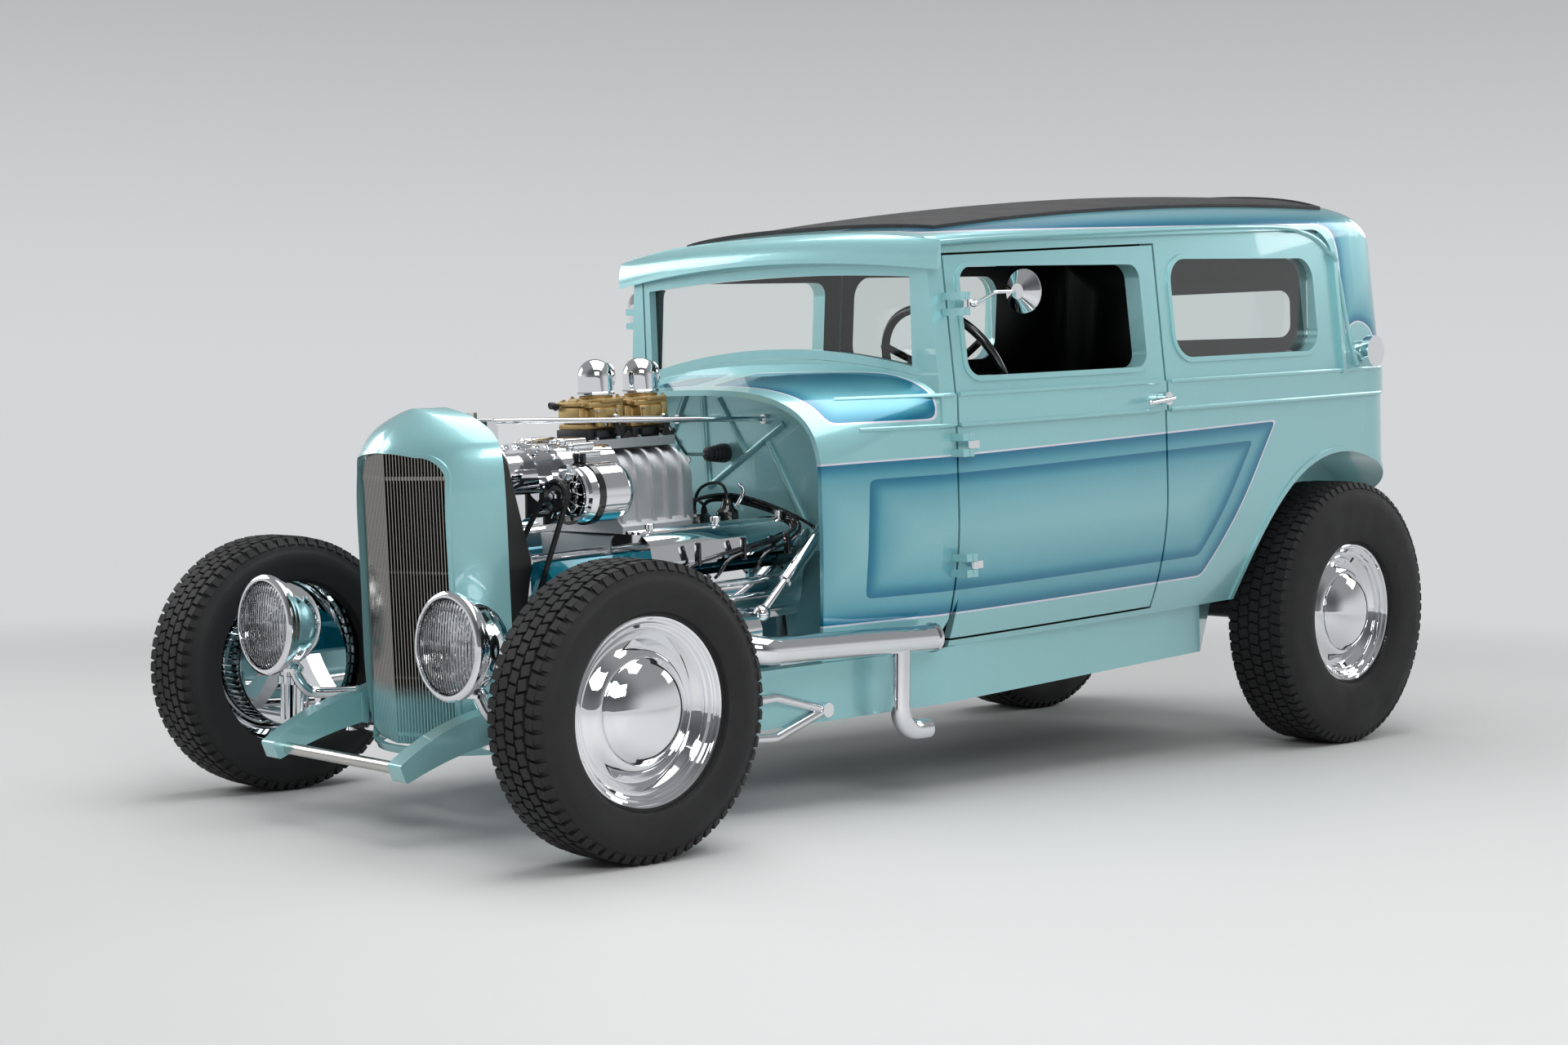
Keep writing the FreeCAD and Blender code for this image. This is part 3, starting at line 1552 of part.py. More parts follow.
def make_engine_block():
    """Crankcase, sump and two canted heads as one casting outline run along the car."""
    block = new_body("crankcase")
    length = cell.engine_rear_y - cell.engine_front_y
    deck = cell.head_low - cell.crank_height
    corners = [
        (-cell.sump_half_width, cell.sump_bottom),
        (cell.sump_half_width, cell.sump_bottom),
        (cell.sump_half_width, cell.crank_height - deck),
        (cell.crankcase_half_width, cell.crank_height),
        (cell.head_outer_x * 0.8, cell.head_low),
        (cell.head_outer_x, cell.head_low + deck / 2),
        (cell.head_inner_x * 1.6, cell.head_top),
        (cell.head_inner_x, cell.crankcase_top),
        (-cell.head_inner_x, cell.crankcase_top),
        (cell.head_inner_x * -1.6, cell.head_top),
        (-cell.head_outer_x, cell.head_low + deck / 2),
        (cell.head_outer_x * -0.8, cell.head_low),
        (-cell.crankcase_half_width, cell.crank_height),
        (-cell.sump_half_width, cell.crank_height - deck),
    ]
    sketch = outline_sketch(block, "XZ_Plane", corners, -cell.engine_front_y)
    pad(block, sketch, length, backwards=True)
    cover = cylinder("timing_cover", "y",
                     (0, cell.engine_front_y - cell.timing_cover_depth, cell.crank_height),
                     cell.crankcase_half_width * 0.8, cell.timing_cover_depth)
    pump = cylinder("water_pump", "y",
                    (0, cell.engine_front_y - cell.timing_cover_depth, cell.crankcase_top),
                    cell.crankcase_half_width * 0.5, cell.timing_cover_depth)
    snout = cylinder("crank_snout", "y",
                     (0, cell.belt_front_y + cell.belt_width / 2, cell.crank_height),
                     cell.spindle_radius,
                     cell.engine_front_y - cell.belt_front_y - cell.belt_width / 2)
    mount = box("engine_mount",
                (-cell.rail_axle_x * 0.9, cell.rail_cowl_y * 0.5 - cell.crossmember_width / 3,
                 cell.rail_bottom + cell.crossmember_height / 2 + cell.seat_gap),
                (cell.rail_axle_x * 0.9, cell.rail_cowl_y * 0.5 + cell.crossmember_width / 3,
                 cell.crank_height - cell.crossmember_height))
    raked_node(fuse("engine_fuse", [block, cover, pump, snout, mount]), "engine_block")


def make_valve_covers():
    """Ribbed covers on both heads, with a finned guard over the ports below each."""
    cover = new_body("valve_cover")
    step = cell.cover_step
    corners = [
        (cell.cover_inner_x, cell.head_top - step * 0.4),
        (cell.cover_outer_x - step, cell.cover_low - step * 0.6),
        (cell.cover_outer_x, cell.cover_low),
        (cell.cover_outer_x - step * 0.3, cell.cover_top - step, step / 6),
        (cell.cover_outer_x - step * 1.6, cell.cover_top),
        (cell.cover_inner_x + step, cell.cover_top, step / 6),
        (cell.cover_inner_x, cell.cover_top - step * 0.6),
    ]
    length = cell.cover_rear_y - cell.cover_front_y
    sketch = outline_sketch(cover, "XZ_Plane", corners, -cell.cover_front_y)
    pad(cover, sketch, length, backwards=True)
    rib_parts = [cover]
    for number in range(3):
        across = cell.cover_inner_x + step * 1.5 + cell.cover_rib_pitch * number
        rib_parts.append(cylinder("cover_rib_%d" % number, "y",
                                  (across, cell.cover_front_y + cell.cover_step / 2,
                                   cell.cover_top), cell.cover_rib, length - cell.cover_step))
    covers = fuse("valve_cover_fuse", rib_parts)
    guard = new_body("port_guard")
    outer = cell.cover_outer_x - step / 3
    corners = [
        (outer - cell.guard_depth, cell.guard_low),
        (outer - cell.guard_depth * 0.45, cell.guard_low, cell.guard_depth / 7),
        (outer, cell.guard_top - step * 0.4),
        (outer - step, cell.guard_top),
        (outer - cell.guard_depth * 0.8, cell.guard_top),
    ]
    sketch = outline_sketch(guard, "XZ_Plane", corners, -cell.cover_front_y - cell.cover_step)
    pad(guard, sketch, length - cell.cover_step * 2, backwards=True)
    bars = [guard]
    count = 3
    for number in range(count):
        share = (number + 0.5) / count
        up = cell.guard_low + (cell.guard_top - cell.guard_low) * (share * 0.8 + 0.05)
        across = outer - cell.guard_depth * (0.3 * (1 - share))
        bars.append(cylinder("guard_bar_%d" % number, "y",
                             (across, cell.cover_front_y + cell.cover_step * 1.5, up),
                             cell.guard_fin, length - cell.cover_step * 3))
    guards = fuse("port_guard_fuse", bars)
    pieces = both_sides("valve_cover_right", covers) + both_sides("port_guard_right", guards)
    raked_node(group("valve_cover_group", pieces), "valve_covers")


def make_manifold():
    """The intake manifold between the heads, wide at its feet and flat on top."""
    manifold = new_body("manifold_block")
    half = cell.manifold_half_width
    corners = [
        (-half * 0.55, cell.crankcase_top + cell.seat_gap),
        (half * 0.55, cell.crankcase_top + cell.seat_gap),
        (half * 0.95, cell.head_top - cell.cover_step),
        (half, cell.manifold_top),
        (-half, cell.manifold_top),
        (half * -0.95, cell.head_top - cell.cover_step),
    ]
    sketch = outline_sketch(manifold, "XZ_Plane", corners,
                            -cell.blower_front_y + cell.cover_step)
    pad(manifold, sketch, cell.blower_rear_y - cell.blower_front_y + cell.cover_step,
        backwards=True)
    return manifold


def make_blower():
    """The rib-wrapped rotor case, its polished gear case in front and the bearing plate."""
    case = new_body("blower_case_body")
    half = cell.blower_half_width
    low, high = cell.blower_bottom, cell.blower_top
    bend = cell.blower_round
    flare = cell.blower_rib
    corners = [
        (-half, low),
        (half, low),
        (half, low + flare * 2),
        (half - flare * 2, low + flare * 3.5),
        (half - flare * 2, high - bend, bend * 0.29),
        (half - flare * 2 - bend, high),
        (-half + flare * 2 + bend, high, bend * 0.29),
        (-half + flare * 2, high - bend),
        (-half + flare * 2, low + flare * 3.5),
        (-half, low + flare * 2),
    ]
    length = cell.blower_rear_y - cell.blower_front_y
    sketch = outline_sketch(case, "XZ_Plane", corners, -cell.blower_front_y)
    pad(case, sketch, length, backwards=True)
    edge = half - flare
    rib = [
        (-edge, low + flare),
        (edge, low + flare),
        (edge, high - bend + flare, bend * 0.29),
        (edge - bend, high + flare),
        (-edge + bend, high + flare, bend * 0.29),
        (-edge, high - bend + flare),
    ]
    first = outline_sketch(case, "XZ_Plane", rib, -cell.blower_front_y - cell.blower_rib)
    ribbed = pad(case, first, cell.blower_rib_width, backwards=True)
    pitch_total = length - cell.blower_rib * 2 - cell.blower_rib_width
    repeat_along(case, ribbed, first, "N_Axis", pitch_total, int(mm.blower_rib_count),
                 backwards=True)
    cap = new_body("blower_rear_cap")
    sketch = outline_sketch(cap, "XZ_Plane", [
        (-half + flare * 3, low + flare),
        (half - flare * 3, low + flare),
        (half - flare * 3, high - bend, bend * 0.25),
        (half - flare * 3 - bend, high - flare),
        (-half + flare * 3 + bend, high - flare, bend * 0.25),
        (-half + flare * 3, high - bend),
    ], -cell.blower_rear_y)
    pad(cap, sketch, cell.cover_step, backwards=True)
    plate = box("carb_plate",
                (-cell.carb_plate_half_width, cell.carb_plate_front_y,
                 cell.blower_top + cell.blower_rib + cell.seat_gap),
                (cell.carb_plate_half_width, cell.carb_plate_rear_y, cell.carb_plate_top))
    pieces = [make_manifold(), fuse("blower_fuse", [case, cap]), plate]
    raked_node(group("blower_group", pieces), "blower_case")
    gear_length = cell.blower_front_y - cell.gearcase_front_y - cell.seat_gap
    centre = cell.top_pulley_height - cell.blower_rib * 3
    parts = []
    for word, side in SIDES:
        parts.append(cylinder("gear_lobe_" + word, "y",
                              (cell.gearcase_lobe_x * side, cell.gearcase_front_y, centre),
                              cell.gearcase_radius, gear_length))
    parts.append(cylinder("gear_neck", "y",
                          (0, cell.gearcase_front_y - cell.cover_step, centre),
                          cell.gearcase_neck_radius, cell.cover_step * 2))
    parts.append(cylinder("blower_snout", "y", (0, cell.snout_front_y, cell.top_pulley_height),
                          cell.snout_radius, cell.gearcase_front_y - cell.snout_front_y))
    raked_node(fuse("blower_drive_fuse", parts), "blower_gear_case")


def pulley(name, across, up, radius, nose):
    """A flanged, toothed-belt pulley with a stepped hub."""
    body = new_body(name)
    start = cell.belt_front_y - cell.pulley_flange
    end = cell.belt_front_y + cell.belt_width + cell.pulley_flange
    flange = cell.pulley_flange
    lip = radius + cell.pulley_lip
    corners = [
        (0, start - nose),
        (radius * 0.35, start - nose),
        (radius * 0.42, start),
        (radius * 0.75, start + flange),
        (radius * 0.85, start),
        (lip, start),
        (lip, start + flange),
        (radius - cell.seat_gap, start + flange),
        (radius - cell.seat_gap, end - flange),
        (lip, end - flange),
        (lip, end),
        (0, end),
    ]
    revolve(body, outline_sketch(body, "XY_Plane", corners), "V_Axis")
    put(body, across, 0, up)
    return body


def belt_run(first, second):
    """The straight run of the belt on the outer side of two pulleys, as a tangent line."""
    (x1, z1, r1), (x2, z2, r2) = first, second
    gap = math.hypot(x2 - x1, z2 - z1)
    heading = math.atan2(z2 - z1, x2 - x1)
    tilt = math.acos((r1 - r2) / gap)
    angle = heading - tilt
    direction = Vector(math.cos(angle), 0, math.sin(angle))
    front = mm.belt_front_y + mm.seat_gap
    return (Vector(x1, front, z1) + direction * r1, Vector(x2, front, z2) + direction * r2)


def belt_wire(grow):
    """The belt's loop round the top, idler and crank pulleys, taken clockwise from in front."""
    wheels = [
        (0, mm.crank_height, mm.crank_pulley_radius + grow),
        (mm.idler_x, mm.idler_height, mm.idler_radius + grow),
        (0, mm.top_pulley_height, mm.top_pulley_radius + grow),
    ]
    runs = []
    for index, item in enumerate(wheels):
        runs.append(belt_run(item, wheels[(index + 1) % len(wheels)]))
    edges = []
    for index, (start, end) in enumerate(runs):
        edges.append(Part.makeLine(start, end))
        following = runs[(index + 1) % len(runs)][0]
        across, up, radius = wheels[(index + 1) % len(wheels)]
        centre = Vector(across, mm.belt_front_y + mm.seat_gap, up)
        middle = ((end + following) * 0.5 - centre)
        if middle.Length < radius / 2:
            middle = Vector(0, 0, 1 if up > mm.idler_height else -1)
        middle = centre + middle.normalize() * radius
        edges.append(Part.Arc(end, middle, following).toShape())
    return Part.Wire(edges)


def make_blower_drive():
    """The wide toothed belt with its crank, idler and top pulleys."""
    nose = cell.cover_step
    parts = [
        pulley("top_pulley", 0, cell.top_pulley_height, cell.top_pulley_radius, nose),
        pulley("crank_pulley", 0, cell.crank_height, cell.crank_pulley_radius, nose / 2),
        pulley("idler_pulley", cell.idler_x, cell.idler_height, cell.idler_radius, nose / 3),
    ]
    rear = cell.belt_front_y + cell.belt_width
    parts.append(cylinder("top_pulley_shaft", "y", (0, rear, cell.top_pulley_height),
                          cell.snout_radius * 0.5,
                          cell.snout_front_y - rear - cell.seat_gap))
    parts.append(cylinder("idler_arm", "y", (cell.idler_x, rear, cell.idler_height),
                          cell.idler_radius * 0.4,
                          cell.blower_front_y - rear - cell.cover_step))
    parts.append(box("idler_bracket",
                     (cell.idler_x * 0.2, cell.engine_front_y + cell.seat_gap,
                      cell.crankcase_top + cell.seat_gap * 2),
                     (cell.idler_x + cell.idler_radius * 0.4,
                      cell.engine_front_y + cell.cover_step,
                      cell.idler_height)))
    raked_node(fuse("blower_pulleys_fuse", parts), "blower_pulleys")
    face = Part.Face(belt_wire(mm.belt_thickness)).cut(Part.Face(belt_wire(0)))
    belt = face.extrude(Vector(0, mm.belt_width - mm.seat_gap * 2, 0))
    raked_shape("drive_belt", belt)


def make_alternator():
    """A polished alternator beside the blower, with its fan and pulley in front."""
    centre = (cell.alternator_x, cell.alternator_z)
    front = cell.alternator_front_y
    body = new_body("alternator_case")
    radius = cell.alternator_radius
    length = cell.alternator_length
    corners = [
        (0, 0),
        (cell.alternator_pulley_radius, 0),
        (cell.alternator_pulley_radius * 0.75, cell.alternator_fan / 2),
        (cell.alternator_pulley_radius, cell.alternator_fan),
        (cell.alternator_pulley_radius * 0.5, cell.alternator_fan),
        (cell.alternator_pulley_radius * 0.5, cell.alternator_fan * 1.6),
        (radius, cell.alternator_fan * 1.6),
        (radius, cell.alternator_fan * 2.1),
        (radius * 0.8, cell.alternator_fan * 2.1),
        (radius * 0.8, cell.alternator_fan * 2.5),
        (radius * 0.93, cell.alternator_fan * 3.2),
        (radius, cell.alternator_fan * 4.5),
        (radius, length * 0.8, radius / 8),
        (radius * 0.6, length),
        (0, length),
    ]
    revolve(body, outline_sketch(body, "XY_Plane", corners), "V_Axis")
    put(body, centre[0], front, centre[1])
    lug = box("alternator_lug",
              (cell.gearcase_lobe_x + cell.gearcase_radius * 0.93, cell.gearcase_front_y
               + cell.cover_step, cell.alternator_z - cell.cover_step / 2),
              (cell.alternator_x - radius * 0.8, cell.gearcase_front_y + cell.cover_step * 2,
               cell.alternator_z + cell.cover_step / 2))
    raked_node(fuse("alternator_fuse", [body, lug]), "alternator")


def make_carburettors():
    """Two four-barrel carburettors in line on the plate over the blower."""
    parts = []
    for number in range(2):
        along = cell.carb_front_y + cell.carb_pitch * number
        centre = along - cell.carb_offset
        half = cell.carb_length / 2 - cell.seat_gap * 4
        base = cell.carb_plate_top + cell.seat_gap
        middle = base + cell.carb_body_height
        parts.append(box("carb_body_%d" % number,
                         (-cell.carb_half_width * 0.72, centre - half, base),
                         (cell.carb_half_width * 0.72, centre + half, middle)))
        for word, side in SIDES:
            low = cell.carb_half_width * 0.6 if side == LEFT else -cell.carb_half_width
            high = cell.carb_half_width if side == LEFT else cell.carb_half_width * -0.6
            parts.append(box("carb_bowl_%d_%s" % (number, word),
                             (low, centre - half * 0.8, base + cell.carb_bowl / 2),
                             (high, centre + half * 0.8, middle)))
        parts.append(box("carb_lid_%d" % number,
                         (-cell.carb_half_width * 0.9, centre - half * 0.9, middle),
                         (cell.carb_half_width * 0.9, centre + half * 0.9,
                          middle + cell.carb_top_height * 0.45)))
        parts.append(cylinder("carb_horn_%d" % number, "z", (0, along, middle),
                              cell.scoop_radius * 0.9, cell.carb_top_height))
    raked_node(group("carburettor_group", [fuse("carburettor_fuse", parts)]), "carburettors")


def make_scoops():
    """Two domed air scoops, each open at the rear."""
    shapes = []
    base = mm.carb_plate_top + mm.seat_gap * 2 + mm.carb_body_height + mm.carb_top_height
    radius = mm.scoop_radius
    straight = mm.scoop_height - radius
    for number in range(2):
        along = mm.carb_front_y + mm.carb_pitch * number
        outer = scoop_form(radius, straight, along, base)
        inner = scoop_form(radius - mm.scoop_wall, straight, along, base + mm.scoop_wall)
        mouth = Part.makeCylinder(mm.scoop_mouth, radius * 2,
                                  Vector(0, along, base + straight + radius * 0.15),
                                  Vector(0, 1, 0))
        shapes.append(outer.cut(inner).cut(mouth))
    raked_shape("air_scoops", Part.makeCompound(shapes))


def scoop_form(radius, straight, along, base):
    wall = Part.makeCylinder(radius, straight, Vector(0, along, base))
    dome = Part.makeSphere(radius, Vector(0, along, base + straight))
    upper = Part.makeBox(radius * 4, radius * 4, radius * 2,
                         Vector(-radius * 2, along - radius * 2, base + straight))
    return wall.fuse(dome.common(upper))


def make_gearbox():
    """The bell housing, gearbox and tail shaft behind the engine, and the propeller shaft."""
    body = new_body("gearbox_body")
    start = cell.engine_rear_y + cell.seat_gap
    bell = start + cell.gearbox_bell_length
    main = bell + cell.gearbox_main_length
    corners = [
        (0, start),
        (cell.gearbox_front_radius, start),
        (cell.gearbox_front_radius, start + cell.cover_step),
        (cell.gearbox_radius, bell),
        (cell.gearbox_radius, main),
        (cell.gearbox_tail_radius, main + cell.overrun),
        (cell.gearbox_tail_radius, cell.gearbox_rear_y),
        (0, cell.gearbox_rear_y),
    ]
    revolve(body, outline_sketch(body, "XY_Plane", corners), "V_Axis")
    put(body, 0, 0, cell.crank_height - cell.overrun / 2)
    mount = box("gearbox_mount",
                (-cell.gearbox_tail_radius, cell.rail_door_y * 1.25 - cell.crossmember_width / 4,
                 cell.rail_bottom + cell.crossmember_height * 0.75 + cell.seat_gap),
                (cell.gearbox_tail_radius, cell.rail_door_y * 1.25 + cell.crossmember_width / 4,
                 cell.crank_height - cell.overrun))
    rear_y, rear_z = on_frame(mm.wheelbase - mm.diff_radius, mm.rear_tyre_radius)
    shaft = straight_rod((0, mm.gearbox_rear_y + mm.seat_gap, mm.crank_height - mm.overrun / 2),
                         (0, rear_y - mm.seat_gap, rear_z), mm.propshaft_radius)
    pieces = [fuse("gearbox_fuse", [body, mount]), shape_feature("propeller_shaft", shaft)]
    raked_node(group("gearbox_group", pieces), "gearbox")


def make_exhaust():
    """A capped side pipe along each rail with a short down pipe."""
    points = [
        (mm.exhaust_port_x, mm.exhaust_port_y, mm.exhaust_port_z),
        (mm.exhaust_x, mm.exhaust_port_y, mm.exhaust_z),
        (mm.exhaust_x, mm.exhaust_rear_y, mm.exhaust_z),
    ]
    pipe = bent_tube(points, mm.exhaust_radius, mm.exhaust_bend)
    end = Part.makeCylinder(mm.exhaust_radius + mm.exhaust_lip, mm.exhaust_lip * 2,
                            Vector(mm.exhaust_x, mm.exhaust_rear_y, mm.exhaust_z),
                            Vector(0, 1, 0))
    drop = bent_tube([
        (mm.exhaust_x, mm.downpipe_y, mm.exhaust_z),
        (mm.exhaust_x, mm.downpipe_y, mm.downpipe_bottom + mm.downpipe_radius),
        (mm.exhaust_x, mm.downpipe_y + mm.downpipe_bend * 1.6,
         mm.downpipe_bottom + mm.downpipe_radius)], mm.downpipe_radius, mm.downpipe_bend)
    bore_end = Part.makeCylinder(mm.downpipe_radius - mm.exhaust_wall, mm.downpipe_bend,
                                 Vector(mm.exhaust_x, mm.downpipe_y + mm.downpipe_bend * 0.9,
                                        mm.downpipe_bottom + mm.downpipe_radius),
                                 Vector(0, 1, 0))
    pipe = pipe.multiFuse([end, drop]).cut(bore_end)
    level_shape("exhaust_pipes",
                Part.makeCompound([pipe, pipe.mirror(Vector(0, 0, 0), Vector(1, 0, 0))]))


# Body shell

ARCH_POINTS = 7
MAIN_STEPS = 6
TAIL_STEPS = 8


def half_width_at(along):
    """Half width at the belt: the cowl widens quickly, the body behind it swells gently."""
    if along < mm.door_front_y:
        share = (along - mm.cowl_front_y) / (mm.door_front_y - mm.cowl_front_y)
        return mm.cowl_half_width + (mm.front_half_width - mm.cowl_half_width) * share ** 1.15
    share = min(1, (along - mm.door_front_y) / (mm.swell_end_y - mm.door_front_y))
    return mm.front_half_width + (mm.belt_half_width - mm.front_half_width) * share * (2 - share)


def rounding(along, start, radius):
    """How far a quarter round has fallen away at a place along the car."""
    reach = min(max(along - start, 0), radius)
    return radius - math.sqrt(radius ** 2 - reach ** 2)


def tuck_at(along):
    """How far the sides tuck in towards their lower edge."""
    share = (along - mm.cowl_front_y) / (mm.door_front_y - mm.cowl_front_y)
    return mm.lower_tuck * min(1, max(0.25, share))


def arch_points(half, side_top, crown, power):
    """The top of a section as a rounded arch from one side to the other."""
    points = []
    count = ARCH_POINTS * 2
    for number in range(count + 1):
        angle = math.pi * number / count
        across = math.cos(angle)
        up = math.sin(angle)
        share_x = math.copysign(abs(across) ** (2 / power), across)
        share_z = abs(up) ** (2 / power)
        points.append((half * share_x, side_top + (crown - side_top) * share_z))
    return points


def curve_through(points):
    curve = Part.BSplineCurve()
    curve.interpolate(points)
    return curve.toShape()


def body_section(along, half, tuck, low, side_top, crown, tumble, power):
    """One upright section of the body, from its lower edge round over the roof."""
    arch = arch_points(half - tumble, side_top, crown, power)
    belt = min(mm.belt_top, side_top - mm.overrun / 6)
    side = []
    for number in range(5):
        share = number / 4
        side.append((half - tuck * (1 - share) ** 2, low + (mm.tuck_top - low) * share))
    place = {sign: [Vector(sign * across, along, up) for across, up in side]
             for sign in (1, -1)}
    edges = [
        Part.makeLine(place[-1][0], place[1][0]),
        curve_through(place[1]),
        Part.makeLine(place[1][-1], Vector(half, along, belt)),
        Part.makeLine(Vector(half, along, belt), Vector(half - tumble, along, side_top)),
        curve_through([Vector(across, along, up) for across, up in arch]),
        Part.makeLine(Vector(tumble - half, along, side_top), Vector(-half, along, belt)),
        Part.makeLine(Vector(-half, along, belt), place[-1][-1]),
        curve_through(place[-1][::-1]),
    ]
    return Part.Wire(edges)


def roof_lines(along, grow):
    """The side top and the crown of the roof at a place along the car."""
    share = (along - mm.pillar_front_y) / (mm.roof_crown_y - mm.pillar_front_y)
    share = min(1, max(0, share))
    fall = rounding(along, mm.tail_y - mm.roof_tail_drop, mm.roof_tail_drop + grow)
    crown = mm.roof_front + (mm.roof_crown - mm.roof_front) * share * (2 - share)
    side_top = mm.side_top_front + (mm.side_top_rear - mm.side_top_front) * share
    return side_top - fall, crown + grow - fall


def body_loft(grow=0, start=None, low=None):
    """The closed sedan body, grown outwards or inwards."""
    start = mm.pillar_front_y if start is None else start
    low = mm.body_bottom if low is None else low
    corner = mm.tail_corner + grow
    bend = mm.tail_y - mm.tail_corner
    turn = mm.tail_y - mm.roof_tail_drop
    main = [start + (turn - start) * number / MAIN_STEPS for number in range(MAIN_STEPS + 1)]
    reach = bend + corner - turn
    tail = [turn + reach * math.sin(math.pi / 2 * number / TAIL_STEPS)
            for number in range(TAIL_STEPS + 1)]
    runs = []
    for stations in (main, tail):
        wires = []
        for along in stations:
            half = half_width_at(along) + grow - rounding(along, bend, corner)
            side_top, crown = roof_lines(along, grow)
            if grow < 0:
                side_top = side_top + grow / 3
            wires.append(body_section(along, half, tuck_at(along), low, side_top, crown,
                                      mm.top_tumblehome, 2.3))
        runs.append(Part.makeLoft(wires, True, False))
    return runs[0].fuse(runs[1])


def cowl_loft(grow=0, start=None, end=None, low=None):
    """The cowl from the firewall's flange back to the windshield."""
    start = mm.cowl_front_y if start is None else start
    end = mm.pillar_front_y if end is None else end
    low = mm.body_bottom if low is None else low
    wires = []
    for number in range(5):
        along = start + (end - start) * number / 4
        share = (along - mm.cowl_front_y) / (mm.pillar_front_y - mm.cowl_front_y)
        share = max(0, share)
        plan = max(along, mm.cowl_front_y)
        half = half_width_at(plan) + grow
        side_top = mm.cowl_side_top + (mm.cowl_rear_side_top - mm.cowl_side_top) * share
        crown = mm.cowl_crown + (mm.cowl_rear_crown - mm.cowl_crown) * share + grow
        wires.append(cowl_section(along, half, tuck_at(plan), low, side_top, crown,
                                  3 - 0.6 * min(1, share)))
    return Part.makeLoft(wires, True, False)


def cowl_section(along, half, tuck, low, side_top, crown, power):
    arch = arch_points(half, side_top, crown, power)
    side = []
    top = mm.tuck_top
    for number in range(5):
        share = number / 4
        side.append((half - tuck * (1 - share) ** 2, low + (top - low) * share))
    right = [Vector(across, along, up) for across, up in side]
    left = [Vector(-across, along, up) for across, up in side]
    edges = [
        Part.makeLine(left[0], right[0]),
        curve_through(right),
        Part.makeLine(right[-1], Vector(half, along, side_top)),
        curve_through([Vector(across, along, up) for across, up in arch]),
        Part.makeLine(Vector(-half, along, side_top), left[-1]),
        curve_through(left[::-1]),
    ]
    return Part.Wire(edges)


def windshield_face(inset, along):
    """The windshield's outline in the front view, bowed up along its lower edge."""
    half = mm.windshield_half_width - inset
    low = mm.windshield_bottom + inset
    high = mm.windshield_top - inset
    bow = mm.windshield_bow
    base = Part.Arc(Vector(half, along, low), Vector(0, along, low + bow),
                    Vector(-half, along, low)).toShape()
    crown = Part.Arc(Vector(half, along, high), Vector(0, along, high + bow / 3),
                     Vector(-half, along, high)).toShape()
    sides = [Part.makeLine(Vector(sign * half, along, low), Vector(sign * half, along, high))
             for sign in (1, -1)]
    return Part.Face(Part.Wire(Part.__sortEdges__([base, crown] + sides)))


def door_window_face(grow):
    return rounded_panel(mm.door_window_front_y - grow, mm.door_window_rear_y + grow,
                         mm.window_sill - grow, mm.window_head + grow,
                         mm.window_corner + grow)


def quarter_window_face(grow):
    return rounded_panel(mm.quarter_front_y - grow, mm.quarter_rear_y + grow,
                         mm.quarter_sill - grow, mm.quarter_head + grow,
                         mm.quarter_corner + grow)


def hood_face(grow):
    """The outline that the drip rail follows over the windows and down behind them."""
    front = mm.pillar_front_y - mm.overrun
    rear = mm.drip_rear_y + grow
    high_front = mm.side_top_front + grow
    high_rear = mm.side_top_rear + grow
    bend = mm.quarter_corner * 1.6 + grow
    low = mm.belt_top - mm.overrun / 6
    edges = [
        Part.makeLine(Vector(0, front, low), Vector(0, front, high_front)),
        Part.makeLine(Vector(0, front, high_front), Vector(0, rear - bend, high_rear)),
        Part.makeCircle(bend, Vector(0, rear - bend, high_rear - bend), Vector(1, 0, 0), 0, 90),
        Part.makeLine(Vector(0, rear, high_rear - bend), Vector(0, rear, low)),
        Part.makeLine(Vector(0, rear, low), Vector(0, front, low)),
    ]
    return Part.Face(Part.Wire(Part.__sortEdges__(edges)))


def arch_face(grow):
    circle = Part.makeCircle(mm.arch_radius + grow, Vector(0, mm.arch_y, mm.arch_z),
                             Vector(1, 0, 0))
    return Part.Face(Part.Wire(circle))


def slab(low_y, high_y, low_z, high_z):
    """A block across the whole body between two places along it and two heights."""
    reach = mm.belt_half_width + mm.overrun
    return Part.makeBox(reach * 2, high_y - low_y, high_z - low_z, Vector(-reach, low_y, low_z))


def both_prisms(face, low=0):
    return [side_prism(face, side, low) for side in (1, -1)]


def door_face(front_gap, rear_gap, edge_gap):
    """The door's outline in the side view, less its gaps."""
    front = mm.door_front_y + front_gap
    rear = mm.door_rear_y - rear_gap
    points = [
        Vector(0, front, mm.door_bottom + edge_gap),
        Vector(0, rear, mm.door_bottom + edge_gap),
        Vector(0, rear, mm.door_top_rear - edge_gap),
        Vector(0, front, mm.door_top_front - edge_gap),
    ]
    return Part.Face(Part.makePolygon(points + points[:1]))


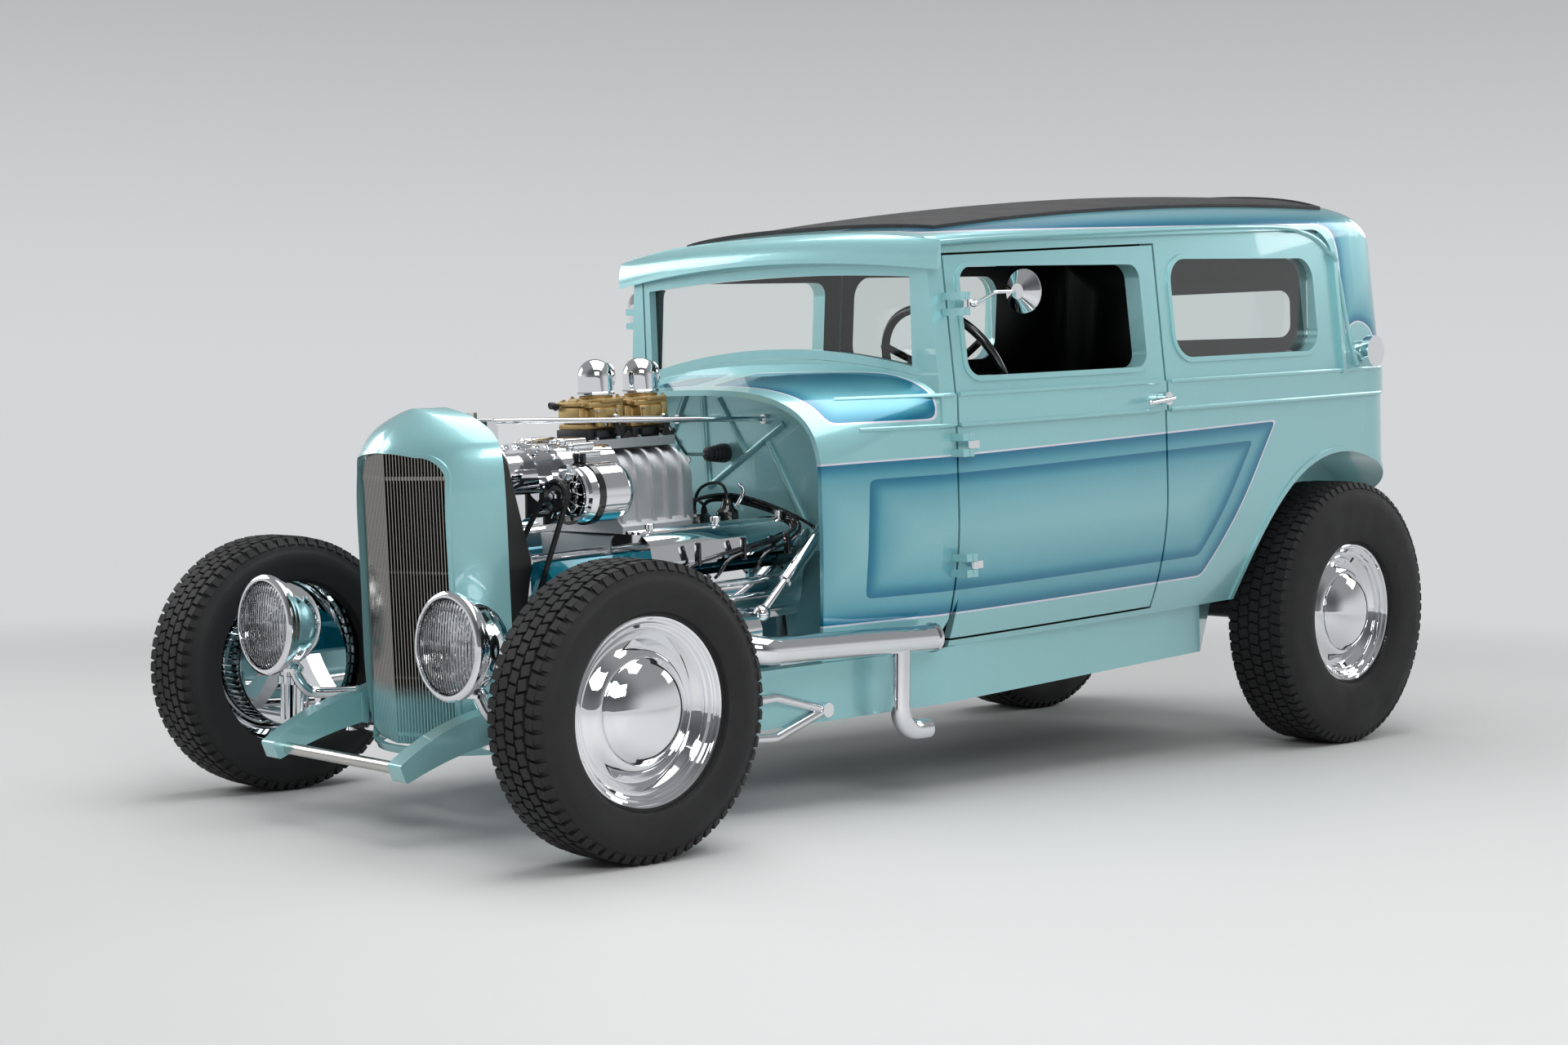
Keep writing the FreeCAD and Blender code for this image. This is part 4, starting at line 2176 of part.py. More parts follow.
def whole_shell():
    """The body with its mouldings and windows, before the doors are parted from it."""
    inner_limit = mm.belt_half_width / 2
    raised = [
        body_loft(mm.belt_proud).common(slab(mm.pillar_front_y, mm.tail_y + mm.overrun,
                                             mm.belt_bottom, mm.belt_top)),
    ]
    beads = body_loft(mm.bead_proud)
    rings = []
    for face in (door_window_face, quarter_window_face):
        ring = face(mm.window_bead).cut(face(0))
        rings += both_prisms(ring, inner_limit)
    arch_ring = arch_face(mm.arch_lip).cut(arch_face(0))
    rings += both_prisms(arch_ring, inner_limit)
    raised.append(beads.common(rings[0].multiFuse(rings[1:])))
    drip_ring = hood_face(mm.drip_height).cut(hood_face(0))
    drips = both_prisms(drip_ring, inner_limit)
    raised.append(body_loft(mm.drip_proud).common(drips[0].fuse(drips[1])))
    outer = body_loft().multiFuse([cowl_loft()] + raised)
    cabin = body_loft(-mm.body_wall, mm.pillar_front_y + mm.pillar_depth,
                      mm.body_bottom - mm.overrun)
    scuttle = cowl_loft(-mm.cowl_wall, mm.cowl_front_y - mm.overrun,
                        mm.pillar_front_y + mm.pillar_depth + mm.overrun / 3,
                        mm.body_bottom - mm.overrun)
    shell = outer.cut(cabin.fuse(scuttle))
    holes = []
    holes += both_prisms(door_window_face(0), inner_limit)
    holes += both_prisms(quarter_window_face(0), inner_limit)
    holes += both_prisms(arch_face(0), mm.tub_inner_x)
    windshield = windshield_face(0, mm.pillar_front_y - mm.overrun)
    holes.append(windshield.extrude(Vector(0, mm.pillar_depth + mm.overrun * 2, 0)))
    holes.append(rear_window_form(0, mm.tail_y - mm.overrun * 2, mm.overrun * 3))
    return shell.cut(holes[0].multiFuse(holes[1:]))


def rear_window_form(inset, start, length):
    """The rear window's rounded outline, pushed along the car."""
    panel = rounded_panel(-mm.rear_window_half_width + inset, mm.rear_window_half_width - inset,
                          mm.rear_window_sill + inset, mm.rear_window_head - inset,
                          mm.window_corner)
    panel.rotate(Vector(0, 0, 0), Vector(0, 0, 1), -90)
    panel.translate(Vector(0, start, 0))
    return panel.extrude(Vector(0, length, 0))


def wheel_tubs():
    """The inner housings over the rear wheels, closed on the cabin side."""
    shapes = []
    start = mm.tub_inner_x - mm.tub_wall
    wall_x = mm.belt_half_width
    inside = body_loft(-mm.body_wall / 2)
    for side in (1, -1):
        outer = Part.makeCylinder(mm.arch_radius + mm.tub_wall, wall_x - start,
                                  Vector(side * start, mm.arch_y, mm.arch_z),
                                  Vector(side, 0, 0))
        inner = Part.makeCylinder(mm.arch_radius, wall_x, Vector(side * mm.tub_inner_x,
                                                                  mm.arch_y, mm.arch_z),
                                  Vector(side, 0, 0))
        shapes.append(outer.cut(inner).common(inside))
    return shapes


def make_body_and_doors():
    whole = whole_shell()
    parting = both_prisms(door_face(0, 0, 0))
    body = whole.cut(parting[0].fuse(parting[1]))
    body = body.multiFuse(wheel_tubs())
    raked_shape("body_shell", body)
    for word, side in SIDES:
        panel = whole.common(side_prism(door_face(mm.door_gap, mm.door_rear_gap, mm.door_gap),
                                        side))
        raked_shape("door_" + word, panel)


def make_roof():
    """The grained roof insert with the bead that runs round it."""
    base = body_loft(mm.seat_gap)
    outline = insert_prism(0)
    bead = insert_prism(mm.window_bead).cut(insert_prism(0))
    insert = body_loft(mm.insert_proud).common(outline)
    edge = body_loft(mm.insert_proud * 2).common(bead)
    raked_shape("roof_insert", insert.fuse(edge).cut(base))


def insert_prism(grow):
    """The insert's outline in plan, bowed at both ends, as an upright prism."""
    front_half = mm.insert_half_front + grow
    rear_half = mm.insert_half_rear + grow
    front = mm.insert_front_y + mm.insert_corner / 2 - grow
    rear = mm.insert_rear_y - mm.insert_corner / 2 + grow
    up = mm.side_top_front
    bow = mm.insert_bow
    edges = [
        Part.Arc(Vector(-front_half, front, up), Vector(0, front - bow - grow / 3, up),
                 Vector(front_half, front, up)).toShape(),
        Part.makeLine(Vector(front_half, front, up), Vector(rear_half, rear, up)),
        Part.Arc(Vector(rear_half, rear, up), Vector(0, rear + bow / 2, up),
                 Vector(-rear_half, rear, up)).toShape(),
        Part.makeLine(Vector(-rear_half, rear, up), Vector(-front_half, front, up)),
    ]
    face = Part.Face(Part.Wire(edges))
    return face.extrude(Vector(0, 0, mm.roof_crown))


def make_visor():
    """The wedge-shaped visor that carries the roof on ahead of the windshield."""
    wires = []
    for share in (-1, -0.85, -0.6, -0.3, 0, 0.3, 0.6, 0.85, 1):
        across = mm.visor_half_width * share
        bend = share ** 2
        lip_y = mm.visor_front_y + mm.visor_sweep * bend
        lip_z = mm.visor_front_z - mm.visor_drop * bend
        root_top = mm.visor_root_z - mm.visor_root_drop * abs(share) ** 2.6
        root_y = mm.pillar_front_y - mm.seat_gap
        lip_top = lip_z + mm.visor_thickness
        crown = Part.Arc(Vector(across, root_y, root_top),
                         Vector(across, lip_y + (root_y - lip_y) * 0.4,
                                lip_top + (root_top - lip_top) * 0.72),
                         Vector(across, lip_y, lip_top)).toShape()
        edges = [
            crown,
            Part.makeLine(Vector(across, lip_y, lip_top), Vector(across, lip_y, lip_z)),
            Part.makeLine(Vector(across, lip_y, lip_z),
                          Vector(across, root_y, lip_z + mm.visor_thickness)),
            Part.makeLine(Vector(across, root_y, lip_z + mm.visor_thickness),
                          Vector(across, root_y, root_top)),
        ]
        wires.append(Part.Wire(edges))
    raked_shape("visor", Part.makeLoft(wires, True, False))


def make_glass():
    """The windshield in its frame, the quarter windows and the rear window."""
    front = mm.pillar_front_y + mm.screen_frame_gap
    ring = windshield_face(mm.seat_gap, front).cut(
        windshield_face(mm.screen_frame_width, front))
    rim = ring.extrude(Vector(0, mm.screen_frame_depth, 0))
    raked_shape("windshield_frame", rim)
    pane = windshield_face(mm.screen_frame_width / 2,
                           front + mm.screen_frame_depth + mm.seat_gap)
    pane_x = mm.belt_half_width - mm.body_wall
    panes = [pane.extrude(Vector(0, mm.glass_thickness, 0))]
    for side in (1, -1):
        face = quarter_window_face(-mm.seat_gap)
        face.translate(Vector(side * pane_x, 0, 0))
        panes.append(face.extrude(Vector(side * mm.glass_thickness, 0, 0)))
    panes.append(rear_window_form(mm.seat_gap, mm.tail_y - mm.glass_setback
                                  - mm.glass_thickness, mm.glass_thickness))
    raked_shape("window_glass", Part.makeCompound(panes))


# Door fittings

def make_hinges(side):
    """Three outside hinges: a pin in two knuckles on the body and one on the door."""
    body_parts = []
    door_parts = []
    for level in (mm.hinge_top_z, mm.hinge_mid_z, mm.hinge_low_z):
        start = level - mm.hinge_length / 2
        third = mm.hinge_length / 3
        axis_x = side * mm.hinge_x
        for number in (0, 2):
            body_parts.append(Part.makeCylinder(mm.hinge_radius, third - mm.hinge_knuckle_gap,
                                                Vector(axis_x, mm.hinge_y, start
                                                       + third * number
                                                       + mm.hinge_knuckle_gap / 2)))
        body_parts.append(Part.makeCylinder(mm.hinge_pin_radius, mm.hinge_length
                                            - mm.hinge_knuckle_gap,
                                            Vector(axis_x, mm.hinge_y, start
                                                   + mm.hinge_knuckle_gap / 2)))
        ring = Part.makeCylinder(mm.hinge_radius, third - mm.hinge_knuckle_gap,
                                 Vector(axis_x, mm.hinge_y, start + third
                                        + mm.hinge_knuckle_gap / 2))
        bore = Part.makeCylinder(mm.hinge_pin_radius + mm.seat_gap, mm.hinge_length,
                                 Vector(axis_x, mm.hinge_y, start))
        door_parts.append(hinge_leaf(side, level, 1, third).fuse(ring).cut(bore))
        for number in (-1, 1):
            body_parts.append(hinge_leaf(side, level + third * number, -1, third))
    return body_parts[0].multiFuse(body_parts[1:]), door_parts


def hinge_leaf(side, level, sign, third):
    """A leaf from the knuckle to the body's side, forward or backward of the hinge line."""
    near_y = mm.hinge_y
    foot_y = (mm.door_front_y - mm.hinge_leaf_length / 2 if sign < 0
              else mm.hinge_y + mm.hinge_leaf_length)
    height = third - mm.hinge_knuckle_gap
    low = level - height / 2
    arm = Part.makeBox(mm.hinge_leaf, abs(foot_y - near_y), height,
                       Vector(mm.hinge_x - mm.hinge_leaf / 2, min(near_y, foot_y), low))
    reach = mm.hinge_leaf_length * 2
    foot = Part.makeBox(reach + mm.hinge_leaf / 2, mm.hinge_leaf, height,
                        Vector(mm.hinge_x - reach, foot_y - mm.hinge_leaf / 2, low))
    leaf = arm.fuse(foot)
    if side < 0:
        leaf = leaf.mirror(Vector(0, 0, 0), Vector(1, 0, 0))
    return leaf


def make_door_fittings():
    """Hinges on the body, and what rides on each door: leaves, mirror and handle."""
    skin = body_loft(mm.seat_gap)
    on_body = []
    for word, side in SIDES:
        body_form, leaves = make_hinges(side)
        on_body.append(body_form.cut(skin))
        upper = leaves[0].fuse(mirror_form(side))
        fittings = [upper.cut(skin), leaves[1].cut(skin), leaves[2].cut(skin),
                    handle_form(side)]
        raked_shape("door_fittings_" + word, Part.makeCompound(fittings))
    raked_shape("door_hinges", Part.makeCompound(on_body))


def mirror_form(side):
    """A round mirror on a rod from the upper hinge leaf."""
    root = (side * (mm.hinge_x + mm.hinge_leaf), mm.hinge_y + mm.hinge_leaf_length,
            mm.hinge_top_z)
    knee = (side * (mm.hinge_x + mm.mirror_radius), mm.hinge_y + mm.hinge_leaf_length * 1.6,
            mm.mirror_z)
    tip = (side * mm.mirror_x, mm.mirror_y + mm.mirror_depth, mm.mirror_z)
    arm = bent_tube([root, knee, tip], mm.mirror_arm_radius, mm.mirror_arm_radius * 3)
    base = Part.makeSphere(mm.mirror_arm_radius * 1.8, Vector(*root))
    disc = Part.makeCylinder(mm.mirror_radius, mm.mirror_arm_radius,
                             Vector(side * mm.mirror_x, mm.mirror_y + mm.mirror_depth,
                                    mm.mirror_z), Vector(0, -1, 0))
    cup = Part.makeCone(mm.mirror_radius, mm.mirror_radius * 0.35, mm.mirror_depth,
                        Vector(side * mm.mirror_x, mm.mirror_y + mm.mirror_depth
                               - mm.mirror_arm_radius, mm.mirror_z), Vector(0, -1, 0))
    return arm.multiFuse([base, disc, cup])


def handle_form(side):
    """A lever handle on a round boss."""
    surface = half_width_at(mm.handle_y) + mm.belt_proud + mm.seat_gap
    boss = Part.makeCylinder(mm.handle_boss_radius, mm.handle_standoff - mm.handle_radius,
                             Vector(side * surface, mm.handle_y, mm.handle_z),
                             Vector(side, 0, 0))
    reach = side * (surface + mm.handle_standoff - mm.handle_radius)
    lever = straight_rod((reach, mm.handle_y + mm.handle_length * 0.15, mm.handle_z),
                         (reach + side * mm.handle_radius, mm.handle_y
                          - mm.handle_length * 0.75, mm.handle_z - mm.handle_radius),
                         mm.handle_radius)
    tip = Part.makeSphere(mm.handle_radius, Vector(reach + side * mm.handle_radius, mm.handle_y
                                                   - mm.handle_length * 0.75,
                                                   mm.handle_z - mm.handle_radius))
    return boss.multiFuse([lever, tip])


# Cabin

def tunnel_form(inset, extra=0):
    """The tunnel over the bell housing, gearbox and propeller shaft."""
    start = mm.firewall_y + mm.firewall_thickness + mm.seat_gap
    stations = [
        (start - extra, mm.bell_tunnel_half, mm.bell_tunnel_top),
        (start + mm.cover_step, mm.bell_tunnel_half, mm.bell_tunnel_top),
        (mm.box_tunnel_front_y, mm.box_tunnel_half, mm.box_tunnel_top),
        (mm.box_tunnel_rear_y, mm.box_tunnel_half, mm.box_tunnel_top),
        (mm.shaft_tunnel_front_y, mm.shaft_tunnel_half, mm.shaft_tunnel_top),
        (mm.floor_rear_y + extra, mm.shaft_tunnel_half, mm.shaft_tunnel_top),
    ]
    low = mm.rail_top + mm.seat_gap - extra
    wires = []
    for along, half, top in stations:
        foot = half - inset
        crown = half * 0.8 - inset
        high = top - inset
        wires.append(Part.makePolygon([
            Vector(-foot, along, low), Vector(foot, along, low), Vector(crown, along, high),
            Vector(-crown, along, high), Vector(-foot, along, low)]))
    return Part.makeLoft(wires, True, True)


def make_floor():
    """The floor pan with its tunnel, stepped up over the rear axle, and the seat frames."""
    inside = body_loft(-mm.body_wall - mm.seat_gap, mm.pillar_front_y, mm.body_bottom
                       - mm.overrun)
    ahead = cowl_loft(-mm.cowl_wall - mm.seat_gap, mm.cowl_front_y,
                      mm.pillar_front_y + mm.pillar_depth, mm.body_bottom - mm.overrun)
    low = mm.rail_top + mm.seat_gap
    thick = mm.floor_thickness
    start = mm.firewall_y + mm.firewall_thickness + mm.seat_gap
    front = slab(start, mm.floor_rear_y, low, low + thick)
    riser = slab(mm.floor_rear_y - thick, mm.floor_rear_y, low, mm.rear_floor_top)
    rear = slab(mm.floor_rear_y - thick, mm.tail_y, mm.rear_floor_top - thick,
                mm.rear_floor_top)
    pan = front.multiFuse([riser, rear, tunnel_form(0)]).cut(
        tunnel_form(mm.tunnel_wall, mm.overrun))
    pan = pan.common(ahead).fuse(pan.common(inside))
    tubs = Part.makeCylinder(mm.arch_radius + mm.tub_wall + mm.seat_gap,
                             mm.tub_inner_x * 4, Vector(-mm.tub_inner_x * 2, mm.arch_y,
                                                        mm.arch_z), Vector(1, 0, 0))
    middle = Part.makeBox((mm.tub_inner_x - mm.tub_wall - mm.seat_gap) * 2,
                          mm.tail_y, mm.roof_crown,
                          Vector(-mm.tub_inner_x + mm.tub_wall + mm.seat_gap, 0, 0))
    pieces = [shape_feature("floor_pan", pan.cut(tubs.cut(middle)))]
    corner = cell.seat_corner
    for word, side in SIDES:
        middle = cell.seat_x * side
        half = cell.seat_half_width - corner
        pieces.append(box("seat_frame_" + word,
                          (middle - half, cell.seat_front_y + corner,
                           cell.rail_top + cell.floor_thickness + cell.seat_gap * 2),
                          (middle + half, cell.seat_front_y + cell.seat_depth,
                           cell.seat_bottom - cell.seat_gap)))
    raked_node(group("floor_group", pieces), "floor")


def make_firewall():
    """The recessed firewall with crossed tube ribs on its engine side."""
    fit = cowl_loft(-mm.cowl_wall - mm.seat_gap, mm.cowl_front_y - mm.overrun,
                    mm.pillar_front_y, mm.body_bottom - mm.overrun)
    start = mm.firewall_y
    plate = slab(start, start + mm.firewall_thickness, mm.rail_top + mm.seat_gap,
                 mm.roof_front)
    runs = (
        (mm.rib_a_x, mm.rib_a_z, mm.rib_b_x, mm.rib_b_z),
        (mm.rib_c_x, mm.rib_c_z, mm.rib_d_x, mm.rib_d_z),
        (mm.rib_e_x, mm.rib_e_z, mm.rib_f_x, mm.rib_f_z),
        (mm.rib_b_x, mm.rib_b_z, mm.rib_g_x, mm.rib_g_z),
        (mm.rib_h_x, mm.rib_h_z, mm.rib_i_x, mm.rib_i_z),
        (-mm.rib_h_x, mm.rib_h_z, -mm.rib_i_x, mm.rib_i_z),
    )
    ribs = [straight_rod((x1, start, z1), (x2, start, z2), mm.firewall_rib_radius)
            for x1, z1, x2, z2 in runs]
    hollow = tunnel_form(0, mm.overrun)
    plate = plate.multiFuse(ribs).common(fit).cut(hollow)
    raked_shape("firewall", plate)


def make_dashboard():
    """The panel under the windshield, shaped to the cowl."""
    fit = cowl_loft(-mm.cowl_wall - mm.seat_gap, mm.cowl_front_y,
                    mm.pillar_front_y + mm.pillar_depth, mm.body_bottom)
    panel = slab(mm.dash_y - mm.dash_depth / 2, mm.dash_y + mm.dash_depth / 8,
                 mm.dash_bottom, mm.roof_front).common(fit)
    raked_shape("dashboard", panel)


def cushion(name, low, high, corner):
    """A plain seat pad with rounded edges."""
    body = new_body(name)
    corners = [(low[1], low[2]), (high[1], low[2]), (high[1], high[2]), (low[1], high[2])]
    middle = (low[0] + high[0]) / 2
    sketch = outline_sketch(body, "YZ_Plane", corners, middle)
    solid = pad(body, sketch, high[0] - low[0], both_ways=True)
    round_edges(body, solid, corner, lambda edge: True)
    return body


def make_seats():
    """Two front bucket seats and a rear bench, each a cushion and a back on its frame."""
    corner = cell.seat_corner
    front = []
    for word, side in SIDES:
        middle = cell.seat_x * side
        half = cell.seat_half_width
        base = cell.seat_bottom
        front.append(cushion("seat_cushion_" + word,
                             (middle - half, cell.seat_front_y, base),
                             (middle + half, cell.seat_front_y + cell.seat_depth,
                              base + cell.seat_cushion), corner))
        rear_y = cell.seat_front_y + cell.seat_depth
        front.append(cushion("seat_back_" + word,
                             (middle - half, rear_y + cell.seat_gap, base + corner),
                             (middle + half, rear_y + cell.seat_back_thickness,
                              base + cell.seat_back_height), corner))
    raked_node(group("front_seat_group", front), "front_seats")
    half = cell.rear_seat_half_width
    base = cell.rear_floor_top + cell.seat_gap
    start = cell.rear_seat_front_y
    end = start + cell.rear_seat_depth
    bench = [
        cushion("rear_cushion", (-half, start, base),
                (half, end, base + cell.rear_seat_cushion), corner),
        cushion("rear_back", (-half, end + cell.seat_gap, base),
                (half, end + cell.seat_back_thickness, base + cell.rear_seat_back_height),
                corner),
    ]
    raked_node(group("rear_seat_group", bench), "rear_seat")


def steering_place():
    """Where the steering wheel's middle stands, seen level."""
    along = cell.steering_wheel_y * cosine(cell.rake) - cell.steering_wheel_z * sine(cell.rake)
    up = cell.steering_wheel_y * sine(cell.rake) + cell.steering_wheel_z * cosine(cell.rake)
    return FRONT_AXLE_Y + along, up


def make_steering_wheel():
    """A round-rimmed wheel with three spokes and a hub."""
    body = new_body("steering_rim")
    radius = cell.steering_wheel_radius
    rim = cell.steering_rim_radius
    sketch = circle_sketch(body, "XZ_Plane", [(radius, 0, rim)])
    revolve(body, sketch, "V_Axis")
    parts = [body]
    parts.append(cylinder("steering_hub", "z", (0, 0, -cell.steering_hub_depth / 2),
                          cell.steering_hub_radius, cell.steering_hub_depth / 2))
    for number in range(3):
        spoke = cylinder("steering_spoke_%d" % number, "x", (0, 0, cell.steering_spoke * -1.4),
                         cell.steering_spoke, radius)
        turn = FreeCAD.Rotation(Vector(0, 0, 1), 90 + 120 * number)
        spoke.Placement.Rotation = turn.multiply(AXIS_TURNS["x"])
        parts.append(spoke)
    wheel_fuse = fuse("steering_wheel_fuse", parts)
    wheel_fuse.Label = "steering_wheel"
    wheel_fuse.Placement = FreeCAD.Placement(Vector(), FreeCAD.Rotation(Vector(-1, 0, 0), 1))
    along, up = steering_place()
    put(wheel_fuse, cell.steering_x, along, up)
    wheel_fuse.setExpression("Placement.Rotation.Angle",
                             "90 - Sizes.steering_tilt - Sizes.rake")
    nodes.append(wheel_fuse)


def make_steering_column():
    """The column under the wheel, through the firewall, and the shaft down to the box."""
    tilt = math.radians(mm.steering_tilt)
    heading = Vector(0, -math.cos(tilt), -math.sin(tilt))
    hub = Vector(mm.steering_x, mm.steering_wheel_y, mm.steering_wheel_z)
    start = hub + heading * (mm.steering_hub_depth / 2 + mm.steering_spoke)
    elbow = start + heading * ((start.y - mm.column_elbow_y) / math.cos(tilt))
    plate_y = mm.firewall_y + mm.firewall_thickness + mm.seat_gap
    foot = Vector(mm.column_foot_x, plate_y + mm.column_radius, mm.column_foot_z)
    column = bent_tube([tuple(start), tuple(elbow), tuple(foot)], mm.column_radius,
                       mm.column_radius * 1.5)
    collar = Part.makeCylinder(mm.column_radius * 1.5, mm.column_radius * 2,
                               Vector(foot.x, plate_y, foot.z), Vector(0, 1, 0))
    dash_rear = mm.dash_y + mm.dash_depth / 8 + mm.seat_gap
    share = (start.y - dash_rear) / math.cos(tilt)
    meet = start + heading * share
    bracket = Part.makeBox(mm.column_radius * 3, mm.tunnel_wall,
                           mm.dash_bottom + mm.overrun / 2 - meet.z,
                           Vector(meet.x - mm.column_radius * 1.5, dash_rear, meet.z))
    inner = column.multiFuse([collar, bracket])
    joint = Vector(mm.column_foot_x, mm.firewall_y - mm.seat_gap, mm.column_foot_z)
    box_at = Vector(mm.steering_box_x, mm.steering_box_y, mm.steering_box_z)
    run = box_at - joint
    shaft = straight_rod(joint, box_at, mm.steering_shaft_radius)
    sleeve = straight_rod(joint, joint + run * 0.55, mm.steering_sleeve_radius)
    knuckle = Part.makeSphere(mm.steering_shaft_radius * 2, joint + run * 0.85)
    gear = Part.makeCylinder(mm.steering_box_radius, mm.steering_box_length,
                             Vector(box_at.x, box_at.y - mm.steering_box_length, box_at.z),
                             Vector(0, 1, 0))
    pad_low = mm.rail_top + mm.seat_gap
    mount = Part.makeBox(mm.steering_box_radius * 1.2, mm.steering_box_length * 0.7,
                         box_at.z - pad_low, Vector(box_at.x - mm.steering_box_radius * 0.6,
                                                    box_at.y - mm.steering_box_length * 0.85,
                                                    pad_low))
    beyond = slab(mm.firewall_y - mm.seat_gap, mm.tail_y, 0, mm.roof_crown)
    outer = shaft.multiFuse([sleeve, knuckle, gear, mount]).cut(beyond)
    raked_shape("steering_column", Part.makeCompound([inner, outer]))


# Rear axle and tail

def make_rear_axle():
    """The live axle: tubes, the banjo housing and its cover."""
    tube = cylinder("axle_tube", "x", (0, 0, 0), cell.axle_tube_radius,
                    cell.axle_tube_half * 2, both_ways=True)
    housing = new_body("axle_housing")
    radius = cell.diff_radius
    corners = [
        (cell.diff_length * -0.5, 0),
        (cell.diff_length * 0.5, 0),
        (cell.diff_length * 0.5, radius * 0.45),
        (cell.diff_length * 0.28, radius * 0.92),
        (cell.diff_length * -0.28, radius * 0.92),
        (cell.diff_length * -0.5, radius * 0.45),
    ]
    revolve(housing, outline_sketch(housing, "XY_Plane", corners), "H_Axis")
    nose = cylinder("axle_nose", "y", (0, -cell.diff_radius, 0), cell.propshaft_radius * 1.3,
                    cell.diff_radius)
    parts = [tube, housing, nose]
    reach = wheel_back(cell.rear_tyre_face) - cell.yoke_gap
    parts.append(cylinder("rear_spindles", "x", (0, 0, 0), cell.spindle_radius, reach * 2,
                          both_ways=True))
    for word, side in SIDES:
        plate_x = cell.rear_drum_inner_x - cell.yoke_gap
        plate_x = plate_x - cell.backing_thickness if side == LEFT else -plate_x
        parts.append(cylinder("rear_backing_" + word, "x", (plate_x, 0, 0),
                              cell.rear_backing_radius, cell.backing_thickness))
        parts.append(cylinder("coil_seat_" + word, "y",
                              (cell.coil_x * side, cell.coil_offset * -0.4, 0),
                              cell.damper_radius, cell.coil_offset * 0.8))
    level_node(fuse("rear_axle_fuse", parts), "rear_axle", 0, REAR_AXLE_Y,
               cell.rear_tyre_radius)


def make_rear_suspension():
    """Coil springs round their dampers, from the axle's seats up to the crossmember."""
    along, up = on_frame(mm.wheelbase, mm.rear_tyre_radius)
    foot_z = up + mm.axle_tube_radius + mm.seat_gap
    shapes = []
    top_z = mm.rear_floor_top - mm.floor_thickness - mm.seat_gap
    height = top_z - foot_z
    for side in (1, -1):
        place = Vector(side * mm.coil_x, along, foot_z)
        damper = Part.makeCylinder(mm.damper_radius, height, place)
        low_seat = Part.makeCylinder(mm.coil_radius, mm.coil_wire, place)
        top_seat = Part.makeCylinder(mm.coil_radius, mm.coil_wire,
                                     place + Vector(0, 0, height - mm.coil_wire))
        rings = []
        count = int(mm.coil_turns)
        for number in range(count):
            rise = mm.coil_wire * 2 + (height - mm.coil_wire * 4) * number / (count - 1)
            rings.append(Part.makeTorus(mm.coil_radius - mm.coil_wire * 2, mm.coil_wire * 0.9,
                                        place + Vector(0, 0, rise)))
        shapes.append(damper.multiFuse([low_seat, top_seat] + rings))
    raked_shape("rear_springs", Part.makeCompound(shapes))


def make_fuel_tank():
    """A ribbed tank slung under the rear crossmembers."""
    body = new_body("tank_body")
    bottom = cell.tank_bottom
    top = cell.rail_kick_bottom - cell.seat_gap
    corners = [
        (cell.tank_front_y, bottom),
        (cell.tank_front_y + cell.tank_length, bottom),
        (cell.tank_front_y + cell.tank_length, top),
        (cell.tank_front_y, top),
    ]
    solid = pad(body, outline_sketch(body, "YZ_Plane", corners), cell.tank_half_width * 2,
                both_ways=True)
    round_edges(body, solid, cell.tank_corner, runs_along(Vector(1, 0, 0)))
    raked_node(group("tank_group", [body]), "fuel_tank")


def make_tail_fittings():
    """Two round tail lamps and the fuel filler with its cap."""
    lamps = []
    radius = cell.tail_light_radius
    depth = cell.tail_light_depth
    corners = [
        (0, 0),
        (radius * 0.8, 0),
        (radius, depth * 0.5),
        (radius, depth * 0.7),
        (radius * 0.8, depth * 0.9),
        (radius * 0.4, depth),
        (0, depth),
    ]
    for word, side in SIDES:
        lamp = new_body("tail_lamp_" + word)
        revolve(lamp, outline_sketch(lamp, "XY_Plane", corners), "V_Axis")
        lamps.append(put(lamp, cell.tail_light_x * side, cell.tail_y + cell.seat_gap,
                         cell.tail_light_z))
    raked_node(group("tail_lamp_group", lamps), "tail_lamps")
    start = mm.belt_half_width - mm.top_tumblehome
    neck = Part.makeCylinder(mm.filler_radius * 0.7, mm.top_tumblehome + mm.filler_length / 2,
                             Vector(start, mm.filler_y, mm.filler_z), Vector(1, 0, 0))
    start = mm.belt_half_width
    cap = Part.makeCylinder(mm.filler_radius, mm.filler_length / 2,
                            Vector(start + mm.filler_length / 2, mm.filler_y, mm.filler_z),
                            Vector(1, 0, 0))
    raked_shape("fuel_filler", neck.fuse(cap).cut(body_loft(mm.seat_gap)))


SEATED = (
    # Each part, and the parts whose faces it is cut to
    ("tyre_front_left", ("wheel_front_left",)),
    ("tyre_front_right", ("wheel_front_right",)),
    ("tyre_rear_left", ("wheel_rear_left",)),
    ("tyre_rear_right", ("wheel_rear_right",)),
    ("front_suspension", ("front_axle", "frame")),
    ("grille_shell", ("frame", "front_axle", "front_suspension")),
    ("radiator", ("grille_shell",)),
    ("valve_covers", ("engine_block",)),
    ("blower_gear_case", ("blower_case",)),
    ("alternator", ("blower_gear_case",)),
    ("blower_pulleys", ("drive_belt", "engine_block")),
    ("gearbox", ("rear_axle",)),
    ("body_shell", ("frame",)),
    ("firewall", ("body_shell", "steering_column", "radiator")),
    ("floor", ("body_shell",)),
    ("dashboard", ("body_shell",)),
    ("door_fittings_left", ("door_left",)),
    ("door_fittings_right", ("door_right",)),
)


def seat_parts():
    """Cuts each part to the faces of the parts that it seats on."""
    for label, tools in SEATED:
        for number, tool in enumerate(tools):
            labels = [thing.Label for thing in nodes]
            index = labels.index(label)
            base = nodes[index]
            other = nodes[labels.index(tool)]
            base.Label = "%s_blank_%d" % (label, number)
            seated = cut("%s_seated_%d" % (label, number), base, other)
            seated.Label = label
            nodes[index] = seated


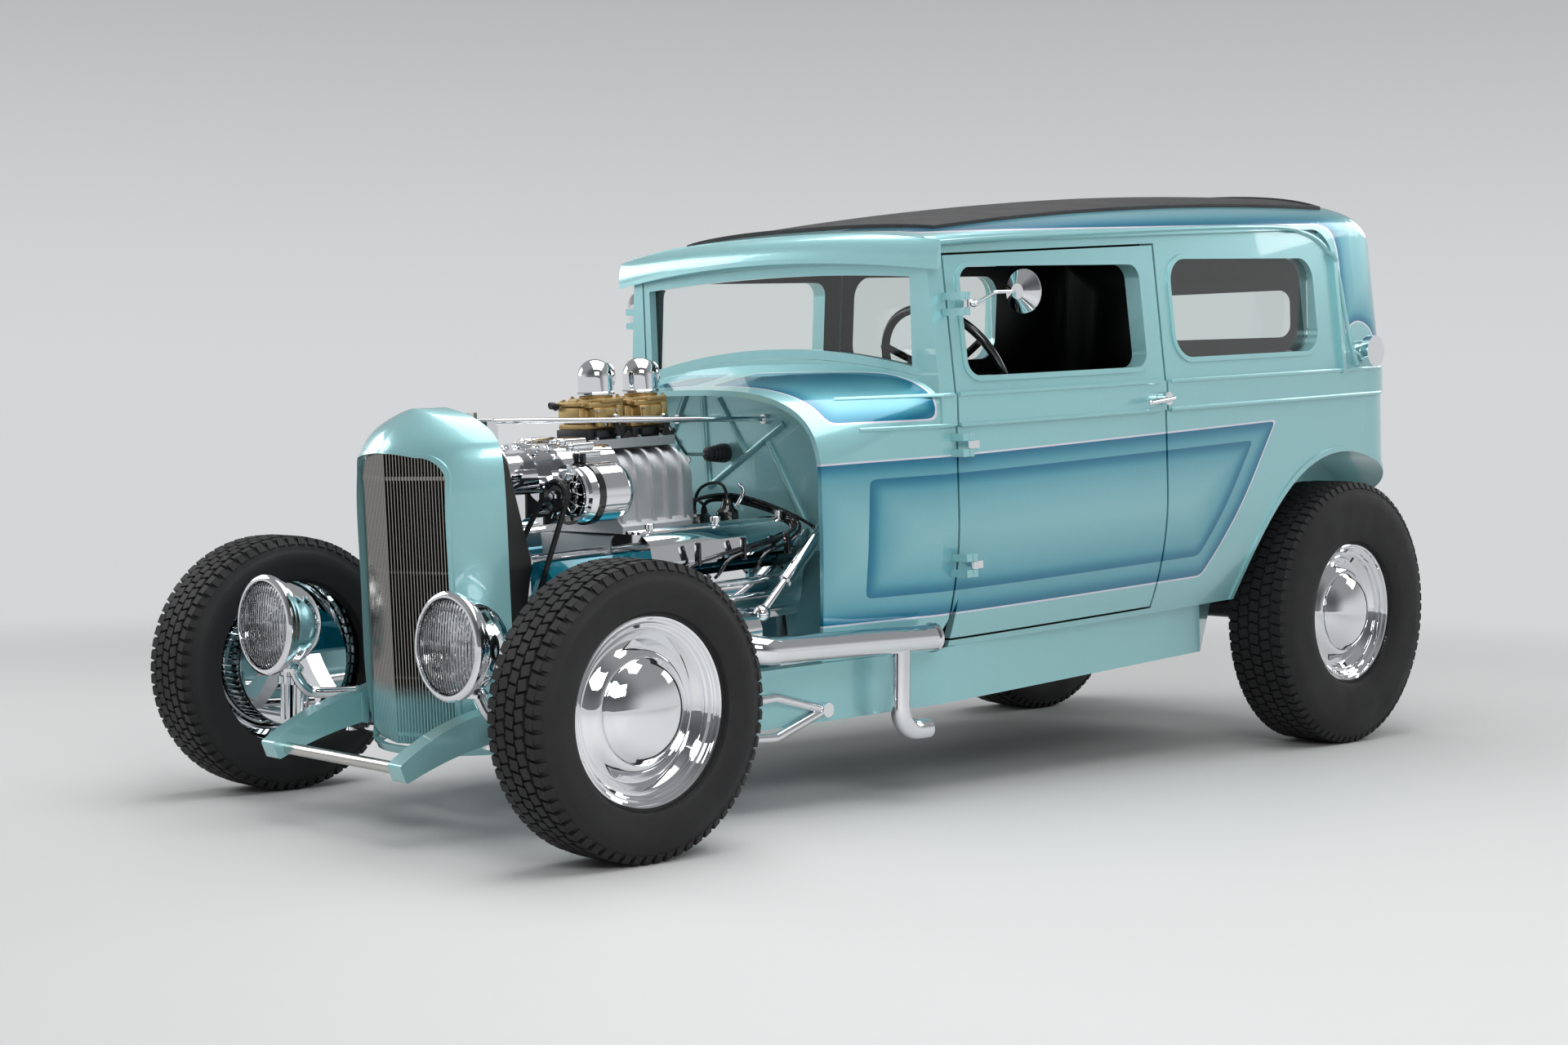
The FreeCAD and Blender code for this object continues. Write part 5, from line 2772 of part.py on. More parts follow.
def build():
    make_wheels()
    make_front_axle()
    make_front_suspension()
    for word, side in SIDES:
        make_knuckle(word, side)
    make_tie_rod()
    horn = make_frame()
    make_spreader_bar()
    make_grille_shell()
    make_grille_bars()
    make_radiator()
    make_headlights(horn)
    make_engine_block()
    make_valve_covers()
    make_blower()
    make_blower_drive()
    make_alternator()
    make_carburettors()
    make_scoops()
    make_gearbox()
    make_exhaust()
    make_body_and_doors()
    make_roof()
    make_visor()
    make_glass()
    make_door_fittings()
    make_floor()
    make_firewall()
    make_dashboard()
    make_seats()
    make_steering_wheel()
    make_steering_column()
    make_rear_axle()
    make_rear_suspension()
    make_fuel_tank()
    make_tail_fittings()
    seat_parts()


build()
doc.recompute()

faults = []
for thing in doc.Objects:
    if "Invalid" in thing.State or "Error" in thing.State:
        faults.append("%s: %s" % (thing.Name, thing.State))
for thing in nodes:
    if thing.Shape.isNull() or not thing.Shape.isValid():
        faults.append("%s has a bad shape" % thing.Label)
if faults:
    raise RuntimeError("; ".join(faults))

os.makedirs("parts", exist_ok=True)
for thing in nodes:
    thing.Shape.exportStep("parts/%s.step" % thing.Label)
    print(thing.Label, len(thing.Shape.Solids), round(thing.Shape.Volume))
print(len(nodes), "parts written")
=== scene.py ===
"""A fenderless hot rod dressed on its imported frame: paint, chrome, rubber, glass and trim.

Lengths are metres in the row frame: forward is -Y, the car's left is +X and up is +Z.
The body, frame and engine lean forward by the rake, so their places are given as they
are measured along the body and turned by raked().
"""
from __future__ import annotations

import logging
import math
from dataclasses import dataclass, field
from enum import Enum
from typing import Iterable, Sequence

import bmesh
import bpy
from mathutils import Matrix, Vector
from mathutils.bvhtree import BVHTree


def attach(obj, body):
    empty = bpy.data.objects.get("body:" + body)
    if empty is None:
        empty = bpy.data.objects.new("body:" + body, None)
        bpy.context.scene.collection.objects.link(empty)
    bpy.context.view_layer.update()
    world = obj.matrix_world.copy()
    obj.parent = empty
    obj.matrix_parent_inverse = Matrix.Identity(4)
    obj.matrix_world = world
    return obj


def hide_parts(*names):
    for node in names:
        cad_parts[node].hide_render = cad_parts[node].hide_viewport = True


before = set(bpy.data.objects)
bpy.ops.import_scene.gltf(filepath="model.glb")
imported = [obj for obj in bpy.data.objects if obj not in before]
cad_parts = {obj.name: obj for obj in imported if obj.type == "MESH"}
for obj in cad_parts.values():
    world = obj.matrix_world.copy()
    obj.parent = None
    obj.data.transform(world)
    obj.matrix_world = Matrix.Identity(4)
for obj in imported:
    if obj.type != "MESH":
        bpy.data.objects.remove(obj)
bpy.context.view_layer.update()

LOG = logging.getLogger("hot_rod")
Colour = tuple[float, float, float]
Point = Sequence[float]

RAKE = math.radians(3.5)
FRONT_AXLE = -1.37875
REAR_AXLE = 1.31325
SIDES = (("left", 1), ("right", -1))


class Look(Enum):
    """The finishes of the car, by what they are on."""

    PAINT = "body_paint"
    PLAIN_PAINT = "frame_paint"
    ENGINE_PAINT = "engine_paint"
    CHROME = "chrome"
    DARK_CHROME = "shaded_chrome"
    STAINLESS = "stainless"
    POLISHED = "polished_aluminium"
    CAST = "cast_aluminium"
    STEEL = "satin_steel"
    DARK_STEEL = "dark_steel"
    GOLD = "plated_zinc"
    TYRE = "tyre_rubber"
    RUBBER = "belt_rubber"
    VINYL = "roof_vinyl"
    LINING = "cabin_lining"
    SEAT = "seat_cover"
    PANEL = "pleated_panel"
    CARPET = "carpet"
    GLOSS_BLACK = "gloss_black"
    GLASS = "window_glass"
    LENS = "lamp_glass"
    RED = "red_glass"
    DIAL = "dial_face"
    BULB = "lamp_bulb"
    BARS = "grille_bars"


def raked(across: float, along: float, up: float) -> Vector:
    """A place on the leaning body, in the row frame.

    Args:
        across: distance to the car's left.
        along: distance behind the front axle, along the body.
        up: height along the body.

    Returns:
        The place in the row frame.
    """
    cosine, sine = math.cos(RAKE), math.sin(RAKE)
    return Vector((across, along * cosine - up * sine + FRONT_AXLE, along * sine + up * cosine))


def raked_frame(across: float, along: float, up: float) -> Matrix:
    """The leaning body's axes, moved to a place on it.

    Args:
        across: to the car's left.
        along: towards the rear.
        up: upwards.

    Returns:
        The frame there.
    """
    return Matrix.Translation(raked(across, along, up)) @ Matrix.Rotation(RAKE, 4, "X")


def facing(place: Vector, axis: Vector) -> Matrix:
    """A frame at a place whose Z runs along an axis.

    Args:
        place: where it is.
        axis: the way Z runs.

    Returns:
        The frame.
    """
    turn = axis.normalized().to_track_quat("Z", "Y").to_matrix().to_4x4()
    return Matrix.Translation(place) @ turn


# Node trees
class Wiring:
    """Adds and joins nodes in a tree."""

    def __init__(self, tree: bpy.types.NodeTree) -> None:
        """Takes the tree to work in.

        Args:
            tree: the node tree.
        """
        self.tree = tree

    def node(self, kind: str, inputs: dict | None = None, **settings) -> bpy.types.Node:
        """Adds a node.

        Args:
            kind: the node's Blender name, without ShaderNode.
            inputs: values or sockets for its inputs, by name or number.
            settings: the node's own settings.

        Returns:
            The node.
        """
        made = self.tree.nodes.new("ShaderNode" + kind)
        for key, value in settings.items():
            setattr(made, key, value)
        for key, value in (inputs or {}).items():
            if isinstance(value, bpy.types.NodeSocket):
                self.tree.links.new(value, made.inputs[key])
            else:
                made.inputs[key].default_value = value
        return made

    def math(self, operation: str, *values, clamp: bool = False) -> bpy.types.NodeSocket:
        """The result of a sum on sockets and numbers.

        Args:
            operation: the sum's name.
            values: sockets or numbers.

        Returns:
            The socket with the value.
        """
        return self.node("Math", dict(enumerate(values)), operation=operation,
                         use_clamp=clamp).outputs[0]

    def mix(self, share, first, second, blend: str = "MIX") -> bpy.types.NodeSocket:
        """Two colours mixed by a share.

        Args:
            share: the second colour's share.
            first: a colour.
            second: a colour.
            blend: the way they mix.

        Returns:
            The socket with the colour.
        """
        made = self.node("Mix", data_type="RGBA", blend_type=blend, clamp_factor=True)
        for key, value in ((0, share), (6, first), (7, second)):
            if isinstance(value, bpy.types.NodeSocket):
                self.tree.links.new(value, made.inputs[key])
            elif key == 0:
                made.inputs[key].default_value = value
            else:
                made.inputs[key].default_value = (*value, 1.0)
        return made.outputs[2]

    def ramp(self, value, low: float, high: float, start: float = 0.0,
             end: float = 1.0) -> bpy.types.NodeSocket:
        """A value brought smoothly from one range into another.

        Args:
            value: what is brought over.
            low: the first range's start.
            high: its end.
            start: the second range's start.
            end: its end.

        Returns:
            The socket with the value.
        """
        made = self.node("MapRange", {0: value, 1: low, 2: high, 3: start, 4: end},
                         interpolation_type="SMOOTHSTEP")
        return made.outputs[0]

    def smallest(self, values: Sequence, rounding: float) -> bpy.types.NodeSocket:
        """The least of several values, rounded where they cross.

        Args:
            values: the sockets.
            rounding: how wide the crossing is.

        Returns:
            The socket with the value.
        """
        least = values[0]
        for value in values[1:]:
            least = self.math("SMOOTH_MIN", least, value, rounding)
        return least


def group_inputs(tree: bpy.types.NodeTree, names: dict[str, float],
                 outputs: Iterable[tuple[str, str]]) -> tuple[bpy.types.Node, bpy.types.Node]:
    """Makes a group's sockets and its two end nodes.

    Args:
        tree: the group.
        names: its inputs.
        outputs: its outputs.

    Returns:
        The input node and the output node.
    """
    for name, value in names.items():
        socket = tree.interface.new_socket(name, in_out="INPUT", socket_type="NodeSocketFloat")
        socket.default_value = value
    for name, kind in outputs:
        tree.interface.new_socket(name, in_out="OUTPUT", socket_type=kind)
    return tree.nodes.new("NodeGroupInput"), tree.nodes.new("NodeGroupOutput")


class SharedEffects:
    """Shader groups that more than one finish uses, each built once."""

    def __init__(self) -> None:
        """Starts with no group built."""
        self.built: dict[str, bpy.types.NodeTree] = {}

    def place(self, wiring: Wiring, name: str, **values: float) -> bpy.types.Node:
        """Puts one of the groups into a material with its own values.

        Args:
            wiring: the material's wiring.
            name: the group's name.
            values: its inputs' own values.

        Returns:
            The group's node.
        """
        if name not in self.built:
            self.built[name] = getattr(self, "make_" + name)()
        made = wiring.tree.nodes.new("ShaderNodeGroup")
        made.node_tree = self.built[name]
        for key, value in values.items():
            made.inputs[key.replace("_", " ").capitalize()].default_value = value
        return made

    def make_smudges(self) -> bpy.types.NodeTree:
        """Soft patches that vary a roughness, as handled and wiped surfaces do.

        Returns:
            The group.
        """
        tree = bpy.data.node_groups.new("smudges", "ShaderNodeTree")
        start, end = group_inputs(tree, {"Size": 9.0, "Least": 0.1, "Most": 0.2},
                                  [("Roughness", "NodeSocketFloat")])
        wiring = Wiring(tree)
        spot = wiring.node("TexCoord").outputs["Object"]
        noise = wiring.node("TexNoise", {"Vector": spot, "Scale": start.outputs["Size"],
                                         "Detail": 5.0, "Roughness": 0.6})
        fine = wiring.node("MapRange", {0: noise.outputs[0], 1: 0.3, 2: 0.7,
                                        3: start.outputs["Least"], 4: start.outputs["Most"]})
        tree.links.new(fine.outputs[0], end.inputs[0])
        return tree

    def make_flake(self) -> bpy.types.NodeTree:
        """Fine metal flakes that lift and drop a paint's brightness.

        Returns:
            The group.
        """
        tree = bpy.data.node_groups.new("flake", "ShaderNodeTree")
        start, end = group_inputs(tree, {"Size": 1500.0, "Depth": 0.1},
                                  [("Gain", "NodeSocketFloat"), ("Normal", "NodeSocketVector")])
        wiring = Wiring(tree)
        spot = wiring.node("TexCoord").outputs["Object"]
        cells = wiring.node("TexVoronoi", {"Vector": spot, "Scale": start.outputs["Size"]})
        tone = wiring.node("SeparateColor", {0: cells.outputs["Color"]}).outputs[0]
        spread = wiring.math("MULTIPLY", wiring.math("SUBTRACT", tone, 0.5),
                             start.outputs["Depth"])
        tree.links.new(wiring.math("ADD", spread, 1.0), end.inputs[0])
        bump = wiring.node("Bump", {"Height": tone, "Strength": 0.06, "Distance": 0.0002})
        tree.links.new(bump.outputs[0], end.inputs[1])
        return tree

    def make_grain(self) -> bpy.types.NodeTree:
        """The pebbled relief of vinyl and leather.

        Returns:
            The group.
        """
        tree = bpy.data.node_groups.new("grain", "ShaderNodeTree")
        start, end = group_inputs(tree, {"Size": 300.0, "Depth": 0.5},
                                  [("Height", "NodeSocketFloat"), ("Crease", "NodeSocketFloat")])
        wiring = Wiring(tree)
        spot = wiring.node("TexCoord").outputs["Object"]
        warp = wiring.node("TexNoise", {"Vector": spot, "Scale": 60.0, "Detail": 2.0})
        moved = wiring.node("VectorMath", {0: warp.outputs["Color"], "Scale": 0.004},
                            operation="SCALE").outputs[0]
        place = wiring.node("VectorMath", {0: spot, 1: moved}, operation="ADD").outputs[0]
        cells = wiring.node("TexVoronoi", {"Vector": place, "Scale": start.outputs["Size"]},
                            feature="DISTANCE_TO_EDGE")
        crease = wiring.ramp(cells.outputs["Distance"], 0.0, 0.22)
        tree.links.new(wiring.math("MULTIPLY", crease, start.outputs["Depth"]), end.inputs[0])
        tree.links.new(crease, end.inputs[1])
        return tree

    def make_brushing(self) -> bpy.types.NodeTree:
        """Fine lines along one way, as on brushed or rolled metal.

        Returns:
            The group.
        """
        tree = bpy.data.node_groups.new("brushing", "ShaderNodeTree")
        start, end = group_inputs(tree, {"Size": 500.0, "Stretch": 0.03},
                                  [("Lines", "NodeSocketFloat")])
        wiring = Wiring(tree)
        spot = wiring.node("TexCoord").outputs["Object"]
        scale = wiring.node("CombineXYZ", {0: 1.0, 1: start.outputs["Stretch"], 2: 1.0})
        place = wiring.node("VectorMath", {0: spot, 1: scale.outputs[0]},
                            operation="MULTIPLY").outputs[0]
        noise = wiring.node("TexNoise", {"Vector": place, "Scale": start.outputs["Size"],
                                         "Detail": 3.0})
        tree.links.new(noise.outputs[0], end.inputs[0])
        return tree

    def make_body_place(self) -> bpy.types.NodeTree:
        """The place on the leaning body, as its own along and up.

        Returns:
            The group.
        """
        tree = bpy.data.node_groups.new("body_place", "ShaderNodeTree")
        _, end = group_inputs(tree, {}, [("Across", "NodeSocketFloat"),
                                         ("Along", "NodeSocketFloat"), ("Up", "NodeSocketFloat")])
        wiring = Wiring(tree)
        spot = wiring.node("TexCoord").outputs["Object"]
        shift = (0.0, -FRONT_AXLE * math.cos(RAKE), FRONT_AXLE * math.sin(RAKE))
        mapping = wiring.node("Mapping", {"Vector": spot, "Location": shift,
                                          "Rotation": (-RAKE, 0.0, 0.0)})
        parts = wiring.node("SeparateXYZ", {0: mapping.outputs[0]})
        for number in range(3):
            tree.links.new(parts.outputs[number], end.inputs[number])
        return tree


EFFECTS = SharedEffects()


@dataclass(frozen=True)
class Finish:
    """A surface with one colour, patches in its gloss and, where asked, a fine relief."""

    name: str
    colour: Colour
    metallic: float = 0.0
    rough: tuple[float, float] = (0.3, 0.4)
    coat: float = 0.0
    relief: float = 0.0
    relief_size: float = 400.0
    tint: float = 0.06

    def material(self) -> bpy.types.Material:
        """Builds the finish as a material.

        Returns:
            The material.
        """
        made, wiring, shader = self.start()
        self.dress(wiring, shader)
        return made

    def start(self) -> tuple[bpy.types.Material, Wiring, bpy.types.Node]:
        """A material with its shader, and the patches in its gloss joined up.

        Returns:
            The material, its wiring and its shader node.
        """
        made = bpy.data.materials.new(self.name)
        made.use_nodes = True
        made.diffuse_color = (*self.colour, 1.0)
        wiring = Wiring(made.node_tree)
        shader = made.node_tree.nodes["Principled BSDF"]
        shader.inputs["Base Color"].default_value = (*self.colour, 1.0)
        shader.inputs["Metallic"].default_value = self.metallic
        shader.inputs["Coat Weight"].default_value = self.coat
        shader.inputs["Coat Roughness"].default_value = 0.03
        patches = EFFECTS.place(wiring, "smudges", least=self.rough[0], most=self.rough[1])
        wiring.tree.links.new(patches.outputs[0], shader.inputs["Roughness"])
        return made, wiring, shader

    def dress(self, wiring: Wiring, shader: bpy.types.Node) -> None:
        """Adds the change of tint and the relief.

        Args:
            wiring: the material's wiring.
            shader: its shader node.
        """
        spot = wiring.node("TexCoord").outputs["Object"]
        cloud = wiring.node("TexNoise", {"Vector": spot, "Scale": 14.0, "Detail": 4.0})
        dark = tuple(max(0.0, part * (1 - self.tint * 3)) for part in self.colour)
        light = tuple(min(1.0, part * (1 + self.tint)) for part in self.colour)
        wiring.tree.links.new(wiring.mix(cloud.outputs[0], dark, light),
                              shader.inputs["Base Color"])
        if self.relief:
            grit = wiring.node("TexNoise", {"Vector": spot, "Scale": self.relief_size,
                                            "Detail": 3.0})
            bump = wiring.node("Bump", {"Height": grit.outputs[0], "Strength": 1.0,
                                        "Distance": self.relief})
            wiring.tree.links.new(bump.outputs[0], shader.inputs["Normal"])


@dataclass(frozen=True)
class BrushedFinish(Finish):
    """Metal with fine lines along one way."""

    lines: float = 600.0

    def dress(self, wiring: Wiring, shader: bpy.types.Node) -> None:
        """Adds the lines to the gloss and the relief.

        Args:
            wiring: the material's wiring.
            shader: its shader node.
        """
        brush = EFFECTS.place(wiring, "brushing", size=self.lines)
        dark = tuple(part * 0.8 for part in self.colour)
        wiring.tree.links.new(wiring.mix(brush.outputs[0], dark, self.colour),
                              shader.inputs["Base Color"])
        bump = wiring.node("Bump", {"Height": brush.outputs[0], "Strength": 0.25,
                                    "Distance": 0.0003})
        wiring.tree.links.new(bump.outputs[0], shader.inputs["Normal"])


@dataclass(frozen=True)
class GrainedFinish(Finish):
    """Vinyl or leather with a pebbled grain."""

    grain: float = 320.0
    depth: float = 0.0006

    def dress(self, wiring: Wiring, shader: bpy.types.Node) -> None:
        """Adds the grain, with painted shade that makes its creases darker than its tops.

        Args:
            wiring: the material's wiring.
            shader: its shader node.
        """
        pebble = EFFECTS.place(wiring, "grain", size=self.grain, depth=1.0)
        # painted shade: the creases between the pebbles fall to 55 % of the colour, the tops keep
        # the full colour
        dark = tuple(part * 0.55 for part in self.colour)
        wiring.tree.links.new(wiring.mix(pebble.outputs["Crease"], dark, self.colour),
                              shader.inputs["Base Color"])
        bump = wiring.node("Bump", {"Height": pebble.outputs["Height"], "Strength": 0.7,
                                    "Distance": self.depth})
        wiring.tree.links.new(bump.outputs[0], shader.inputs["Normal"])


@dataclass(frozen=True)
class PaintFinish(Finish):
    """Pearl body paint with fine flakes under a clear coat."""

    edge: Colour = (0.0, 0.25, 0.37)
    deep: Colour = (0.0, 0.16, 0.28)
    lining: Colour = (0.012, 0.012, 0.014)
    line: Colour = (0.78, 0.76, 0.86)
    panels: bool = True

    def dress(self, wiring: Wiring, shader: bpy.types.Node) -> None:
        """Adds the flakes and, on the body, the faded panels with their thin lines.

        Args:
            wiring: the material's wiring.
            shader: its shader node.
        """
        flake = EFFECTS.place(wiring, "flake", size=1600.0, depth=0.12)
        colour = self.panel_colour(wiring) if self.panels else self.colour
        gain = wiring.node("CombineColor", {0: flake.outputs[0], 1: flake.outputs[0],
                                            2: flake.outputs[0]})
        colour = wiring.mix(1.0, colour, gain.outputs[0], "MULTIPLY")
        if self.panels:
            lined = self.cabin_share(wiring)
            bare = wiring.math("SUBTRACT", 1.0, lined)
            colour = wiring.mix(lined, colour, self.lining)
            for name, value in (("Metallic", self.metallic), ("Coat Weight", self.coat)):
                wiring.tree.links.new(wiring.math("MULTIPLY", bare, value), shader.inputs[name])
        wiring.tree.links.new(colour, shader.inputs["Base Color"])
        wiring.tree.links.new(flake.outputs[1], shader.inputs["Normal"])

    def cabin_share(self, wiring: Wiring) -> bpy.types.NodeSocket:
        """1 on the faces that look into the cabin, which are lined, and 0 outside.

        Args:
            wiring: the material's wiring.

        Returns:
            The socket with the value.
        """
        across, along, up = EFFECTS.place(wiring, "body_place").outputs
        middle = wiring.math("SUBTRACT", wiring.node("Clamp", {0: along, 1: 1.35, 2: 2.55})
                             .outputs[0], along)
        inward = wiring.node("CombineXYZ", {0: wiring.math("MULTIPLY", across, -1.0), 1: middle,
                                            2: wiring.math("SUBTRACT", 0.86, up)})
        heading = wiring.node("VectorMath", {0: inward.outputs[0]}, operation="NORMALIZE")
        normal = wiring.node("NewGeometry").outputs["Normal"]
        look = wiring.node("VectorMath", {0: heading.outputs[0], 1: normal},
                           operation="DOT_PRODUCT").outputs["Value"]
        facing_in = wiring.math("GREATER_THAN", look, 0.58)
        behind = wiring.math("GREATER_THAN", along, 1.06)
        return wiring.math("MULTIPLY", facing_in, behind)

    def panel_colour(self, wiring: Wiring) -> bpy.types.NodeSocket:
        """The base colour with the side, roof and cowl panels laid over it.

        Args:
            wiring: the material's wiring.

        Returns:
            The socket with the colour.
        """
        place = EFFECTS.place(wiring, "body_place")
        across, along, up = place.outputs
        width = wiring.math("ABSOLUTE", across)
        outer, inner = self.side_panel(wiring, along, up, width)
        roof = self.roof_panel(wiring, along, up, width)
        cowl = self.cowl_panel(wiring, along, up, width)
        fades = [self.fade(wiring, outer, 0.085, 1.0), self.fade(wiring, inner, 0.075, 1.0),
                 self.fade(wiring, roof, 0.070, 1.0), self.fade(wiring, cowl, 0.085, 1.0)]
        share = fades[0]
        for fade in fades[1:]:
            share = wiring.math("MAXIMUM", share, fade)
        colour = wiring.mix(share, self.colour, self.edge)
        very = wiring.ramp(share, 0.62, 1.0)
        colour = wiring.mix(very, colour, self.deep)
        lines = None
        for panel in (outer, roof, cowl):
            near = wiring.ramp(wiring.math("ABSOLUTE", panel), 0.0016, 0.0026, 1.0, 0.0)
            lines = near if lines is None else wiring.math("MAXIMUM", lines, near)
        return wiring.mix(lines, colour, self.line)

    def fade(self, wiring: Wiring, inside, reach: float, most: float) -> bpy.types.NodeSocket:
        """Full at a panel's edge and fading away inside it.

        Args:
            wiring: the material's tree.
            inside: how far inside the panel's edge a place is.
            reach: the distance over which the fade falls to about a third.
            most: the share at the edge.

        Returns:
            The share of edge colour.
        """
        fall = wiring.math("POWER", math.e, wiring.math("DIVIDE", inside, -reach))
        there = wiring.math("GREATER_THAN", inside, 0.0)
        return wiring.math("MULTIPLY", wiring.math("MULTIPLY", fall, there), most, clamp=True)

    def side_panel(self, wiring: Wiring, along, up, width) -> tuple:
        """How far inside the side panel, and its inner panel, a place is.

        Args:
            wiring: the material's wiring.
            along: the length socket.
            up: the height socket.
            width: the socket with the place across.

        Returns:
            The sockets of both distances.
        """
        side = wiring.math("MULTIPLY", wiring.math("SUBTRACT", width, 0.37), 4.0)
        top = wiring.math("SUBTRACT", wiring.math("MULTIPLY_ADD", along, 0.0145, 0.7315), up)
        floor = wiring.math("SUBTRACT", up, 0.368)
        front = wiring.math("SUBTRACT", along, wiring.math("MULTIPLY_ADD", up, 0.05, 0.712))
        arch = self.arch_distance(wiring, along, up)
        outer = wiring.smallest([front, top, floor, arch, side], 0.022)
        inner_front = wiring.math("SUBTRACT", front, 0.168)
        inner_top = wiring.math("SUBTRACT",
                                wiring.math("MULTIPLY_ADD", along, 0.011, 0.693), up)
        inner_floor = wiring.math("SUBTRACT", up, 0.425)
        inner_arch = wiring.math("SUBTRACT", arch, 0.058)
        inner_rear = wiring.math("SUBTRACT", 2.53, along)
        inner = wiring.smallest([inner_front, inner_top, inner_floor, inner_arch, inner_rear,
                                 side], 0.026)
        return outer, inner

    def arch_distance(self, wiring: Wiring, along, up) -> bpy.types.NodeSocket:
        """How far outside the wheel arch's own edge of the panel a place is.

        Args:
            wiring: the material's wiring.
            along: the length socket.
            up: the height socket.

        Returns:
            The socket with the value.
        """
        ahead = wiring.math("SUBTRACT", along, 2.72)
        above = wiring.math("SUBTRACT", up, 0.205)
        ring = wiring.math("SQRT", wiring.math("ADD", wiring.math("MULTIPLY", ahead, ahead),
                                               wiring.math("MULTIPLY", above, above)))
        ring = wiring.math("SUBTRACT", ring, 0.474)
        slope = wiring.math("ADD", wiring.math("MULTIPLY", along, -0.80),
                            wiring.math("MULTIPLY_ADD", up, 0.60, 1.4445))
        return wiring.math("SMOOTH_MIN", ring, slope, 0.06)

    def roof_panel(self, wiring: Wiring, along, up, width) -> bpy.types.NodeSocket:
        """How far inside the panel over the drip rail and behind the windows a place is.

        Args:
            wiring: the material's wiring.
            along: the length socket.
            up: the height socket.
            width: the socket with the place across.

        Returns:
            The socket with the value.
        """
        drip = wiring.math("SUBTRACT", up, wiring.math("MULTIPLY_ADD", along, 0.016, 1.2575))
        behind = wiring.math("SUBTRACT", along, 2.745)
        inside = wiring.math("SMOOTH_MAX", drip, behind, 0.16)
        side = wiring.math("MULTIPLY", wiring.math("SUBTRACT", width, 0.2), 1.5)
        belt = wiring.math("SUBTRACT", up, 0.908)
        front = wiring.math("SUBTRACT", along, 1.125)
        ahead = wiring.math("SUBTRACT", along, 2.815)
        above = wiring.math("SUBTRACT", up, 0.94)
        cap = wiring.math("SQRT", wiring.math("ADD", wiring.math("MULTIPLY", ahead, ahead),
                                              wiring.math("MULTIPLY", above, above)))
        cap = wiring.math("SUBTRACT", cap, 0.085)
        return wiring.smallest([inside, belt, front, side, cap], 0.02)

    def cowl_panel(self, wiring: Wiring, along, up, width) -> bpy.types.NodeSocket:
        """How far inside the panel on top of the cowl a place is.

        Args:
            wiring: the material's wiring.
            along: the length socket.
            up: the height socket.
            width: the socket with the place across.

        Returns:
            The socket with the value.
        """
        front = wiring.math("SUBTRACT", along, 0.838)
        bow = wiring.math("MULTIPLY", wiring.math("MULTIPLY", width, width), 0.55)
        rear = wiring.math("SUBTRACT", wiring.math("ADD", bow, 1.0), along)
        low = wiring.math("SUBTRACT", up, 0.835)
        edge = wiring.math("SUBTRACT", 1.078, along)
        middle = wiring.math("SUBTRACT", width, 0.03)
        under = wiring.math("SUBTRACT", 0.955, up)
        return wiring.smallest([front, rear, low, edge, middle, under], 0.03)


@dataclass(frozen=True)
class GlassFinish(Finish):
    """Clear glass, flat or fluted."""

    flutes: float = 0.0
    bend: float = 1.45

    def material(self) -> bpy.types.Material:
        """Builds the glass with its plain transmission, and flutes where asked.

        Returns:
            The material.
        """
        made = bpy.data.materials.new(self.name)
        made.use_nodes = True
        wiring = Wiring(made.node_tree)
        shader = made.node_tree.nodes["Principled BSDF"]
        shader.inputs["Base Color"].default_value = (*self.colour, 1.0)
        shader.inputs["Transmission Weight"].default_value = 1.0
        shader.inputs["Roughness"].default_value = self.rough[0]
        shader.inputs["IOR"].default_value = self.bend
        if self.flutes:
            spot = wiring.node("TexCoord").outputs["Object"]
            parts = wiring.node("SeparateXYZ", {0: spot})
            wave = wiring.math("SINE", wiring.math("MULTIPLY", parts.outputs[0], self.flutes))
            cross = wiring.math("SINE", wiring.math("MULTIPLY", parts.outputs[2],
                                                    self.flutes / 5))
            height = wiring.math("ADD", wave, wiring.math("MULTIPLY", cross, 0.6))
            bump = wiring.node("Bump", {"Height": height, "Strength": 0.6, "Distance": 0.002})
            wiring.tree.links.new(bump.outputs[0], shader.inputs["Normal"])
        return made


@dataclass(frozen=True)
class BarFinish(Finish):
    """Bright grille bars, painted over their lower ends."""

    paint: Colour = (0.287, 0.558, 0.584)

    def dress(self, wiring: Wiring, shader: bpy.types.Node) -> None:
        """Mixes from bare metal to paint by height.

        Args:
            wiring: the material's wiring.
            shader: its shader node.
        """
        place = EFFECTS.place(wiring, "body_place")
        low = wiring.ramp(place.outputs[2], 0.27, 0.325, 1.0, 0.0)
        wiring.tree.links.new(wiring.mix(low, self.colour, self.paint),
                              shader.inputs["Base Color"])
        wiring.tree.links.new(wiring.math("SUBTRACT", 1.0, low), shader.inputs["Metallic"])


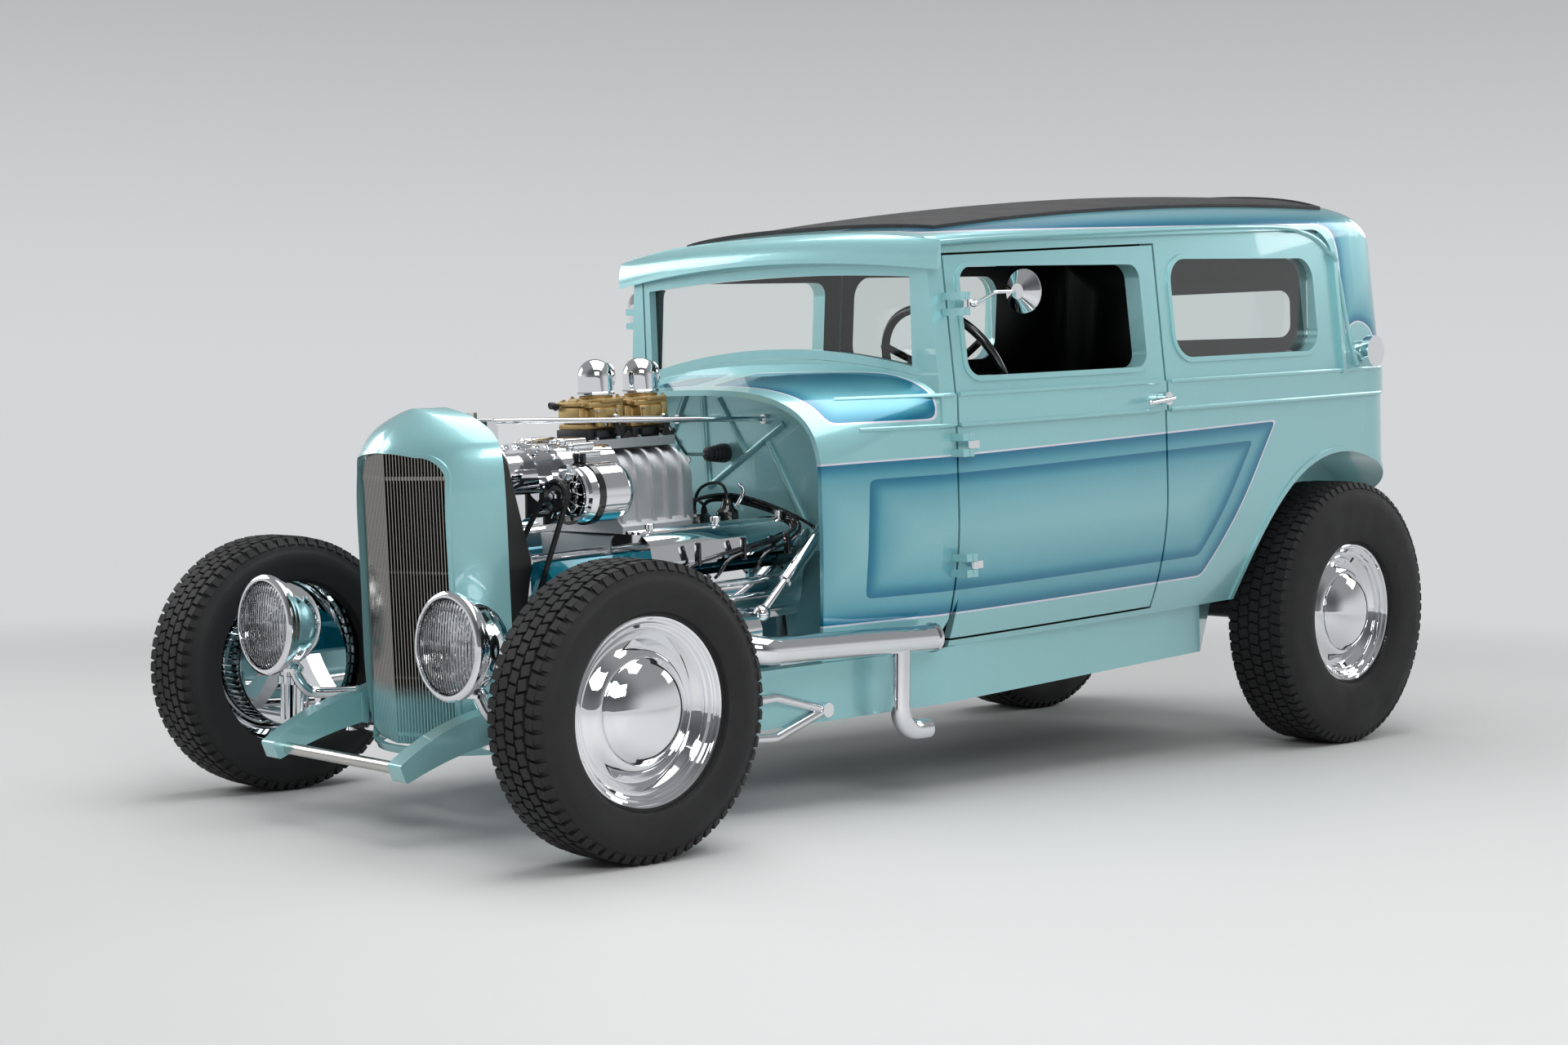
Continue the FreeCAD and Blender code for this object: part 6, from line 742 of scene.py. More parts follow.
SEAFOAM = (0.305, 0.60, 0.625)
FINISHES: dict[Look, Finish] = {
    Look.PAINT: PaintFinish("body_paint", SEAFOAM, 0.45, (0.3, 0.34), 1.0),
    Look.PLAIN_PAINT: PaintFinish("frame_paint", SEAFOAM, 0.45, (0.3, 0.34), 1.0, panels=False),
    Look.ENGINE_PAINT: PaintFinish("engine_paint", (0.0, 0.26, 0.36), 0.5, (0.25, 0.35), 1.0,
                                   panels=False),
    Look.CHROME: Finish("chrome", (0.86, 0.87, 0.89), 1.0, (0.02, 0.05), tint=0.01),
    Look.DARK_CHROME: Finish("shaded_chrome", (0.6, 0.66, 0.67), 1.0, (0.06, 0.14), tint=0.03),
    Look.STAINLESS: BrushedFinish("stainless", (0.62, 0.61, 0.58), 1.0, (0.16, 0.26)),
    Look.POLISHED: Finish("polished_aluminium", (0.83, 0.84, 0.86), 1.0, (0.07, 0.16), tint=0.03),
    Look.CAST: Finish("cast_aluminium", (0.6, 0.61, 0.63), 1.0, (0.32, 0.45), relief=0.0006,
                      relief_size=700.0),
    Look.STEEL: BrushedFinish("satin_steel", (0.42, 0.42, 0.43), 1.0, (0.22, 0.34)),
    Look.DARK_STEEL: Finish("dark_steel", (0.035, 0.036, 0.04), 0.6, (0.35, 0.5), relief=0.0004),
    Look.GOLD: Finish("plated_zinc", (0.52, 0.37, 0.16), 0.85, (0.34, 0.5), relief=0.0005,
                      relief_size=600.0, tint=0.1),
    Look.TYRE: Finish("tyre_rubber", (0.006, 0.006, 0.007), 0.0, (0.6, 0.75), relief=0.0004,
                      relief_size=900.0),
    Look.RUBBER: Finish("belt_rubber", (0.01, 0.01, 0.01), 0.0, (0.45, 0.6)),
    Look.VINYL: GrainedFinish("roof_vinyl", (0.02, 0.02, 0.022), 0.0, (0.5, 0.62), grain=420.0,
                              depth=0.0012),
    Look.LINING: GrainedFinish("cabin_lining", (0.012, 0.012, 0.014), 0.0, (0.6, 0.75)),
    Look.SEAT: GrainedFinish("seat_cover", (0.014, 0.014, 0.016), 0.0, (0.42, 0.55)),
    Look.PANEL: GrainedFinish("pleated_panel", (0.02, 0.13, 0.17), 0.0, (0.42, 0.55)),
    Look.CARPET: Finish("carpet", (0.012, 0.012, 0.013), 0.0, (0.9, 1.0), relief=0.004,
                        relief_size=260.0),
    Look.GLOSS_BLACK: Finish("gloss_black", (0.008, 0.008, 0.009), 0.0, (0.12, 0.2), 0.6),
    Look.GLASS: GlassFinish("window_glass", (0.9, 0.94, 0.93), rough=(0.0, 0.0)),
    Look.LENS: GlassFinish("lamp_glass", (0.95, 0.97, 0.97), rough=(0.02, 0.02), flutes=700.0),
    Look.RED: GlassFinish("red_glass", (0.5, 0.01, 0.015), rough=(0.05, 0.05), flutes=500.0),
    Look.DIAL: Finish("dial_face", (0.75, 0.75, 0.7), 0.0, (0.4, 0.5)),
    Look.BULB: Finish("lamp_bulb", (0.9, 0.9, 0.85), 0.0, (0.1, 0.1)),
    Look.BARS: BarFinish("grille_bars", (0.34, 0.33, 0.31), 1.0, (0.14, 0.26)),
}
NODE_LOOKS: dict[str, Look] = {
    "front_axle": Look.CHROME, "front_suspension": Look.CHROME, "knuckle_left": Look.CHROME,
    "knuckle_right": Look.CHROME, "tie_rod": Look.CHROME, "frame": Look.PLAIN_PAINT,
    "spreader_bar": Look.STAINLESS, "grille_shell": Look.PLAIN_PAINT,
    "grille_bars": Look.BARS, "radiator": Look.POLISHED, "engine_block": Look.ENGINE_PAINT,
    "valve_covers": Look.CHROME, "blower_case": Look.CAST, "blower_gear_case": Look.CHROME,
    "blower_pulleys": Look.POLISHED, "drive_belt": Look.RUBBER, "alternator": Look.CHROME,
    "carburettors": Look.GOLD, "air_scoops": Look.CHROME, "gearbox": Look.CAST,
    "exhaust_pipes": Look.CHROME, "body_shell": Look.PAINT, "door_left": Look.PAINT,
    "door_right": Look.PAINT, "roof_insert": Look.VINYL, "visor": Look.PLAIN_PAINT,
    "windshield_frame": Look.PLAIN_PAINT, "window_glass": Look.GLASS,
    "door_fittings_left": Look.CHROME, "door_fittings_right": Look.CHROME,
    "door_hinges": Look.PLAIN_PAINT, "floor": Look.CARPET, "firewall": Look.PLAIN_PAINT,
    "dashboard": Look.PLAIN_PAINT, "front_seats": Look.SEAT, "rear_seat": Look.SEAT,
    "steering_wheel": Look.GLOSS_BLACK, "steering_column": Look.CHROME,
    "rear_axle": Look.DARK_STEEL, "rear_springs": Look.CHROME, "fuel_tank": Look.PLAIN_PAINT,
    "tail_lamps": Look.RED, "fuel_filler": Look.CHROME, "headlights": Look.CHROME,
    "headlight_lenses": Look.LENS, "tyre_front_left": Look.TYRE, "tyre_front_right": Look.TYRE,
    "tyre_rear_left": Look.TYRE, "tyre_rear_right": Look.TYRE,
    "wheel_front_left": Look.CHROME, "wheel_front_right": Look.CHROME,
    "wheel_rear_left": Look.CHROME, "wheel_rear_right": Look.CHROME,
}


class Palette:
    """Builds each finish once and hands it out."""

    def __init__(self) -> None:
        """Starts with no material built."""
        self.made: dict[Look, bpy.types.Material] = {}

    def of(self, look: Look) -> bpy.types.Material:
        """The material of a look.

        Args:
            look: the look.

        Returns:
            The material.
        """
        if look not in self.made:
            self.made[look] = FINISHES[look].material()
        return self.made[look]

    def dress_nodes(self) -> None:
        """Gives each CAD node its finish."""
        for name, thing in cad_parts.items():
            thing.data.materials.clear()
            thing.data.materials.append(self.of(NODE_LOOKS[name]))


PALETTE = Palette()


# Mesh helpers
def append(base: bmesh.types.BMesh, extra: bmesh.types.BMesh, place: Matrix | None = None,
           slot: int = 0) -> None:
    """Adds one mesh to another and frees it.

    Args:
        base: the mesh that grows.
        extra: the mesh that is added and freed.
        place: a turn and move for the added mesh.
        slot: the material slot of its faces.
    """
    if place is not None:
        bmesh.ops.transform(extra, matrix=place, verts=extra.verts)
    for face in extra.faces:
        face.material_index = slot
    holder = bpy.data.meshes.new("holder")
    extra.to_mesh(holder)
    extra.free()
    base.from_mesh(holder)
    bpy.data.meshes.remove(holder)


def lathe(profile: Sequence[tuple[float, float]], steps: int = 64) -> bmesh.types.BMesh:
    """A turned shape.

    Args:
        profile: its outline as pairs of place along Z and radius.
        steps: the number of facets round it.

    Returns:
        The mesh, turned about Z.
    """
    made = bmesh.new()
    corners = [made.verts.new((radius, 0.0, along)) for along, radius in profile]
    edges = [made.edges.new(pair) for pair in zip(corners, corners[1:])]
    bmesh.ops.spin(made, geom=corners + edges, cent=(0, 0, 0), axis=(0, 0, 1),
                   angle=math.tau, steps=steps, use_merge=True)
    bmesh.ops.remove_doubles(made, verts=made.verts, dist=1e-6)
    bmesh.ops.recalc_face_normals(made, faces=made.faces)
    return made


def block(size: Point, bevel: float = 0.0, segments: int = 2) -> bmesh.types.BMesh:
    """A box about the middle, with its edges rounded.

    Args:
        size: its three sides.
        bevel: the rounding's width.
        segments: the rounding's steps.

    Returns:
        The mesh.
    """
    made = bmesh.new()
    bmesh.ops.create_cube(made, size=1.0)
    bmesh.ops.scale(made, vec=size, verts=made.verts)
    if bevel:
        bmesh.ops.bevel(made, geom=made.edges, offset=bevel, segments=segments, profile=0.5,
                        affect="EDGES", material=-1)
    return made


def bolt(radius: float, height: float) -> bmesh.types.BMesh:
    """A six-sided bolt head on its washer, standing on Z 0.

    Args:
        radius: half the width over its corners.
        height: the head's height.

    Returns:
        The bolt.
    """
    made = bmesh.new()
    bmesh.ops.create_cone(made, cap_ends=True, segments=16, radius1=radius * 1.35,
                          radius2=radius * 1.3, depth=height * 0.3,
                          matrix=Matrix.Translation((0, 0, height * 0.15)))
    bmesh.ops.create_cone(made, cap_ends=True, segments=6, radius1=radius, radius2=radius * 0.92,
                          depth=height * 0.7, matrix=Matrix.Translation((0, 0, height * 0.65)))
    return made


def pipe(points: Sequence[Point], radius: float, sides: int = 6,
         straight: bool = False) -> bmesh.types.BMesh:
    """A round rod, pipe or lead along some points.

    Args:
        points: the places it runs through or bends towards.
        radius: its radius.
        sides: how finely it is rounded.
        straight: True for straight runs, else one smooth curve.

    Returns:
        The mesh, with closed ends.
    """
    curve = bpy.data.curves.new("run", "CURVE")
    curve.dimensions = "3D"
    curve.bevel_depth = radius
    curve.bevel_resolution = max(1, sides // 2)
    curve.use_fill_caps = True
    curve.resolution_u = 10
    spline = curve.splines.new("POLY" if straight else "NURBS")
    spline.points.add(len(points) - 1)
    for point, place in zip(spline.points, points):
        point.co = (*place, 1.0)
    if not straight:
        spline.order_u = 3
        spline.use_endpoint_u = True
    holder = bpy.data.objects.new("run", curve)
    mesh = bpy.data.meshes.new_from_object(holder)
    made = bmesh.new()
    made.from_mesh(mesh)
    bpy.data.objects.remove(holder)
    bpy.data.curves.remove(curve)
    bpy.data.meshes.remove(mesh)
    bmesh.ops.remove_doubles(made, verts=made.verts, dist=1e-6)
    return made


def piece(name: str, mesh: bmesh.types.BMesh, body: str, looks: Look | Sequence[Look],
          stands_for: Sequence[str] = (), angle: float = 32.0) -> bpy.types.Object:
    """Turns a mesh into a piece that rides on a body.

    Args:
        name: the piece's name.
        mesh: its mesh, freed here.
        body: the CAD body it moves with.
        looks: its finish, or one for each material slot.
        stands_for: the CAD nodes that it replaces.
        angle: edges sharper than this in degrees stay sharp.

    Returns:
        The object.
    """
    looks = [looks] if isinstance(looks, Look) else list(looks)
    data = bpy.data.meshes.new(name)
    mesh.to_mesh(data)
    mesh.free()
    data.polygons.foreach_set("use_smooth", [True] * len(data.polygons))
    data.set_sharp_from_angle(angle=math.radians(angle))
    for look in looks:
        data.materials.append(PALETTE.of(look))
    thing = bpy.data.objects.new(name, data)
    bpy.context.scene.collection.objects.link(thing)
    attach(thing, body)
    if stands_for:
        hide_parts(*stands_for)
    LOG.info("%s on %s, %d faces", name, body, len(data.polygons))
    return thing


# Studio
@dataclass
class Studio:
    """The pale floor, the soft lights and the camera at the photograph's place."""

    floor_tone: float = 0.62
    camera_place: Point = (4.1876, -4.39565, 0.8583)
    yaw: float = 45.73
    pitch: float = -2.15
    roll: float = 0.42
    focal: float = 53.085

    def build(self) -> None:
        """Makes everything round the car."""
        self.make_floor()
        self.make_sky()
        self.make_lights()
        self.make_camera()

    def make_floor(self) -> None:
        """A plain floor that melts into the backdrop far away."""
        mesh = bmesh.new()
        bmesh.ops.create_circle(mesh, cap_ends=True, segments=96, radius=40.0)
        data = bpy.data.meshes.new("studio_floor")
        mesh.to_mesh(data)
        mesh.free()
        made = bpy.data.materials.new("studio_floor")
        made.use_nodes = True
        wiring = Wiring(made.node_tree)
        shader = made.node_tree.nodes["Principled BSDF"]
        shader.inputs["Base Color"].default_value = (self.floor_tone, self.floor_tone,
                                                     self.floor_tone, 1.0)
        shader.inputs["Roughness"].default_value = 0.6
        far = wiring.node("Emission", {"Color": (0.66, 0.67, 0.68, 1.0), "Strength": 1.0})
        spot = wiring.node("TexCoord").outputs["Object"]
        length = wiring.node("VectorMath", {0: spot}, operation="LENGTH").outputs["Value"]
        share = wiring.ramp(length, 2.6, 6.0)
        both = wiring.node("MixShader", {0: share, 1: shader.outputs[0], 2: far.outputs[0]})
        output = made.node_tree.nodes["Material Output"]
        wiring.tree.links.new(both.outputs[0], output.inputs["Surface"])
        data.materials.append(made)
        floor = bpy.data.objects.new("studio_floor", data)
        bpy.context.scene.collection.objects.link(floor)

    def make_sky(self) -> None:
        """A backdrop that is light at the horizon and greyer above."""
        world = bpy.data.worlds.new("studio")
        bpy.context.scene.world = world
        world.use_nodes = True
        wiring = Wiring(world.node_tree)
        spot = wiring.node("TexCoord").outputs["Generated"]
        height = wiring.node("SeparateXYZ", {0: spot}).outputs[2]
        share = wiring.ramp(height, 0.02, 0.34)
        colour = wiring.mix(share, (0.66, 0.67, 0.68), (0.3, 0.305, 0.31))
        toward = wiring.node("VectorMath", {0: spot, 1: (0.69, -0.72, 0.0)},
                             operation="DOT_PRODUCT").outputs["Value"]
        shade = wiring.math("MULTIPLY", wiring.ramp(toward, 0.3, 0.85), 0.8)
        colour = wiring.mix(shade, colour, (0.05, 0.052, 0.056))
        back = world.node_tree.nodes["Background"]
        wiring.tree.links.new(colour, back.inputs["Color"])
        back.inputs["Strength"].default_value = 1.0

    def make_lights(self) -> None:
        """A wide light overhead and softer ones at the sides."""
        for name, place, aim, size, power in (
                ("over", (0.3, -0.2, 4.2), (0.0, 0.0, 0.5), (3.4, 5.6), 190.0),
                ("key", (4.6, -3.4, 3.0), (0.0, -0.4, 0.8), (2.6, 1.8), 110.0),
                ("fill", (-4.4, -2.6, 2.4), (0.0, -0.4, 0.6), (2.4, 2.0), 60.0),
                ("rim", (1.5, 5.4, 3.0), (0.0, 0.6, 0.9), (4.0, 1.6), 70.0)):
            data = bpy.data.lights.new(name, "AREA")
            data.shape = "RECTANGLE"
            data.size, data.size_y = size
            data.energy = power
            lamp = bpy.data.objects.new(name, data)
            lamp.location = place
            lamp.rotation_mode = "QUATERNION"
            lamp.rotation_quaternion = (Vector(aim) - Vector(place)).to_track_quat("-Z", "Y")
            bpy.context.scene.collection.objects.link(lamp)

    def make_camera(self) -> None:
        """The camera solved from the wheels in the photograph."""
        yaw, pitch = math.radians(self.yaw), math.radians(self.pitch)
        ahead = Vector((-math.sin(yaw) * math.cos(pitch), math.cos(yaw) * math.cos(pitch),
                        math.sin(pitch)))
        right = ahead.cross(Vector((0, 0, 1))).normalized()
        top = right.cross(ahead)
        turn = Matrix.Rotation(-math.radians(self.roll), 3, ahead)
        right, top = turn @ right, turn @ top
        data = bpy.data.cameras.new("camera")
        data.lens = self.focal
        data.sensor_width = 36.0
        data.clip_end = 200.0
        camera = bpy.data.objects.new("camera", data)
        matrix = Matrix((right, top, -ahead)).transposed().to_4x4()
        matrix.translation = Vector(self.camera_place)
        camera.matrix_world = matrix
        bpy.context.scene.collection.objects.link(camera)
        bpy.context.scene.camera = camera
        bpy.context.scene.view_settings.view_transform = "Standard"


# Wheels and tyres
@dataclass
class Corner:
    """One wheel with its tyre, seen along its axle with Z pointing outwards."""

    node_end: str
    body: str
    centre: Point
    side: int
    radius: float
    face: float
    width: float
    tread: float
    rows: int = 5
    pitches: int = 66
    lip: float = 0.210

    def frame(self) -> Matrix:
        """The wheel's frame: Z out along the axle, 0 at the tyre's outer face.

        Returns:
            The frame.
        """
        place = Vector((self.face * self.side, self.centre[1], self.centre[2]))
        return facing(place, Vector((self.side, 0, 0)))

    def build(self) -> None:
        """Makes the tyre with its tread, and the wheel with its cap and drum."""
        self.make_tyre()
        self.make_wheel()

    def carcass(self) -> list[tuple[float, float]]:
        """The tyre's outline under the tread blocks, from the outer bead to the inner one.

        Returns:
            Pairs of depth and radius.
        """
        deep = 0.0075
        crown = self.radius - deep
        half = self.tread / 2
        middle = -self.width / 2
        outer = [(-0.022, 0.2005), (-0.012, 0.203), (-0.008, 0.209), (-0.006, 0.216),
                 (-0.0035, 0.226), (-0.0012, 0.238), (0.0, 0.247 + (self.radius - 0.305) * 0.5),
                 (-0.001, 0.262 + (self.radius - 0.305) * 0.7),
                 (-0.0035, self.radius - 0.036), (-0.0045, self.radius - 0.0345),
                 (-0.0062, self.radius - 0.0285), (-0.0085, self.radius - 0.022),
                 (middle + half + 0.0035, self.radius - 0.0165),
                 (middle + half - 0.003, crown - 0.003), (middle + half * 0.6, crown + 0.0005)]
        inner = [(2 * middle - along, radius) for along, radius in reversed(outer)]
        return outer + inner

    def make_tyre(self) -> None:
        """The carcass with its bead, sidewall steps and rows of tread blocks."""
        mesh = lathe(self.carcass() + [(-self.width + 0.022, 0.196), (-0.022, 0.196),
                                       (-0.022, 0.2005)], 120)
        middle = -self.width / 2
        pitch = math.tau / self.pitches
        long = self.radius * pitch
        row_width = self.tread / self.rows
        for row in range(self.rows):
            shoulder = row in (0, self.rows - 1)
            across = middle + (row - (self.rows - 1) / 2) * row_width
            lift = self.radius - 0.0045 - (0.0022 if shoulder else 0.0)
            for number in range(self.pitches):
                angle = pitch * (number + 0.5 * (row % 2))
                turn = Matrix.Rotation(angle, 4, "Z")
                skew = Matrix.Rotation(math.radians(14 if row % 2 else -10), 4, "X")
                size = (0.009, long * (0.80 if shoulder else 0.84), row_width - 0.0042)
                place = turn @ Matrix.Translation((lift, 0, across)) @ skew
                append(mesh, self.lug(size), place)
                if shoulder:
                    sign = 1 if row else -1
                    tilt = Matrix.Rotation(math.radians(-sign * 58), 4, "Y")
                    edge = turn @ Matrix.Translation(
                        (self.radius - 0.0125, 0, middle + sign * (self.tread / 2 + 0.0005)))
                    append(mesh, self.lug((0.007, long * 0.66, 0.02)), edge @ tilt)
        bmesh.ops.transform(mesh, matrix=self.frame(), verts=mesh.verts)
        piece("tyre_skin_" + self.node_end, mesh, self.body, Look.TYRE,
              ["tyre_" + self.node_end], 40)

    def lug(self, size: Point) -> bmesh.types.BMesh:
        """One tread block, narrower at its top.

        Args:
            size: length, width and height.

        Returns:
            The block.
        """
        made = bmesh.new()
        bmesh.ops.create_cube(made, size=1.0)
        bmesh.ops.scale(made, vec=size, verts=made.verts)
        top = [corner for corner in made.verts if corner.co.x > 0]
        bmesh.ops.scale(made, vec=(1, 0.94, 0.94), verts=top)
        under = [face for face in made.faces if face.normal.x < -0.9]
        bmesh.ops.delete(made, geom=under, context="FACES")
        return made

    def make_wheel(self) -> None:
        """The stepped chrome wheel, its domed cap, its inner rim and the finned drum."""
        lip = self.lip
        rim = [(-0.030, 0.1995), (-0.016, 0.2035), (-0.0085, lip - 0.0025), (-0.0045, lip),
               (-0.001, lip - 0.0005), (0.0, lip - 0.0035), (-0.0025, lip - 0.0065),
               (-0.0075, lip - 0.0085), (-0.0125, lip - 0.0105), (-0.0135, lip - 0.014),
               (-0.0115, lip - 0.0185), (-0.0135, lip - 0.0225), (-0.0205, lip - 0.0245),
               (-0.0225, lip - 0.028), (-0.021, lip - 0.032), (-0.0235, lip - 0.0355),
               (-0.032, lip - 0.0375), (-0.0345, lip - 0.041), (-0.034, lip - 0.0445),
               (-0.039, lip - 0.047), (-0.049, lip - 0.0495), (-0.0545, 0.1545),
               (-0.0555, 0.149), (-0.053, 0.142), (-0.046, 0.133), (-0.039, 0.1245),
               (-0.034, 0.117), (-0.0325, 0.110), (-0.0345, 0.1065)]
        cap = [(-0.0335, 0.1085), (-0.0275, 0.1092), (-0.0255, 0.1075), (-0.0235, 0.104),
               (-0.016, 0.097), (-0.0075, 0.0855), (-0.0005, 0.072), (0.005, 0.0565),
               (0.009, 0.040), (0.0115, 0.0215), (0.0125, 0.0)]
        inset = -0.012
        mesh = lathe([(along + inset, radius) for along, radius in rim], 128)
        append(mesh, lathe([(along + inset, radius) for along, radius in cap], 128))
        low = -self.width + 0.013
        barrel = [(-0.03 + inset, 0.1995), (-0.05, 0.188), (-0.085, 0.186), (low + 0.03, 0.196),
                  (low + 0.006, 0.206), (low, 0.209), (low + 0.001, 0.2065), (low + 0.03, 0.193),
                  (-0.087, 0.183), (-0.06, 0.180), (-0.05, 0.160), (-0.066, 0.146),
                  (-0.06, 0.11), (-0.055, 0.05)]
        append(mesh, lathe(barrel, 96))
        append(mesh, self.drum(), slot=1)
        bmesh.ops.transform(mesh, matrix=self.frame(), verts=mesh.verts)
        piece("bright_wheel_" + self.node_end, mesh, self.body, [Look.CHROME, Look.DARK_CHROME],
              ["wheel_" + self.node_end], 28)

    def drum(self) -> bmesh.types.BMesh:
        """The brake drum behind the wheel, finned across its edge.

        Returns:
            The drum.
        """
        front = self.radius < 0.33
        radius = 0.147 if front else 0.137
        back = -(self.face - (0.5905 if front else 0.4645))
        made = lathe([(-0.064, 0.05), (-0.066, radius - 0.012), (-0.072, radius - 0.004),
                      (back + 0.014, radius - 0.004), (back + 0.004, radius),
                      (back, radius), (back, radius - 0.008), (back + 0.01, radius - 0.009)], 96)
        fins = 60
        depth = abs(back) - 0.066
        for number in range(fins):
            turn = Matrix.Rotation(math.tau * number / fins, 4, "Z")
            place = turn @ Matrix.Translation((radius - 0.004, 0, (back - 0.062) / 2))
            append(made, block((0.008, 0.003, depth * 0.8)), place)
        return made


@dataclass
class RollingGear:
    """The four corners of the car."""

    corners: list[Corner] = field(default_factory=list)

    def build(self) -> None:
        """Makes each corner."""
        for word, side in SIDES:
            self.corners.append(Corner("front_" + word, "wheel_f" + word[0],
                                       (0.652 * side, FRONT_AXLE, 0.305), side, 0.305, 0.740,
                                       0.176, 0.146))
            self.corners.append(Corner("rear_" + word, "wheel_r" + word[0],
                                       (0.557 * side, REAR_AXLE, 0.3705), side, 0.3705, 0.657,
                                       0.200, 0.168, pitches=76))
        for corner in self.corners:
            corner.build()


@dataclass
class Headlights:
    """The round lamps beside the grille shell, each with bucket, ring, reflector and lens."""

    across: float = 0.347
    along: float = -0.197
    up: float = 0.436

    def build(self) -> None:
        """Makes both lamps, in the places of the CAD lamps."""
        shells, lenses = bmesh.new(), bmesh.new()
        for _, side in SIDES:
            place = facing(raked(self.across * side, self.along, self.up), Vector((0, -1, 0)))
            append(shells, self.bucket(), place)
            append(shells, self.ring(), place)
            append(shells, self.reflector(), place)
            append(shells, self.stand(side))
            append(lenses, self.lens(), place)
        piece("lamp_buckets", shells, "chassis", Look.CHROME, ["headlights"], 30)
        piece("lamp_lenses", lenses, "chassis", Look.LENS, ["headlight_lenses"], 40)

    def bucket(self) -> bmesh.types.BMesh:
        """The deep bowl behind the ring.

        Returns:
            The bucket.
        """
        return lathe([(-0.014, 0.099), (-0.016, 0.1035), (-0.024, 0.1035), (-0.029, 0.101),
                      (-0.045, 0.0985), (-0.066, 0.092), (-0.086, 0.081), (-0.104, 0.064),
                      (-0.117, 0.042), (-0.124, 0.02), (-0.126, 0.0)], 96)

    def ring(self) -> bmesh.types.BMesh:
        """The rolled ring that holds the lens.

        Returns:
            The ring.
        """
        return lathe([(-0.016, 0.104), (-0.009, 0.1125), (-0.002, 0.1145), (0.004, 0.1135),
                      (0.0085, 0.109), (0.0105, 0.104), (0.010, 0.1005), (0.007, 0.0995),
                      (0.004, 0.1000)], 96)

    def reflector(self) -> bmesh.types.BMesh:
        """The bright bowl seen through the lens, with its bulb shield.

        Returns:
            The bowl.
        """
        made = lathe([(0.0, 0.0985), (-0.012, 0.096), (-0.03, 0.086), (-0.048, 0.068),
                      (-0.06, 0.045), (-0.066, 0.02), (-0.067, 0.0)], 64)
        append(made, lathe([(-0.066, 0.012), (-0.036, 0.012), (-0.03, 0.010), (-0.027, 0.006),
                            (-0.026, 0.0)], 24))
        return made

    def lens(self) -> bmesh.types.BMesh:
        """The crowned glass.

        Returns:
            The lens.
        """
        return lathe([(0.002, 0.1), (0.008, 0.092), (0.0125, 0.075), (0.0155, 0.05),
                      (0.017, 0.025), (0.0175, 0.0), (0.0145, 0.0), (0.014, 0.025),
                      (0.0125, 0.05), (0.0095, 0.075), (0.005, 0.0915), (0.0, 0.0985),
                      (0.002, 0.1)], 96)

    def stand(self, side: int) -> bmesh.types.BMesh:
        """The curved stand from the frame horn up to the bucket.

        Args:
            side: 1 on the car's left and -1 on its right.

        Returns:
            The stand.
        """
        foot = raked(0.262 * side, -0.02, 0.27)
        bend = raked(0.345 * side, -0.075, 0.262)
        head = raked(self.across * side, -0.135, 0.335)
        made = pipe([foot, bend, raked(self.across * side, -0.115, 0.285), head], 0.013, 12)
        append(made, lathe([(-0.012, 0.0), (-0.012, 0.024), (-0.004, 0.026), (0.004, 0.02),
                            (0.01, 0.012), (0.012, 0.0)], 32), facing(head, Vector((0, 0, 1))))
        return made


def stack(base: bmesh.types.BMesh, rows: Iterable[tuple], place: Matrix, slot: int = 0) -> None:
    """Adds rounded blocks, each given as its size, its middle and its rounding.

    Args:
        base: the mesh to add to.
        rows: size, middle and rounding of each block.
        place: the frame they stand in.
        slot: their material's slot.
    """
    for size, middle, bevel in rows:
        append(base, block(size, bevel), place @ Matrix.Translation(middle), slot)


def bolts(base: bmesh.types.BMesh, places: Iterable[Vector], axis: Vector, radius: float,
          height: float, slot: int = 0) -> None:
    """Adds a bolt head at each place, standing along an axis.

    Args:
        base: the mesh to add to.
        places: where they stand.
        axis: the way they point.
        radius: a head's half width.
        height: its height.
        slot: the slot.
    """
    for place in places:
        append(base, bolt(radius, height), facing(place, axis), slot)


def body_axis(across: float, along: float, up: float) -> Vector:
    """A direction on the leaning body, in the row frame.

    Args:
        across: to the car's left.
        along: towards the rear.
        up: upwards.

    Returns:
        The direction.
    """
    return raked(across, along, up) - raked(0.0, 0.0, 0.0)


UPWARDS = body_axis(0, 0, 1)
FORWARDS = body_axis(0, -1, 0)
OUTWARDS = Vector((1, 0, 0))


